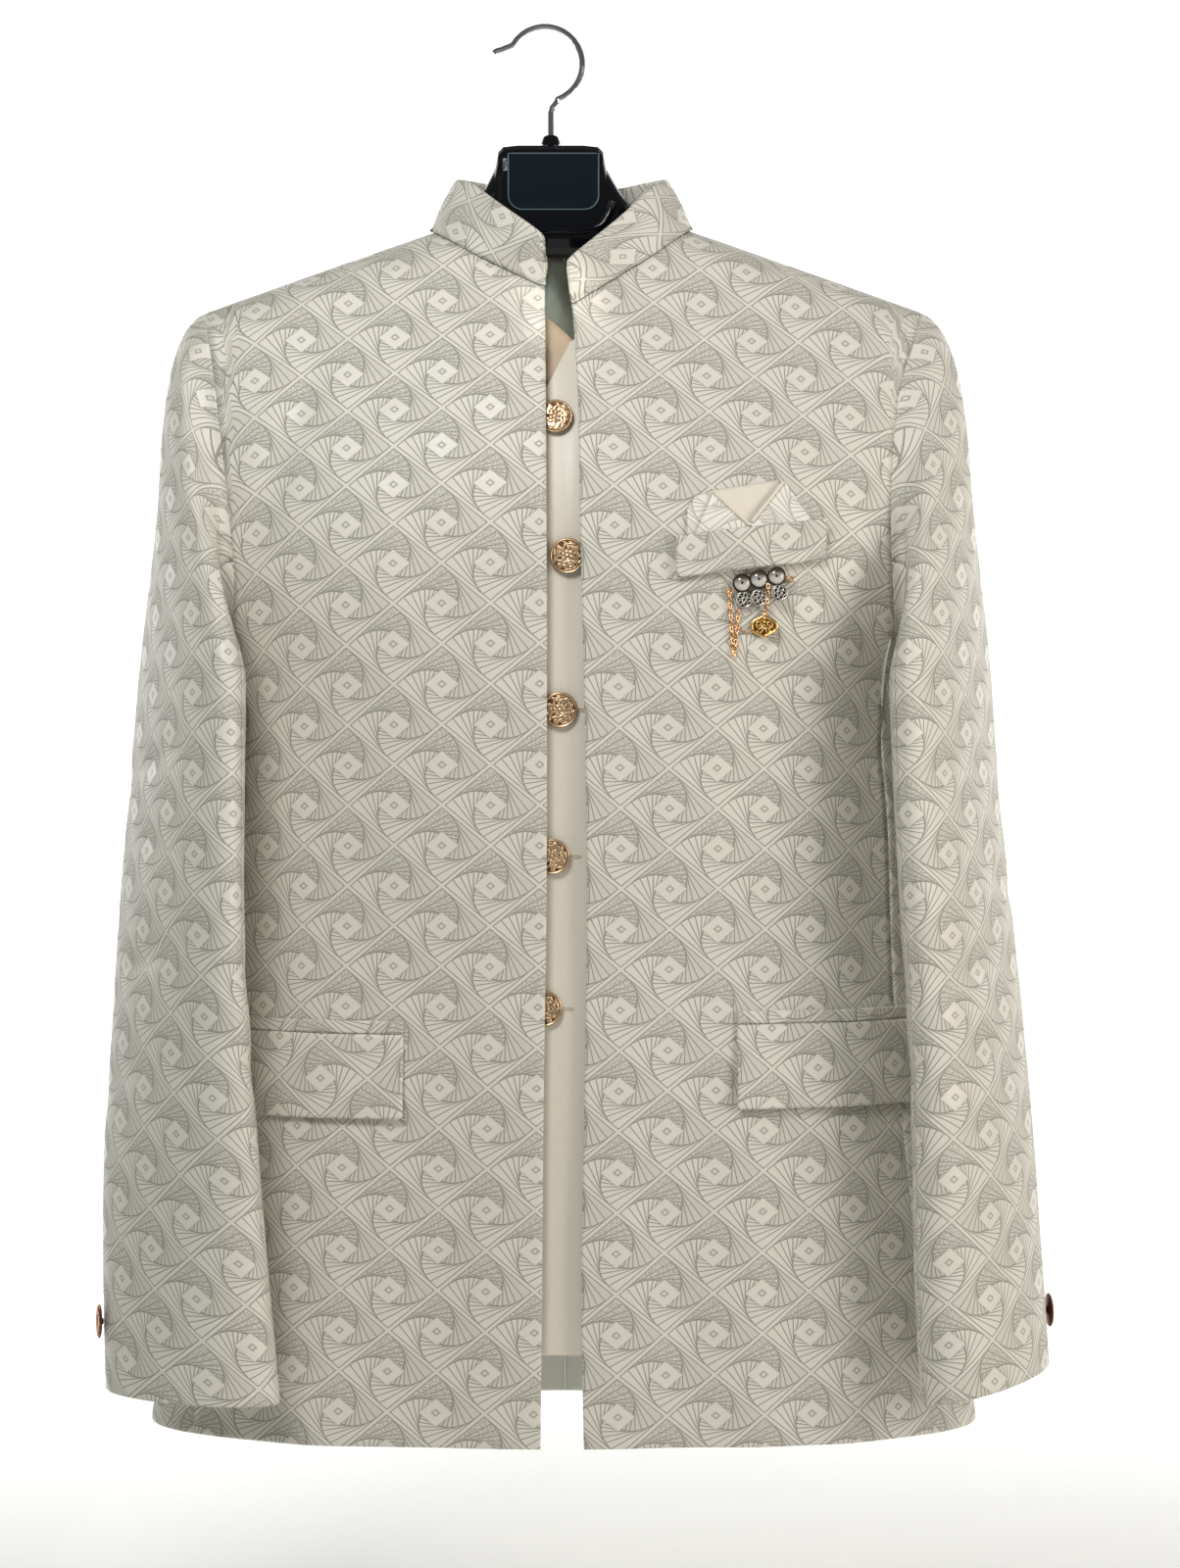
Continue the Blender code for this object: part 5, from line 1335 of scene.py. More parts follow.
@dataclass
class Pocket(FrontPiece):
    """Hip pocket: a jet on the front and a flap that hangs from under it."""

    side: Side
    size: PocketSize = PocketSize()
    flap_cut: Cut = Cut(0.142, 0.050)
    jet_cut: Cut = Cut(0.142, 0.0102)

    def widths(self, inner_x: float) -> Array:
        """Widths of the columns, at even steps along the cloth.

        Args:
            inner_x: width of the pocket's inner end.

        Returns:
            Signed widths.
        """
        size = self.size
        level = true_place((0.0, size.middle_seen_z), POCKET_SEEN_Y)[1]
        far = size.end_ratio * float(look_up(BODY_SECTIONS, 1, level))
        fine = np.linspace(abs(inner_x), far, 300)
        y = self.shape.front_y(self.side.value * fine, np.full_like(fine, level))
        line = np.stack([fine, y], axis=1)
        travelled = np.concatenate([[0], np.cumsum(np.linalg.norm(np.diff(line, axis=0), axis=1))])
        length = min(size.length, travelled[-1] - 1.0)
        return self.side.value * np.interp(np.linspace(0, length, size.columns), travelled, fine)

    def build(self) -> None:
        """Makes the jet and the flap."""
        size, shape, word = self.size, self.shape, self.side.word
        seen_x, jet_foot, flap_foot = POCKETS[self.side]
        x_line = self.widths(true_place((seen_x, 0.0), POCKET_SEEN_Y)[0])
        foot = true_place((0.0, jet_foot), POCKET_SEEN_Y)[1]
        low = true_place((0.0, flap_foot), POCKET_SEEN_Y)[1]
        front = f"jacket_front_{word}"

        z = np.linspace(foot, foot + size.jet_height, size.jet_rows)[:, None] + 0 * x_line[None]
        spec = ClothSpec(f"pocket_jet_{word}", f"jet_{word}", size.jet_wall, self.jet_cut, Hold.LAID, (front,),
                         rolled=Rolled(low=True, high=True, near=True, far=True))
        self.lay(spec, x_line, z, size.jet_wall + size.cover_gap, (0.0, 0.0, 0.0))

        top = foot - SEAM_GAP - size.under_jet
        share = np.linspace(0, 1, size.flap_rows)[:, None]
        across = np.linspace(0, 1, size.columns)[None]
        z = top + (low - top) * share + 0 * x_line[None]
        swing = size.flap_swing * smooth_step(share) * (0.75 + 0.25 * np.cos(5.0 * across))
        spec = ClothSpec(f"pocket_flap_{word}", f"flap_{word}", size.flap_wall, self.flap_cut, Hold.HUNG,
                         (front, f"pocket_jet_{word}"), rolled=Rolled(high=True, near=True, far=True))
        self.lay(spec, x_line, z, size.flap_wall + size.cover_gap + swing, (size.flap_grain, low, 0.0))


@dataclass(frozen=True)
class SquareLayer:
    """One layer of the pocket square, under a line of (distance along the welt, height) points."""

    name: str
    node: str
    peaks: Table
    proud: float
    cut: Cut
    patterned: bool


@dataclass
class ChestPocket(FrontPiece):
    """Slanting chest welt with a folded pocket square standing out of it."""

    welt_cut: Cut = Cut(0.092, 0.025)
    welt_wall: float = 2.0
    welt_gap: float = 2.4
    welt_lean: float = 2.6
    welt_grain: tuple = (66.0, -333.0)
    square_grain: tuple = (86.0, -291.0)
    square_wall: float = 0.8
    foot: float = 8.0
    layers: tuple = (
        SquareLayer("pocket_square_side", "square_back", ((7.0, 16.0), (11.0, 23.0), (20.0, 24.5), (26.0, 8.0)),
                    0.9, Cut(0.019, 0.034, 0.0006), True),
        SquareLayer("pocket_square_middle", "square_back",
                    ((17.0, 8.0), (20.0, 25.0), (61.0, 27.0), (67.0, 8.0)), 1.9, Cut(0.050, 0.040, 0.00175), False),
        SquareLayer("pocket_square_left_peak", "square_front", ((11.5, 0.0), (22.5, 24.5), (45.0, 1.0)),
                    3.1, Cut(0.034, 0.034, 0.00075), True),
        SquareLayer("pocket_square_right_peak", "square_front", ((44.0, 3.0), (64.5, 26.5), (81.0, 0.5)),
                    3.6, Cut(0.037, 0.037, 0.0009), True),
    )
    fold_edges: tuple = (((44.0, 1.5), (23.0, 23.5), 3.9), ((45.0, 3.5), (64.0, 25.5), 4.4))

    def layer(self, layer: SquareLayer) -> Array:
        """Grid of one layer: from inside the welt up to its peaks, its edges bowed like pressed folds.

        Args:
            layer: the layer.

        Returns:
            Grid of points.
        """
        rows = np.array(layer.peaks)
        along = np.unique(np.concatenate([np.linspace(rows[0, 0], rows[-1, 0], 40), rows[:, 0]]))
        height = np.interp(along, rows[:, 0], rows[:, 1])
        share = np.linspace(0, 1, 18)[:, None]
        base = WELT_CORNER[1] + WELT_HEIGHT + WELT_RISE * along
        z = base[None] - self.foot + (height[None] + self.foot) * share
        x = np.broadcast_to((WELT_CORNER[0] + along)[None], z.shape)
        edge = np.minimum(height, 9.0)[None] / 9.0
        puff = 0.9 * np.sin(math.pi * share) * edge * (1 if layer.patterned else -0.6)
        return np.stack([x, self.shape.front_y(x, z) - layer.proud - puff, z], axis=2)

    def build(self) -> None:
        """Makes the welt and the layers of the square."""
        x_line = np.linspace(WELT_CORNER[0], WELT_CORNER[0] + WELT_LENGTH, 44)
        share = np.linspace(0, 1, 14)[:, None]
        z = WELT_CORNER[1] + WELT_HEIGHT * share + WELT_RISE * (x_line - x_line[0])[None]
        spec = ClothSpec("chest_pocket_welt", "chest_welt", self.welt_wall, self.welt_cut, Hold.LAID,
                         ("jacket_front_left",), rolled=Rolled(low=True, high=True, near=True, far=True))
        proud = self.welt_wall + self.welt_gap + self.welt_lean * share**2
        self.lay(spec, x_line, z, proud, (*self.welt_grain, WELT_RISE))
        for layer in self.layers:
            points = self.layer(layer)
            uv = points[..., [0, 2]] - self.square_grain
            finish = self.looks.square_cloth if layer.patterned else self.looks.satin
            slot = "jacquard" if layer.patterned else "satin"
            spec = ClothSpec(layer.name, layer.node, self.square_wall, layer.cut, Hold.FOLDED,
                             ("chest_pocket_welt",), slot)
            Sewing.shell(spec, points, grid_normals(points, AHEAD), uv, (finish,))
        for number, (low, high, proud) in enumerate(self.fold_edges, start=1):
            share = np.linspace(0, 1, 40)
            along = low[0] + (high[0] - low[0]) * share
            x = WELT_CORNER[0] + along
            z = WELT_CORNER[1] + WELT_HEIGHT + WELT_RISE * along + low[1] + (high[1] - low[1]) * share
            line = np.stack([x, self.shape.front_y(x, z) - proud, z], axis=1)
            points, faces = tube_mesh(line, 1.0, sides=12)
            declare(mesh_object(f"pocket_square_fold_{number}", points, faces, (self.looks.satin,)), "satin")


@dataclass(frozen=True)
class VestSize:
    """Counts of the vest's fine grids."""

    low_rows: int = 84
    arm_rows: int = 56
    front_columns: int = 50
    back_columns: int = 81


@dataclass
class Vest(Piece):
    """Round-necked vest whose left front laps over its right."""

    size: VestSize = VestSize()
    front_cut: Cut = Cut(0.277, 0.664, 0.144)
    back_cut: Cut = Cut(0.485, 0.666, 0.254)
    side_share: float = 0.985
    side_gap: float = 1.5
    neck_end_x: float = 80.0
    # width and height beyond which the right front's painted neck shade lies
    neck_shade_x: float = -14.0
    neck_shade_z: float = -234.0

    def side_x(self, z: Array | float) -> Array:
        """Distance of the side seam from the middle."""
        return (look_up(BODY_SECTIONS, 1, z) - VEST_INSET - self.side_gap) * self.side_share

    def armhole(self, count: int) -> Array:
        """Points (x, z) of the left armhole, foot to shoulder, at even steps of length.

        Args:
            count: how many.

        Returns:
            The points.
        """
        arm = np.array(VEST_ARM)
        arm[0, 0] = self.side_x(arm[0, 1])
        arm[-1, 1] = self.shape.ridge_z(arm[-1, 0]) - VEST_INSET
        return resample(arm, count)

    def front(self, side: Side, middle_x: float) -> Array:
        """Grid of one front as points (x, z).

        Args:
            side: side of the body.
            middle_x: width of its straight front edge.

        Returns:
            The grid.
        """
        size = self.size
        arm = self.armhole(size.arm_rows) * np.array([side.value, 1.0])
        low_z = np.linspace(self.shape.vest_hem_z, arm[0, 1], size.low_rows)
        neck_end = (side.value * self.neck_end_x, float(self.shape.ridge_z(self.neck_end_x)) - VEST_INSET)
        neck = np.array([*VEST_NECKS[side], neck_end])
        across = np.linspace(0, 1, size.front_columns)
        near_low = upright(middle_x, low_z)
        far_low = upright(side.value * self.side_x(low_z), low_z)
        low = between(near_low, far_low, across)
        near_high = upright(middle_x, np.linspace(arm[0, 1], neck[0, 1], size.arm_rows))
        top = resample(np.concatenate([neck, [arm[-1]]]), 4 * size.front_columns)
        top = top[np.round(across * (len(top) - 1)).astype(int)]
        top = self.shape.on_ridge(top, neck[-1], VEST_INSET)
        high = patch(low[-1], top, near_high, arm, across, np.linspace(0, 1, size.arm_rows))
        return np.concatenate([low, high[1:]])

    def back(self) -> Array:
        """Grid of the back as points (x, z).

        Returns:
            The grid.
        """
        size = self.size
        arm = self.armhole(size.arm_rows)
        low_z = np.linspace(self.shape.vest_hem_z, arm[0, 1], size.low_rows)
        u = np.linspace(-1, 1, size.back_columns)
        low_x = self.side_x(low_z)[:, None] * u[None]
        low = np.stack([low_x, np.broadcast_to(low_z[:, None], low_x.shape)], axis=2)
        neck_end = (self.neck_end_x, float(self.shape.ridge_z(self.neck_end_x)) - VEST_INSET)
        line = np.array(VEST_BACK_NECK + (neck_end, tuple(arm[-1])))
        left = self.shape.on_ridge(resample(line, size.back_columns // 2 + 1), np.array(neck_end), VEST_INSET)
        top = np.concatenate([(left[::-1] * np.array([-1.0, 1.0]))[:-1], left])
        mirror = arm * np.array([-1.0, 1.0])
        high = patch(low[-1], top, mirror, arm, 0.5 + 0.5 * u, np.linspace(0, 1, size.arm_rows))
        return np.concatenate([low, high[1:]])

    def build(self) -> None:
        """Makes the two fronts and the back."""
        shape = self.shape
        free = Rolled(low=True, high=True, near=True)
        plan = (
            ("vest_front_left", self.front(Side.LEFT, LAP_EDGE_X), shape.vest_over_y, -1.0, self.front_cut,
             free),
            ("vest_front_right", self.front(Side.RIGHT, UNDER_EDGE_X), shape.vest_under_y, -1.0, self.front_cut,
             free),
            ("vest_back", self.back(), shape.vest_back_y, 1.0, self.back_cut, Rolled(low=True, high=True)),
        )
        for node, flat, depth, outside, cut, rolled in plan:
            points = shape.laid_out(rolled.refine(flat), depth, outside * 0.5 * SEAM_GAP)
            uv = np.stack([cloth_lengths(points), points[..., 2]], axis=-1)
            spec = ClothSpec(f"satin_{node}", node, VEST_WALL, cut, Hold.HUNG, ("hanger_body",), "satin", rolled)
            normals = shape.face_normals(points, depth, outside)
            obj = Sewing.shell(spec, points, normals, uv, self.looks.vest_cloth)
            if node == "vest_front_right":
                self.paint_neck_shade(obj)

    def paint_neck_shade(self, obj: bpy.types.Object) -> None:
        """Paints the top of the right front by the neck, where it lies in the lap's shade, a darker tan satin:
        painted shade.

        Args:
            obj: the right front.
        """
        # painted shade: faces at the top of the right front take a darker tan satin
        obj.data.materials.append(self.looks.facing)
        for face in obj.data.polygons:
            spot = face.center / MM
            if spot.x - GARMENT_X > self.neck_shade_x and spot.z > self.neck_shade_z:
                face.material_index = 2


def declare(obj: bpy.types.Object, slot: str, *nodes: str) -> bpy.types.Object:
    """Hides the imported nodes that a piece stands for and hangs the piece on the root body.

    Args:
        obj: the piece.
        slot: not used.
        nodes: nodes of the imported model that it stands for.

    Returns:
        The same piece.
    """
    if nodes:
        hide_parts(*nodes)
    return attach(obj, "root")


def standing(point: Array, normal: Array, spin: float = 0.0) -> Array:
    """Rotation and place that stand Z along a normal at a point, as four rows of numbers."""
    turn = Vector(normal).to_track_quat("Z", "Y").to_matrix().to_4x4() @ Matrix.Rotation(spin, 4, "Z")
    return np.array(Matrix.Translation(Vector(point)) @ turn)


def placed(points: Array, place: Array) -> Array:
    """Points moved by a matrix."""
    return points @ place[:3, :3].T + place[:3, 3]


def polar_solid(radius: Array, height: Array, turns: int) -> tuple[Array, Array]:
    """Closed solid of rings round Z, whose radius and height may change with the angle.

    Args:
        radius: radius of each ring, or of each point of each ring.
        height: height likewise.
        turns: points a ring.

    Returns:
        Points and faces, the first and last ring closed by a fan of thin quads.
    """
    angle = np.linspace(0, 2 * math.pi, turns, endpoint=False)[None]
    r = np.broadcast_to(radius, (len(radius), turns)) if radius.shape[-1] != turns else radius
    z = np.broadcast_to(height, (len(height), turns)) if height.shape[-1] != turns else height
    points = np.stack([r * np.cos(angle), r * np.sin(angle), z], axis=-1).reshape(-1, 3)
    return points, quads(len(radius), turns, wrap=True)


@dataclass(frozen=True)
class ButtonSize:
    """Sizes of a relief button in millimetres."""

    radius: float = 10.5
    rim_height: float = 3.8
    petals: int = 6
    scrolls: int = 7
    turns: int = 160
    rings: int = 60


@dataclass
class ReliefButton:
    """Shank button with a raised flower inside a ring of curling stalks and a smooth rim."""

    looks: Looks
    size: ButtonSize = ButtonSize()

    def relief(self, share: Array, angle: Array) -> Array:
        """Height of the pattern: petals in the middle, curling stalks round them, a smooth rim.

        Args:
            share: distance from the middle over the radius.
            angle: angle in radians.

        Returns:
            Height from 0 to 1.
        """
        size = self.size
        boss = np.exp(-((share / 0.10) ** 2))
        petal = np.abs(np.cos(0.5 * size.petals * angle)) ** 0.6 * np.exp(-(((share - 0.24) / 0.07) ** 2))
        drift = 1.5 * np.sin(4 * angle - 9.0 * share) + 1.1 * np.sin(3 * angle + 15.0 * share + 1.0)
        curl = np.cos(size.scrolls * angle + 19.0 * share + drift)
        tendril = np.cos(31.0 * share - 4 * angle + 1.3 * drift)
        zone = smooth_step((share - 0.28) / 0.07) * smooth_step((0.84 - share) / 0.05)
        leaf = zone * smooth_step(0.5 + 1.1 * np.maximum(curl, tendril - 0.35))
        rim = np.exp(-(((share - 0.93) / 0.045) ** 2))
        return np.clip(boss + petal + leaf + rim, 0.0, 1.0)

    def build(self, name: str, node: str, slot: str, finish: bpy.types.Material, place: Array,
              scale: float) -> None:
        """Makes one button.

        Args:
            name: name of the piece.
            node: node that it stands for.
            slot: slot of the record.
            finish: material.
            place: 4 by 4 matrix of its foot.
            scale: size against the vest's buttons.
        """
        size = self.size
        angle = np.linspace(0, 2 * math.pi, size.turns, endpoint=False)[None]
        share = np.linspace(0.004, 1.0, size.rings)[:, None]
        carved = self.relief(share, angle)
        dome = size.rim_height - 1.0 + 0.5 * (1 - share**2)
        face_z = dome + 0.45 * carved * (1 - smooth_step((share - 0.93) / 0.07))
        face_r = size.radius * share + 0 * angle
        back = ((1.0, 2.6), (0.985, 2.1), (0.9, 1.8), (0.3, 1.3), (0.19, 0.9), (0.19, 0.0), (0.002, 0.0))
        back_r = np.array([[size.radius * share_out] for share_out, _ in back]) + 0 * angle
        back_z = np.array([[level] for _, level in back]) + 0 * angle
        radius, height = np.concatenate([face_r, back_r]), np.concatenate([face_z, back_z])
        points, faces = polar_solid(radius, height, size.turns)
        points = placed(points * scale, place)
        faces = outward_faces(points, faces)
        obj = mesh_object(name, points, faces, (finish,))
        shade = np.concatenate([carved, np.full(back_r.shape, 0.3)]).ravel()
        layer = obj.data.attributes.new("relief", "FLOAT", "POINT")
        layer.data.foreach_set("value", shade.astype(np.float32))
        declare(obj, slot, node)


VEST_BUTTON_COLUMNS = ("seen_x", "seen_z")
VEST_BUTTONS = ((-5.4, -235.8), (2.4, -322.2), (-2.4, -416.4), (-7.2, -506.4), (-12.0, -600.0))
BUTTONHOLE_SIDES = (-1.0, 1.0, 1.0, 1.0, 1.0)


@dataclass
class Fastenings(Piece):
    """Vest buttons with their buttonholes, and the cuff buttons."""

    sleeves: dict[Side, Sleeve]
    seen_y: float = -85.0
    cuff_z: float = -778.0
    cuff_angle: float = -62.0
    cuff_scale: float = 0.95
    lift: float = 0.4
    turn_between: float = 0.35
    hole_reach: float = 8.0
    hole_half: float = 9.0
    hole_height: float = 0.75
    hole_proud: float = 0.35
    thread: float = 0.42
    stitches: int = 42

    def build(self) -> None:
        """Makes every button and buttonhole."""
        shape = self.shape
        button = ReliefButton(self.looks)
        for number, seen in enumerate(VEST_BUTTONS, start=1):
            x, z = true_place(seen, self.seen_y)
            point = np.array([[[x, float(shape.vest_over_y(np.array(x), np.array(z))), z]]])
            normal = shape.face_normals(point, shape.vest_over_y, -1.0)[0, 0]
            spot = point[0, 0] + normal * (SEAM_GAP + self.lift)
            place = standing(spot, normal, self.turn_between * number)
            button.build(f"relief_button_{number}", f"vest_button_{number}", "antique_gold",
                         self.looks.antique_gold, place, 1.0)
            self.buttonhole(number, x, z)
        for side, sleeve in self.sleeves.items():
            z = np.array([self.cuff_z])
            angle = np.array([self.cuff_angle])
            point = sleeve.ring(z, angle)[0]
            normal = np.cross(sleeve.ring(z, angle + 1.0)[0] - point, sleeve.ring(z + 5.0, angle)[0] - point)
            if np.dot(normal, point - sleeve.axes(z)[0][0]) < 0:
                normal = -normal
            normal = normal / np.linalg.norm(normal)
            place = standing(point + normal * (SEAM_GAP + self.lift), normal)
            button.build(f"relief_cuff_button_{side.word}", f"cuff_button_{side.word}", "copper_gold",
                         self.looks.copper_gold, place, self.cuff_scale)

    def buttonhole(self, number: int, x: float, z: float) -> None:
        """Slit bound by close stitches, from under the button to its side.

        Args:
            number: number of the button.
            x: width of the button.
            z: height of the button.
        """
        side = BUTTONHOLE_SIDES[number - 1]
        turn = np.linspace(0, 2 * math.pi, self.stitches, endpoint=False)
        middle = x + side * self.hole_reach
        path_x = middle + self.hole_half * np.sign(np.cos(turn)) * np.abs(np.cos(turn)) ** 0.4
        path_z = z + self.hole_height * np.sin(turn)
        y = self.shape.vest_over_y(path_x, path_z) - self.hole_proud
        tube = np.stack([path_x, y, path_z], axis=1)
        points, faces = tube_mesh(tube, self.thread, closed=True, beads=self.stitches // 2)
        declare(mesh_object(f"buttonhole_{number}", points, faces, (self.looks.thread,)), "satin")


def tube_mesh(path: Array, radius: float, closed: bool = False, beads: int = 0,
              sides: int = 10) -> tuple[Array, Array]:
    """A round tube along a path, its radius swelling and thinning along it.

    Args:
        path: points.
        radius: largest radius.
        closed: whether the path closes.
        beads: swellings along it, none for an even tube.
        sides: points a ring.

    Returns:
        Points and faces.
    """
    count = len(path)
    ahead = np.roll(path, -1, axis=0) - np.roll(path, 1, axis=0)
    if not closed:
        ahead[0] = path[1] - path[0]
        ahead[-1] = path[-1] - path[-2]
    ahead = unit(ahead)
    side = unit(np.cross(ahead, np.array([0.03, 1.0, 0.02])))
    other = np.cross(ahead, side)
    angle = np.linspace(0, 2 * math.pi, sides, endpoint=False)
    swell = radius * (0.8 + 0.2 * np.cos(2 * math.pi * np.arange(count) * beads / count))[:, None, None]
    ring = side[:, None] * np.cos(angle)[None, :, None] + other[:, None] * np.sin(angle)[None, :, None]
    points = path[:, None] + ring * swell
    if closed:
        faces = quads(count + 1, sides, wrap=True) % (count * sides)
    else:
        first = np.repeat(path[:1, None], sides, axis=1)
        last = np.repeat(path[-1:, None], sides, axis=1)
        points = np.concatenate([first, points, last])
        faces = quads(count + 2, sides, wrap=True)
    points = points.reshape(-1, 3)
    return points, outward_faces(points, faces)


BROOCH_BACK_Y = -75.0
STONES_SEEN = ((108.6, -339.6), (118.8, -337.2), (129.6, -335.4))
DISCS_SEEN = ((109.8, -349.8), (118.8, -348.6), (131.4, -345.6))
RING_SEEN = (138.6, -337.1)
LUG_SEEN = (101.0, -344.6)
LEFT_CHAIN_SEEN = ((100.8, -346.0), (102.0, -366.0), (103.8, -384.0), (105.4, -368.0), (106.2, -357.5))
DROP_SEEN = ((124.3, -341.5, 6.2), (124.0, -350.5, 5.6), (122.6, -359.5, 2.8))
PENDANT_SEEN = (122.2, -365.8)
LINK_CHAIN_SEEN = ((108.0, -367.5), (111.0, -369.4), (115.4, -369.2))


@dataclass
class Brooch(Piece):
    """Brooch of three domed stones over three filigree discs, with chains and a small pendant."""

    stone_radius: float = 4.9
    disc_radius: float = 4.9
    pendant_half: tuple = (7.3, 5.0)

    def on_chest(self, seen: tuple[float, float], proud: float) -> Array:
        """Point proud of the left front, from where it is seen."""
        x, z = true_place(seen, BROOCH_BACK_Y)
        return np.array([x, float(self.shape.front_y(np.array(x), np.array(z))) - proud, z])

    def gather(self, name: str, parts: list, finish: bpy.types.Material) -> bpy.types.Object:
        """One object of several closed meshes.

        Args:
            name: its name.
            parts: pairs of points and faces.
            finish: material.

        Returns:
            The object.
        """
        start = 0
        points = []
        faces = []
        for part_points, part_faces in parts:
            points.append(part_points)
            faces.append(outward_faces(part_points, part_faces) + start)
            start += len(part_points)
        return mesh_object(name, np.concatenate(points), np.concatenate(faces), (finish,))

    @staticmethod
    def torus(centre: Array, radius: float, thick: float, normal: Array, turns: int = 40, sides: int = 10,
              stretch: float = 1.0, spin: float = 0.0) -> tuple[Array, Array]:
        """Ring of round wire.

        Args:
            centre: its middle.
            radius: radius of the wire's line.
            thick: radius of the wire.
            normal: axis of the ring.
            turns: points round it.
            sides: points round the wire.
            stretch: length over width.
            spin: turn of its long way about the axis.

        Returns:
            Points and faces.
        """
        a = np.linspace(0, 2 * math.pi, turns, endpoint=False)[:, None]
        b = np.linspace(0, 2 * math.pi, sides, endpoint=False)[None]
        r = radius + thick * np.cos(b)
        points = np.stack([stretch * r * np.cos(a), r * np.sin(a), thick * np.sin(b) + 0 * a], axis=-1)
        points = np.concatenate([points, points[:1]]).reshape(-1, 3)[:turns * sides]
        faces = quads(turns + 1, sides, wrap=True)
        faces = np.where(faces >= turns * sides, faces - turns * sides, faces)
        return placed(points, standing(centre, normal, spin)), faces

    def dome(self, centre: Array, radius: float, height: float, foot: float, lobes: int = 0,
             depth: float = 0.0) -> tuple[Array, Array]:
        """Cap of a flattened ball that faces the viewer, lobed at its edge if asked.

        Args:
            centre: middle of its foot.
            radius: radius.
            height: height of the cap.
            foot: thickness under it.
            lobes: lobes round it.
            depth: how deep the lobes are, over the radius.

        Returns:
            Points and faces.
        """
        turns = 72
        angle = np.linspace(0, 2 * math.pi, turns, endpoint=False)[None]
        t = np.linspace(0.01, 0.5 * math.pi, 18)[:, None]
        edge = 1 + depth * np.cos(lobes * angle)
        r = np.concatenate([radius * np.sin(t) * edge, radius * edge, 0.01 * edge])
        z = np.concatenate([height * np.cos(t) + 0 * angle, -foot + 0 * angle, -foot + 0 * angle])
        points, faces = polar_solid(r, z, turns)
        return placed(points, standing(centre, AHEAD)), faces

    def chain(self, seen: tuple, proud: float, link: float, thick: float) -> list:
        """Row of oval links along a line, each turned against the last.

        Args:
            seen: points of its line as seen, with their own distance before the cloth if they have one.
            proud: distance before the cloth of those that don't.
            link: length of a link.
            thick: radius of its wire.

        Returns:
            Pairs of points and faces.
        """
        line = np.array([self.on_chest(spot[:2], spot[2] if len(spot) > 2 else proud) for spot in seen])
        length = np.sum(np.linalg.norm(np.diff(line, axis=0), axis=1))
        spots = resample(line, max(2, int(length / (0.95 * link))))
        parts = []
        for number, (spot, way) in enumerate(zip(spots, unit(np.gradient(spots, axis=0)))):
            tilt = 0.6 if number % 2 else -0.6
            across = unit(np.cross(way, AHEAD))
            normal = across * math.sin(tilt) + AHEAD * math.cos(tilt)
            place = standing(spot, normal)
            spin = math.atan2(float(way @ place[:3, 1]), float(way @ place[:3, 0]))
            parts.append(self.torus(spot, 0.33 * link, thick, normal, 20, 8, 1.45, spin))
        return parts

    def ring_of(self, spot: Array, radius: float, count: int) -> list[tuple[Array, float]]:
        """Places round a point, in the plane that faces the viewer."""
        turns = [2 * math.pi * k / count for k in range(count)]
        return [(spot + np.array([math.cos(turn), 0.0, math.sin(turn)]) * radius, turn) for turn in turns]

    @staticmethod
    def spiral(centre: tuple[float, float], start: float, turns: float, reach: float) -> Array:
        """Curl in the plane that faces the viewer.

        Args:
            centre: its middle, as x and z.
            start: angle at its outer end in degrees.
            turns: whole turns, negative for a clockwise curl.
            reach: radius of its outer end.

        Returns:
            Points.
        """
        share = np.linspace(0, 1, 40)
        angle = math.radians(start) + 2 * math.pi * turns * share
        radius = reach * (1 - 0.78 * share)
        x = centre[0] + radius * np.cos(angle)
        z = centre[1] + radius * np.sin(angle)
        return np.stack([x, np.full(40, -1.3), z], axis=1)

    def pendant(self) -> tuple[list, list]:
        """Small plate, pointed at both sides and below: its dark ground and its bright raised rim and curls.

        Returns:
            Parts of the ground and parts of the relief, as pairs of points and faces.
        """
        spot = self.on_chest(PENDANT_SEEN, 2.0)
        angle = np.linspace(0, 2 * math.pi, 96, endpoint=False)
        half_width, half_height = self.pendant_half
        outline_x = half_width * np.sign(np.cos(angle)) * np.abs(np.cos(angle)) ** 1.25
        outline_z = half_height * np.sign(np.sin(angle)) * np.abs(np.sin(angle)) ** 0.85
        outline_z = outline_z + 0.9 * np.exp(-((outline_x / 2.2) ** 2)) * np.sign(np.sin(angle))
        loops = np.array([[0.02], [0.55], [0.99], [0.99], [0.02]])
        levels = np.array([[-0.6], [-0.6], [-0.4], [0.5], [0.5]]) + 0 * angle[None]
        ground = np.stack([outline_x * loops, levels, outline_z * loops], axis=-1).reshape(-1, 3) + spot
        rim = np.stack([outline_x, np.full(96, -0.6), outline_z], axis=1)
        relief = [tube_mesh(rim + spot, 0.95, closed=True)]
        for side in (-1.0, 1.0):
            upper = self.spiral((2.9 * side, 1.1), 90 + 90 * side, 1.4 * side, 2.5)
            lower = self.spiral((2.3 * side, -2.0), 90 - 100 * side, -1.1 * side, 1.9)
            relief.append(tube_mesh(upper + spot, 0.48))
            relief.append(tube_mesh(lower + spot, 0.42))
        relief.append(self.dome(spot + np.array([0.0, -0.8, 2.6]), 1.1, 1.0, 0.2))
        relief.append(self.dome(spot + np.array([0.0, -0.8, -1.2]), 0.9, 1.0, 0.2))
        relief.append(self.torus(spot + np.array([0.0, -0.2, half_height + 1.5]), 1.1, 0.35, AHEAD, 24, 8))
        return [(ground, quads(5, 96, wrap=True))], relief

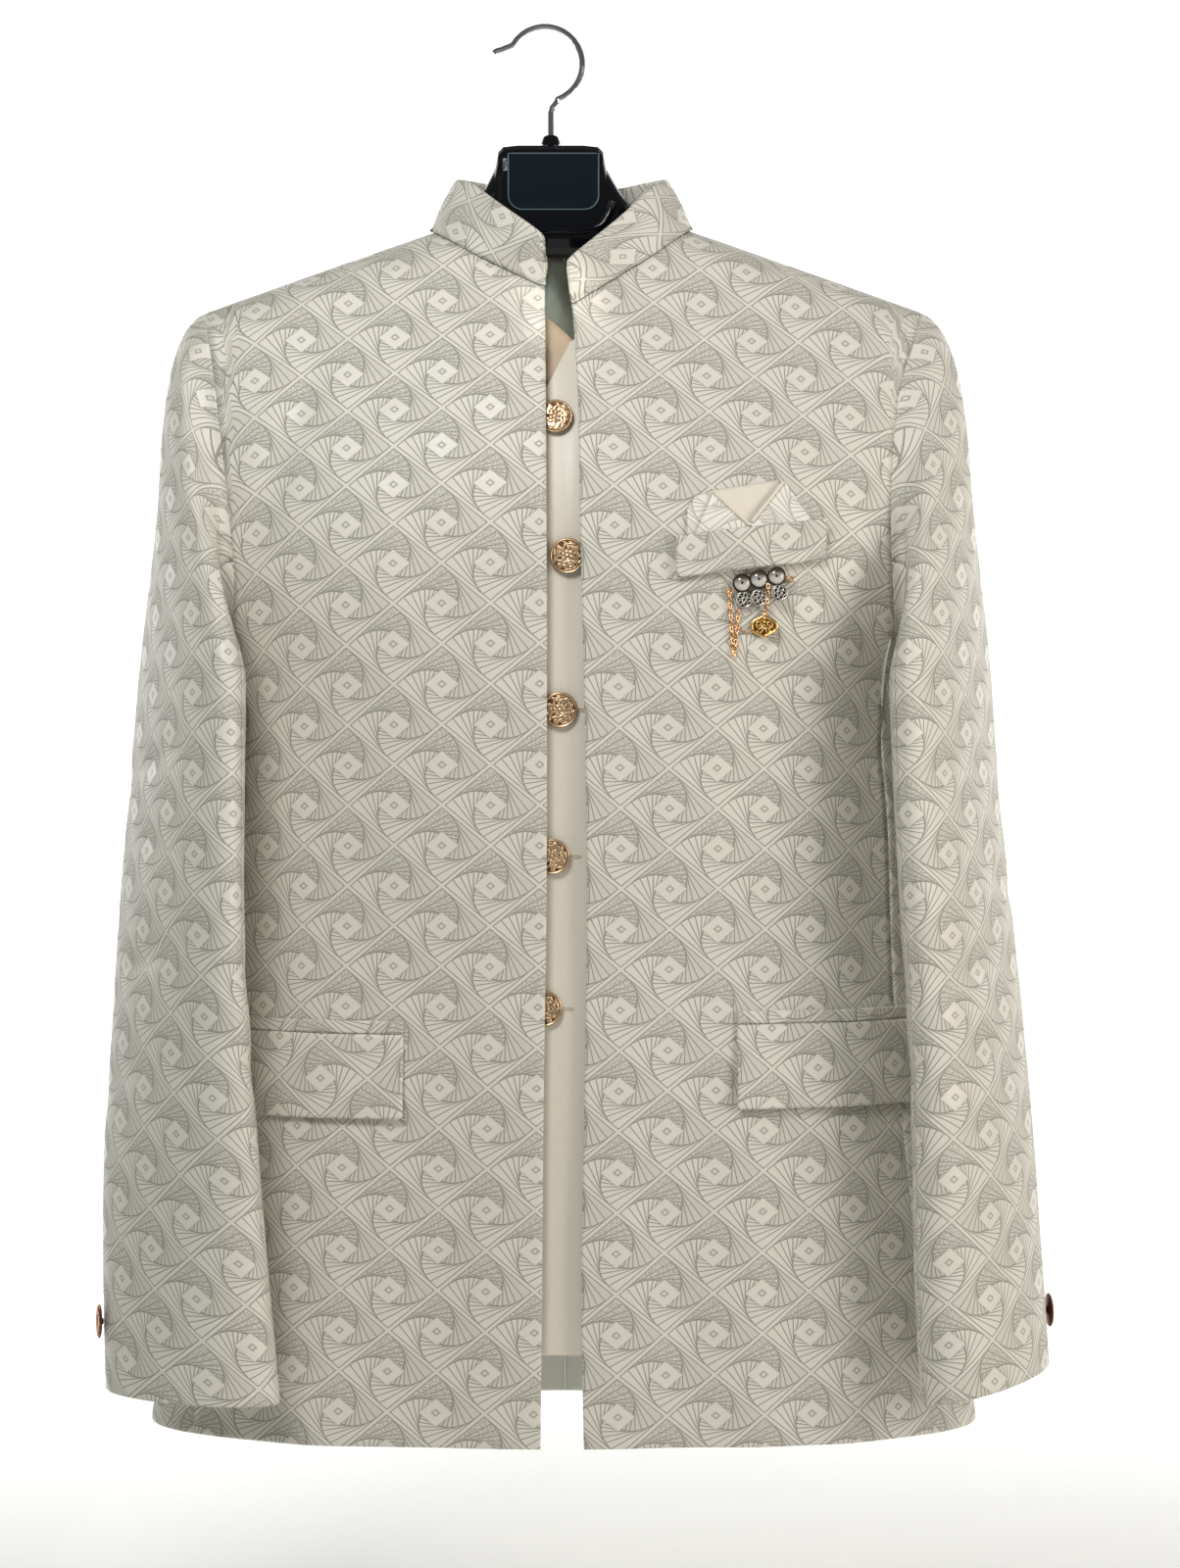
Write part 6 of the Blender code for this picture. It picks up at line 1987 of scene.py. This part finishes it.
    def build(self) -> None:
        """Makes setting, stones, chains, drop and pendant."""
        looks = self.looks
        level = min(self.on_chest(seen, 2.4)[1] for seen in STONES_SEEN + DISCS_SEEN)
        backing = []
        silver = []
        for number, seen in enumerate(STONES_SEEN, start=1):
            spot = self.on_chest(seen, 0.0)
            spot[1] = level
            backing.append(self.dome(spot, self.stone_radius + 0.6, 0.6, 1.4))
            backing.append(self.torus(spot + 0.8 * AHEAD, self.stone_radius + 0.1, 0.5, AHEAD))
            backing.append(self.dome(spot + AHEAD * 3.1, 0.9, 0.7, 0.6))
            silver.append(self.torus(spot + AHEAD * 3.05, 1.35, 0.22, AHEAD, 32, 8))
            cap = self.dome(spot + AHEAD, self.stone_radius - 0.3, 2.4, 0.1)
            stone = self.gather(f"brooch_gem_{number}", [cap], looks.pearl)
            height = np.empty(3 * len(stone.data.vertices), dtype=np.float32)
            stone.data.vertices.foreach_get("co", height)
            rise = (height[2::3] / MM - spot[2]) / self.stone_radius
            layer = stone.data.attributes.new("rise", "FLOAT", "POINT")
            layer.data.foreach_set("value", rise.astype(np.float32))
            declare(stone, "pearl", f"brooch_stone_{number}")
        for number, seen in enumerate(DISCS_SEEN):
            spot = self.on_chest(seen, 0.0)
            spot[1] = level + 0.2
            backing.append(self.dome(spot, self.disc_radius, 0.3, 1.2, 12, 0.04))
            for petal, turn in self.ring_of(spot + AHEAD * 0.65, 2.7, 5):
                silver.append(self.torus(petal, 1.05, 0.30, AHEAD, 24, 8, 1.3, turn + 0.7 + 0.4 * number))
            silver.append(self.torus(spot + AHEAD * 0.6, 4.5, 0.42, AHEAD))
            silver.append(self.torus(spot + AHEAD * 0.8, 1.0, 0.28, AHEAD, 24, 8))
        declare(self.gather("brooch_backing", backing, looks.dark_metal), "silver", "brooch_setting")
        declare(self.gather("brooch_filigree", silver, looks.silver), "silver")
        gold = self.chain(LEFT_CHAIN_SEEN, 1.6, 3.3, 0.46) + self.chain(LINK_CHAIN_SEEN, 1.8, 2.2, 0.28)
        gold.append(self.torus(self.on_chest(LUG_SEEN, 2.2), 1.6, 0.5, AHEAD))
        gold.append(self.torus(self.on_chest(RING_SEEN, 2.2), 1.6, 0.5, AHEAD))
        gold += self.chain(((134.4, -336.0), (137.0, -335.4)), 2.2, 1.8, 0.3)
        declare(self.gather("brooch_link_chain", gold, looks.copper), "gold", "brooch_chain")
        drop = self.chain(DROP_SEEN, 2.0, 3.3, 0.46)
        declare(self.gather("brooch_drop_chain", drop, looks.copper), "gold", "brooch_drop")
        ground, relief = self.pendant()
        declare(self.gather("brooch_pendant_ground", ground, looks.pendant_ground), "gold", "brooch_pendant")
        declare(self.gather("brooch_pendant_relief", relief, looks.gold), "gold")


@dataclass
class Hanger(Piece):
    """Plastic suit hanger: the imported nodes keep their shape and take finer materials."""

    ridge_line: tuple = ((-34.0, -108.0), (-31.0, -117.0), (-23.0, -124.0), (0.0, -126.0), (27.0, -124.5),
                         (35.0, -117.0), (38.0, -108.0))
    ridge_y: float = -17.6
    plate_size: tuple = (27.4, 34.0, 8.6)
    plate_place: tuple = (1.8, -96.4)
    plate_y: float = -18.9

    def build(self) -> None:
        """Gives each node its material."""
        looks = self.looks
        plan = {
            "hanger_body": looks.black_plastic,
            "hanger_socket": looks.black_plastic,
            "hanger_plate": looks.plate_plastic,
            "hanger_hook": looks.chrome,
        }
        for node, finish in plan.items():
            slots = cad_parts[node].material_slots
            for entry in slots:
                entry.link = "OBJECT"
                entry.material = finish
        shift = np.array([GARMENT_X, 0.0, 0.0])
        x, z = np.array(self.ridge_line).T
        share = np.linspace(0, 1, 90)
        steps = np.linspace(0, 1, len(x))
        line = np.stack([look_up(tuple(zip(steps, x)), 1, share), np.full(90, self.ridge_y),
                         look_up(tuple(zip(steps, z)), 1, share)], axis=1)
        ridge = mesh_object("hanger_ridge", *tube_mesh(line - shift, 2.3, sides=20), (looks.black_plastic,))
        declare(ridge, "black_plastic")
        edge = mesh_object("hanger_plate_edge", *tube_mesh(self.plate_line() - shift, 0.42, True),
                           (looks.plate_edge,))
        declare(edge, "plate_plastic")

    def plate_line(self) -> Array:
        """Outline of the plate, its lower corners rounded.

        Returns:
            Points.
        """
        half, height, corner = self.plate_size
        turn = np.linspace(0, 0.5 * math.pi, 16)
        left = np.stack([-half + corner * (1 - np.cos(turn)), -0.5 * height + corner * (1 - np.sin(turn))], 1)
        right = left[::-1] * np.array([-1.0, 1.0])
        top = np.stack([np.linspace(half, -half, 24), np.full(24, 0.5 * height)], 1)
        outline = np.concatenate([left, right, top])
        y = np.full(len(outline), self.plate_y)
        return np.stack([outline[:, 0] + self.plate_place[0], y, outline[:, 1] + self.plate_place[1]], 1)


def linear(colour: str) -> tuple[float, float, float, float]:
    """Linear colour, with 1 for its alpha, of an sRGB hex one such as "#D8D5CB"."""
    parts = [int(colour[k:k + 2], 16) / 255 for k in (1, 3, 5)]
    return tuple(c / 12.92 if c <= 0.04045 else ((c + 0.055) / 1.055) ** 2.4 for c in parts) + (1.0,)


class Paint:
    """Node tree of one material."""

    def __init__(self, name: str) -> None:
        """Starts a material with its surface shader.

        Args:
            name: name of the material.
        """
        self.material = bpy.data.materials.new(name)
        self.material.use_nodes = True
        self.tree = self.material.node_tree
        self.shader = self.tree.nodes["Principled BSDF"]

    def add(self, kind: str, *values: object, out: object = 0, **settings: object) -> bpy.types.NodeSocket:
        """Adds a node, sets its properties and inputs, and links those that are sockets.

        Args:
            kind: type of the node without Blender's prefix, and its operation after a space if it has one.
            values: values or sockets of its first inputs, or a dict of them by name or index.
            out: wanted output.
            settings: properties of the node.

        Returns:
            The output.
        """
        kind, _, operation = kind.partition(" ")
        node = self.tree.nodes.new(f"ShaderNode{kind}")
        if operation:
            node.operation = operation
        for key, value in settings.items():
            setattr(node, key, value)
        inputs = values[0] if values and isinstance(values[0], dict) else dict(enumerate(values))
        for key, value in inputs.items():
            self.feed(node.inputs[key], value)
        return node.outputs[out]

    def feed(self, entry: bpy.types.NodeSocket, value: object) -> None:
        """Links a socket to an input, or sets the input to a value or a hex colour.

        Args:
            entry: the input.
            value: what it gets.
        """
        if isinstance(value, bpy.types.NodeSocket):
            self.tree.links.new(value, entry)
        else:
            entry.default_value = linear(value) if isinstance(value, str) else value

    def grain(self, scale: float, detail: float = 2.0) -> bpy.types.NodeSocket:
        """Uneven grain on Object coordinates, at so many repeats a metre."""
        spot = self.add("VectorMath SCALE", {0: self.add("TexCoord", out="Object"), "Scale": scale})
        return self.add("TexNoise", {"Vector": spot, "Detail": detail})

    def finish(self, height: object = None, deep: float = 0.0, **values: object) -> bpy.types.Material:
        """Sets the surface shader and bumps it.

        Args:
            height: height from 0 to 1, if it is bumped.
            deep: what a height of 1 stands for, in metres.
            values: inputs of the shader, with _ for a space, and their values or sockets.

        Returns:
            The material.
        """
        if height is not None:
            values["Normal"] = self.add("Bump", {"Height": height, "Distance": deep, "Strength": 1.0})
        for key, value in values.items():
            self.feed(self.shader.inputs[key.replace("_", " ")], value)
        return self.material


@dataclass(frozen=True)
class Jacquard:
    """Woven ivory jacquard: nested turning squares in a half-drop lattice of diamonds.

    The pattern is floats of warp on a duller ground, so its hearts shine and its strokes lie low. The cell is
    57.6 mm wide and 47.4 mm high. The threads are finer than the render shows, so the weave is drawn at 0.4 mm.
    """

    across: float = 57.6
    up: float = 47.4
    rings: int = 7
    step_angle: float = 11.25
    first_half: float = 0.467
    heart_half: float = 0.18
    line: float = 0.008
    name: str = "ivory_jacquard"
    light: str = "#E2DED2"
    dark: str = "#6A6656"
    heart: str = "#E4E0D4"

    def build(self) -> bpy.types.Material:
        """Makes the material: each ring is the last one turned and shrunk to touch its sides.

        Returns:
            The material.
        """
        paint = Paint(self.name)
        half = self.first_half
        turn = math.radians(self.step_angle)
        shrink = 1 / (math.cos(turn) + math.sin(turn))
        uv = paint.add("UVMap", uv_map="cloth_mm")
        cell = paint.add("VectorMath DIVIDE", uv, (self.across, self.up, 1.0))
        sides = [paint.add("VectorMath DOT_PRODUCT", cell, (1.0, sign, 0.0), out=1) for sign in (1.0, -1.0)]
        spot = paint.add("CombineXYZ", *[paint.add("Math WRAP", side, 0.5, -0.5) for side in sides])
        lines = dotted_arm = grey_arm = inside = 0.0
        reaches = []
        for ring in range(self.rings + 1):
            if ring > 0:
                turned = paint.add("VectorRotate", {"Vector": spot, "Angle": -turn}, rotation_type="Z_AXIS")
                spot = paint.add("VectorMath SCALE", {0: turned, "Scale": 1 / shrink})
            x, y = paint.add("SeparateXYZ", spot, out=slice(0, 2))
            reach = paint.add("Math MAXIMUM", paint.add("Math ABSOLUTE", x), paint.add("Math ABSOLUTE", y))
            stroke = paint.add("Math COMPARE", reach, half, self.line / shrink**ring)
            lines = paint.add("Math MAXIMUM", lines, stroke)
            under, beside = paint.add("Math LESS_THAN", y, -half), paint.add("Math GREATER_THAN", x, half)
            dotted_arm = paint.add("Math MULTIPLY_ADD", inside, under, dotted_arm)
            grey_arm = paint.add("Math MULTIPLY_ADD", inside, beside, grey_arm)
            inside = paint.add("Math LESS_THAN", reach, half)
            reaches.append(reach)
        heart = paint.add("Math LESS_THAN", reaches[0], self.heart_half)
        eye = paint.add("Math COMPARE", reaches[0], 0.038, 0.014)
        rim = paint.add("Math COMPARE", reaches[0], self.heart_half, 0.010)
        grain = paint.add("TexNoise", {"Vector": uv, "Scale": 0.85, "Detail": 1.0})
        speck = paint.add("Math MULTIPLY_ADD", paint.add("Math GREATER_THAN", grain, 0.50), 0.32, 0.10)
        shade = paint.add("Math MULTIPLY", dotted_arm, speck)
        for mask, level in ((grey_arm, 0.15), (lines, 0.68)):
            shade = paint.add("Math MAXIMUM", shade, paint.add("Math MULTIPLY", mask, level))
        shade = paint.add("Math MULTIPLY", shade, paint.add("Math SUBTRACT", 1.0, heart))
        for mask, level in ((eye, 0.50), (rim, 0.34)):
            shade = paint.add("Math MAXIMUM", shade, paint.add("Math MULTIPLY", mask, level))
        weave = paint.add("TexNoise", {"Vector": uv, "Scale": 2.6, "Detail": 2.0})
        shade = paint.add("Math MULTIPLY_ADD", weave, 0.24, paint.add("Math SUBTRACT", shade, 0.12))
        ground = paint.add("Mix", {0: heart, 6: self.light, 7: self.heart}, out=2, data_type="RGBA")
        colour = paint.add("Mix", {0: shade, 6: ground, 7: self.dark}, out=2, data_type="RGBA")
        height = paint.add("Math MULTIPLY_ADD", shade, -0.6, paint.add("Math MULTIPLY", weave, 0.5))
        rough = paint.add("Math MULTIPLY_ADD", shade, 0.3, paint.add("Math MULTIPLY_ADD", heart, -0.13, 0.46))
        return paint.finish(height, 0.0003, Base_Color=colour, Roughness=rough, Sheen_Weight=0.12,
                            Sheen_Roughness=0.45)


@dataclass(frozen=True)
class Satin:
    """Woven satin: long floats give a soft sheen along the cloth, and a faint lengthwise thread of 0.3 mm."""

    name: str = "cream_satin"
    colour: str = "#F0EADC"
    shade: str = "#E3DAC6"
    roughness: float = 0.36

    def build(self) -> bpy.types.Material:
        """Makes the material.

        Returns:
            The material.
        """
        paint = Paint(self.name)
        uv = paint.add("UVMap", uv_map="cloth_mm")
        stretched = paint.add("Mapping", {0: uv, "Scale": (3.0, 0.12, 1.0)})
        thread = paint.add("TexNoise", {"Vector": stretched, "Scale": 1.0, "Detail": 2.0})
        colour = paint.add("Mix", {0: thread, 6: self.colour, 7: self.shade}, out=2, data_type="RGBA")
        return paint.finish(thread, 0.00006, Base_Color=colour, Roughness=self.roughness, Anisotropic=0.35,
                            Sheen_Weight=0.15, Sheen_Roughness=0.4)


@dataclass(frozen=True)
class ReliefMetal:
    """Cast, antiqued and buffed brass: bright on the ridges of its relief, dark in the hollows."""

    name: str
    bright: str
    dark: str
    roughness: float = 0.28

    def build(self) -> bpy.types.Material:
        """Makes the material.

        Returns:
            The material.
        """
        paint = Paint(self.name)
        relief = paint.add("Attribute", out="Fac", attribute_name="relief")
        lowered = paint.add("Math SUBTRACT", relief, 0.25)
        share = paint.add("Math MULTIPLY_ADD", paint.grain(900.0, 3.0), 0.5, lowered)
        share = paint.add("MapRange", {0: share, 1: 0.0, 2: 0.75})
        colour = paint.add("Mix", {0: share, 6: self.dark, 7: self.bright}, out=2, data_type="RGBA")
        rough = paint.add("Math MULTIPLY_ADD", share, self.roughness - 0.62, 0.62)
        return paint.finish(Base_Color=colour, Metallic=0.9, Roughness=rough)


@dataclass(frozen=True)
class Metal:
    """Plated and polished metal, whose gloss is faintly uneven."""

    name: str
    colour: str
    roughness: float
    grain: float = 0.06

    def build(self) -> bpy.types.Material:
        """Makes the material.

        Returns:
            The material.
        """
        paint = Paint(self.name)
        rough = paint.add("Math MULTIPLY_ADD", paint.grain(700.0), self.grain, self.roughness)
        return paint.finish(Base_Color=self.colour, Metallic=1.0, Roughness=rough)


@dataclass(frozen=True)
class GlossPlastic:
    """Moulded polystyrene: glossy, with the soft waves that a mould leaves, about 3 mm apart."""

    name: str
    colour: str
    roughness: float = 0.07

    def build(self) -> bpy.types.Material:
        """Makes the material.

        Returns:
            The material.
        """
        paint = Paint(self.name)
        return paint.finish(paint.grain(60.0, 1.0), 0.00003, Base_Color=self.colour, Roughness=self.roughness,
                            Specular_IOR_Level=0.35)


@dataclass(frozen=True)
class Pearl:
    """Polished milky glass stone: clouded white under a hard gloss, its top painted dark brown as a painted
    reflection of the room.
    """

    name: str = "milky_stone"
    light: str = "#EFEDE6"
    dark: str = "#B9B4A8"
    shade: str = "#4A3A30"

    def build(self) -> bpy.types.Material:
        """Makes the material.

        Returns:
            The material.
        """
        paint = Paint(self.name)
        rise = paint.add("Attribute", out="Fac", attribute_name="rise")
        upper = paint.add("MapRange", {0: rise, 1: -0.3, 2: 0.6})
        cloud = {0: paint.grain(260.0, 3.0), 6: self.light, 7: self.dark}
        stone = paint.add("Mix", cloud, out=2, data_type="RGBA")
        # painted reflection: toward its top the stone is mixed to dark brown
        colour = paint.add("Mix", {0: upper, 6: stone, 7: self.shade}, out=2, data_type="RGBA")
        return paint.finish(Base_Color=colour, Roughness=0.12, Coat_Weight=0.6)


@dataclass(frozen=True)
class Plain:
    """Matt paint of the stage, and spun sewing thread."""

    name: str
    colour: str
    roughness: float = 0.9
    scale: float = 8.0

    def build(self) -> bpy.types.Material:
        """Makes the material.

        Returns:
            The material.
        """
        paint = Paint(self.name)
        rough = paint.add("Math MULTIPLY_ADD", paint.grain(self.scale), 0.1, self.roughness - 0.05)
        return paint.finish(Base_Color=self.colour, Roughness=rough)


class Looks:
    """Every material of the scene, made once."""

    def __init__(self) -> None:
        """Makes them."""
        self.satin = Satin().build()
        self.jacket_cloth = (Jacquard().build(), Satin("grey_green_lining", "#DEDED3", "#CACBBE", 0.42).build())
        square = Jacquard(name="square_jacquard", light="#F1EEE4", dark="#A5A08E", heart="#F4F1E8")
        self.square_cloth = square.build()
        self.vest_cloth = (self.satin, Satin("vest_lining", "#DBDACD", "#C9C8BB", 0.45).build())
        # painted shade: darker tan satin for the shaded top of the vest's right front
        self.facing = Satin("tan_facing", "#CDB598", "#BCA487").build()
        self.antique_gold = ReliefMetal("antique_gold", "#F0CFA6", "#6A4630").build()
        self.copper_gold = ReliefMetal("copper_gold", "#A8683F", "#2E160E").build()
        self.gold = Metal("gold", "#F8D590", 0.24).build()
        self.pendant_ground = Metal("shaded_gold", "#8A5A22", 0.4).build()
        self.silver = Metal("filigree_silver", "#DEDBD2", 0.28).build()
        self.dark_metal = Metal("oxidised_metal", "#4A4038", 0.35).build()
        self.copper = Metal("copper_gold_wire", "#F0C091", 0.22).build()
        self.chrome = Metal("chrome", "#C6C8CA", 0.08, 0.03).build()
        self.black_plastic = GlossPlastic("black_plastic", "#0A0D11").build()
        self.plate_plastic = GlossPlastic("plate_plastic", "#0F1A22", 0.10).build()
        self.plate_edge = GlossPlastic("plate_edge_plastic", "#5B6870", 0.25).build()
        self.pearl = Pearl().build()
        self.thread = Plain("sewing_thread", "#D9CFBB", 0.7, 900.0).build()
        self.stage = Plain("pale_stage", "#F4F4F2").build()


@dataclass(frozen=True)
class Lamp:
    """One area light, with the angle in degrees that it spreads over."""

    name: str
    place: tuple[float, float, float]
    aim: tuple[float, float, float]
    size: float
    power: float
    colour: str = "#FFFFFF"
    spread: float = 180.0


@dataclass
class Stage:
    """Pale floor and wall, soft lights and the camera at the photo's angle."""

    looks: Looks
    lens_angle: float = 27.0
    floor_z: float = -1.02
    wall_y: float = 3.0
    bend: float = 0.5
    world_light: float = 0.14
    lamps: tuple[Lamp, ...] = (
        Lamp("high_left", (-0.35, -1.0, 0.42), (-0.03, 0.0, -0.52), 0.45, 9.7),
        Lamp("right_side", (1.25, -0.75, -0.25), (0.15, 0.0, -0.5), 0.7, 9.0, "#FFF8EE"),
        Lamp("into_neck", (0.06, -1.0, -0.2), (0.003, 0.0, -0.176), 0.04, 0.0055, "#F4F6EE", 2.2),
        Lamp("wall_left", (-1.9, 1.3, 0.3), (-0.4, 3.0, -0.45), 1.2, 60.0),
        Lamp("wall_right", (1.9, 1.3, 0.3), (0.4, 3.0, -0.45), 1.2, 60.0),
    )

    def sweep(self) -> None:
        """Floor that curves up into a wall, by a quarter circle between them."""
        bend = self.bend
        turn = np.linspace(0, 0.5 * math.pi, 24)
        y = np.concatenate([[-4.0], self.wall_y - bend + bend * np.sin(turn), [self.wall_y]])
        z = np.concatenate([[self.floor_z], self.floor_z + bend - bend * np.cos(turn), [3.0]])
        line = np.stack([0 * y, y, z], axis=1)[:, None]
        points = line + np.array([[-4.0, 0.0, 0.0], [4.0, 0.0, 0.0]])
        points = points.reshape(-1, 3) / MM - np.array([GARMENT_X, 0.0, 0.0])
        mesh_object("pale_backdrop", points, quads(len(y), 2), (self.looks.stage,))

    def light(self) -> None:
        """Adds the lamps and an even pale surrounding."""
        for lamp in self.lamps:
            data = bpy.data.lights.new(lamp.name, "AREA")
            data.size = lamp.size
            data.energy = lamp.power
            data.spread = math.radians(lamp.spread)
            data.color = linear(lamp.colour)[:3]
            obj = bpy.data.objects.new(lamp.name, data)
            obj.location = lamp.place
            way = Vector(lamp.aim) - Vector(lamp.place)
            obj.rotation_euler = way.to_track_quat("-Z", "Y").to_euler()
            bpy.context.scene.collection.objects.link(obj)
        world = bpy.data.worlds.new("pale_surrounding")
        world.use_nodes = True
        background = world.node_tree.nodes["Background"]
        background.inputs[0].default_value = linear("#FFFFFF")
        background.inputs[1].default_value = self.world_light
        bpy.context.scene.world = world
        bpy.context.scene.view_settings.view_transform = "Standard"

    def camera(self) -> None:
        """Puts the camera where the photo was taken from."""
        data = bpy.data.cameras.new("photo_camera")
        data.sensor_fit = "VERTICAL"
        data.angle = math.radians(self.lens_angle)
        obj = bpy.data.objects.new("photo_camera", data)
        obj.location = [value * MM for value in EYE]
        obj.rotation_euler = (math.pi / 2, 0.0, 0.0)
        bpy.context.scene.collection.objects.link(obj)
        bpy.context.scene.camera = obj

    def build(self) -> None:
        """Makes the whole stage."""
        self.sweep()
        self.light()
        self.camera()


def main() -> None:
    """Builds the scene, piece by piece."""
    logging.basicConfig(level=logging.INFO)
    shape = Shape()
    looks = Looks()
    sleeves = {side: Sleeve(shape, looks, side) for side in Side}
    parts = [JacketBody(shape, looks), *sleeves.values(), Collar(shape, looks)]
    parts += [Pocket(shape, looks, side) for side in Side]
    parts += [ChestPocket(shape, looks), Vest(shape, looks), Fastenings(shape, looks, sleeves)]
    parts += [Brooch(shape, looks), Hanger(shape, looks), Stage(looks)]
    for part in parts:
        part.build()
        LOG.info("built %s", type(part).__name__)


if __name__ == "__main__":
    main()
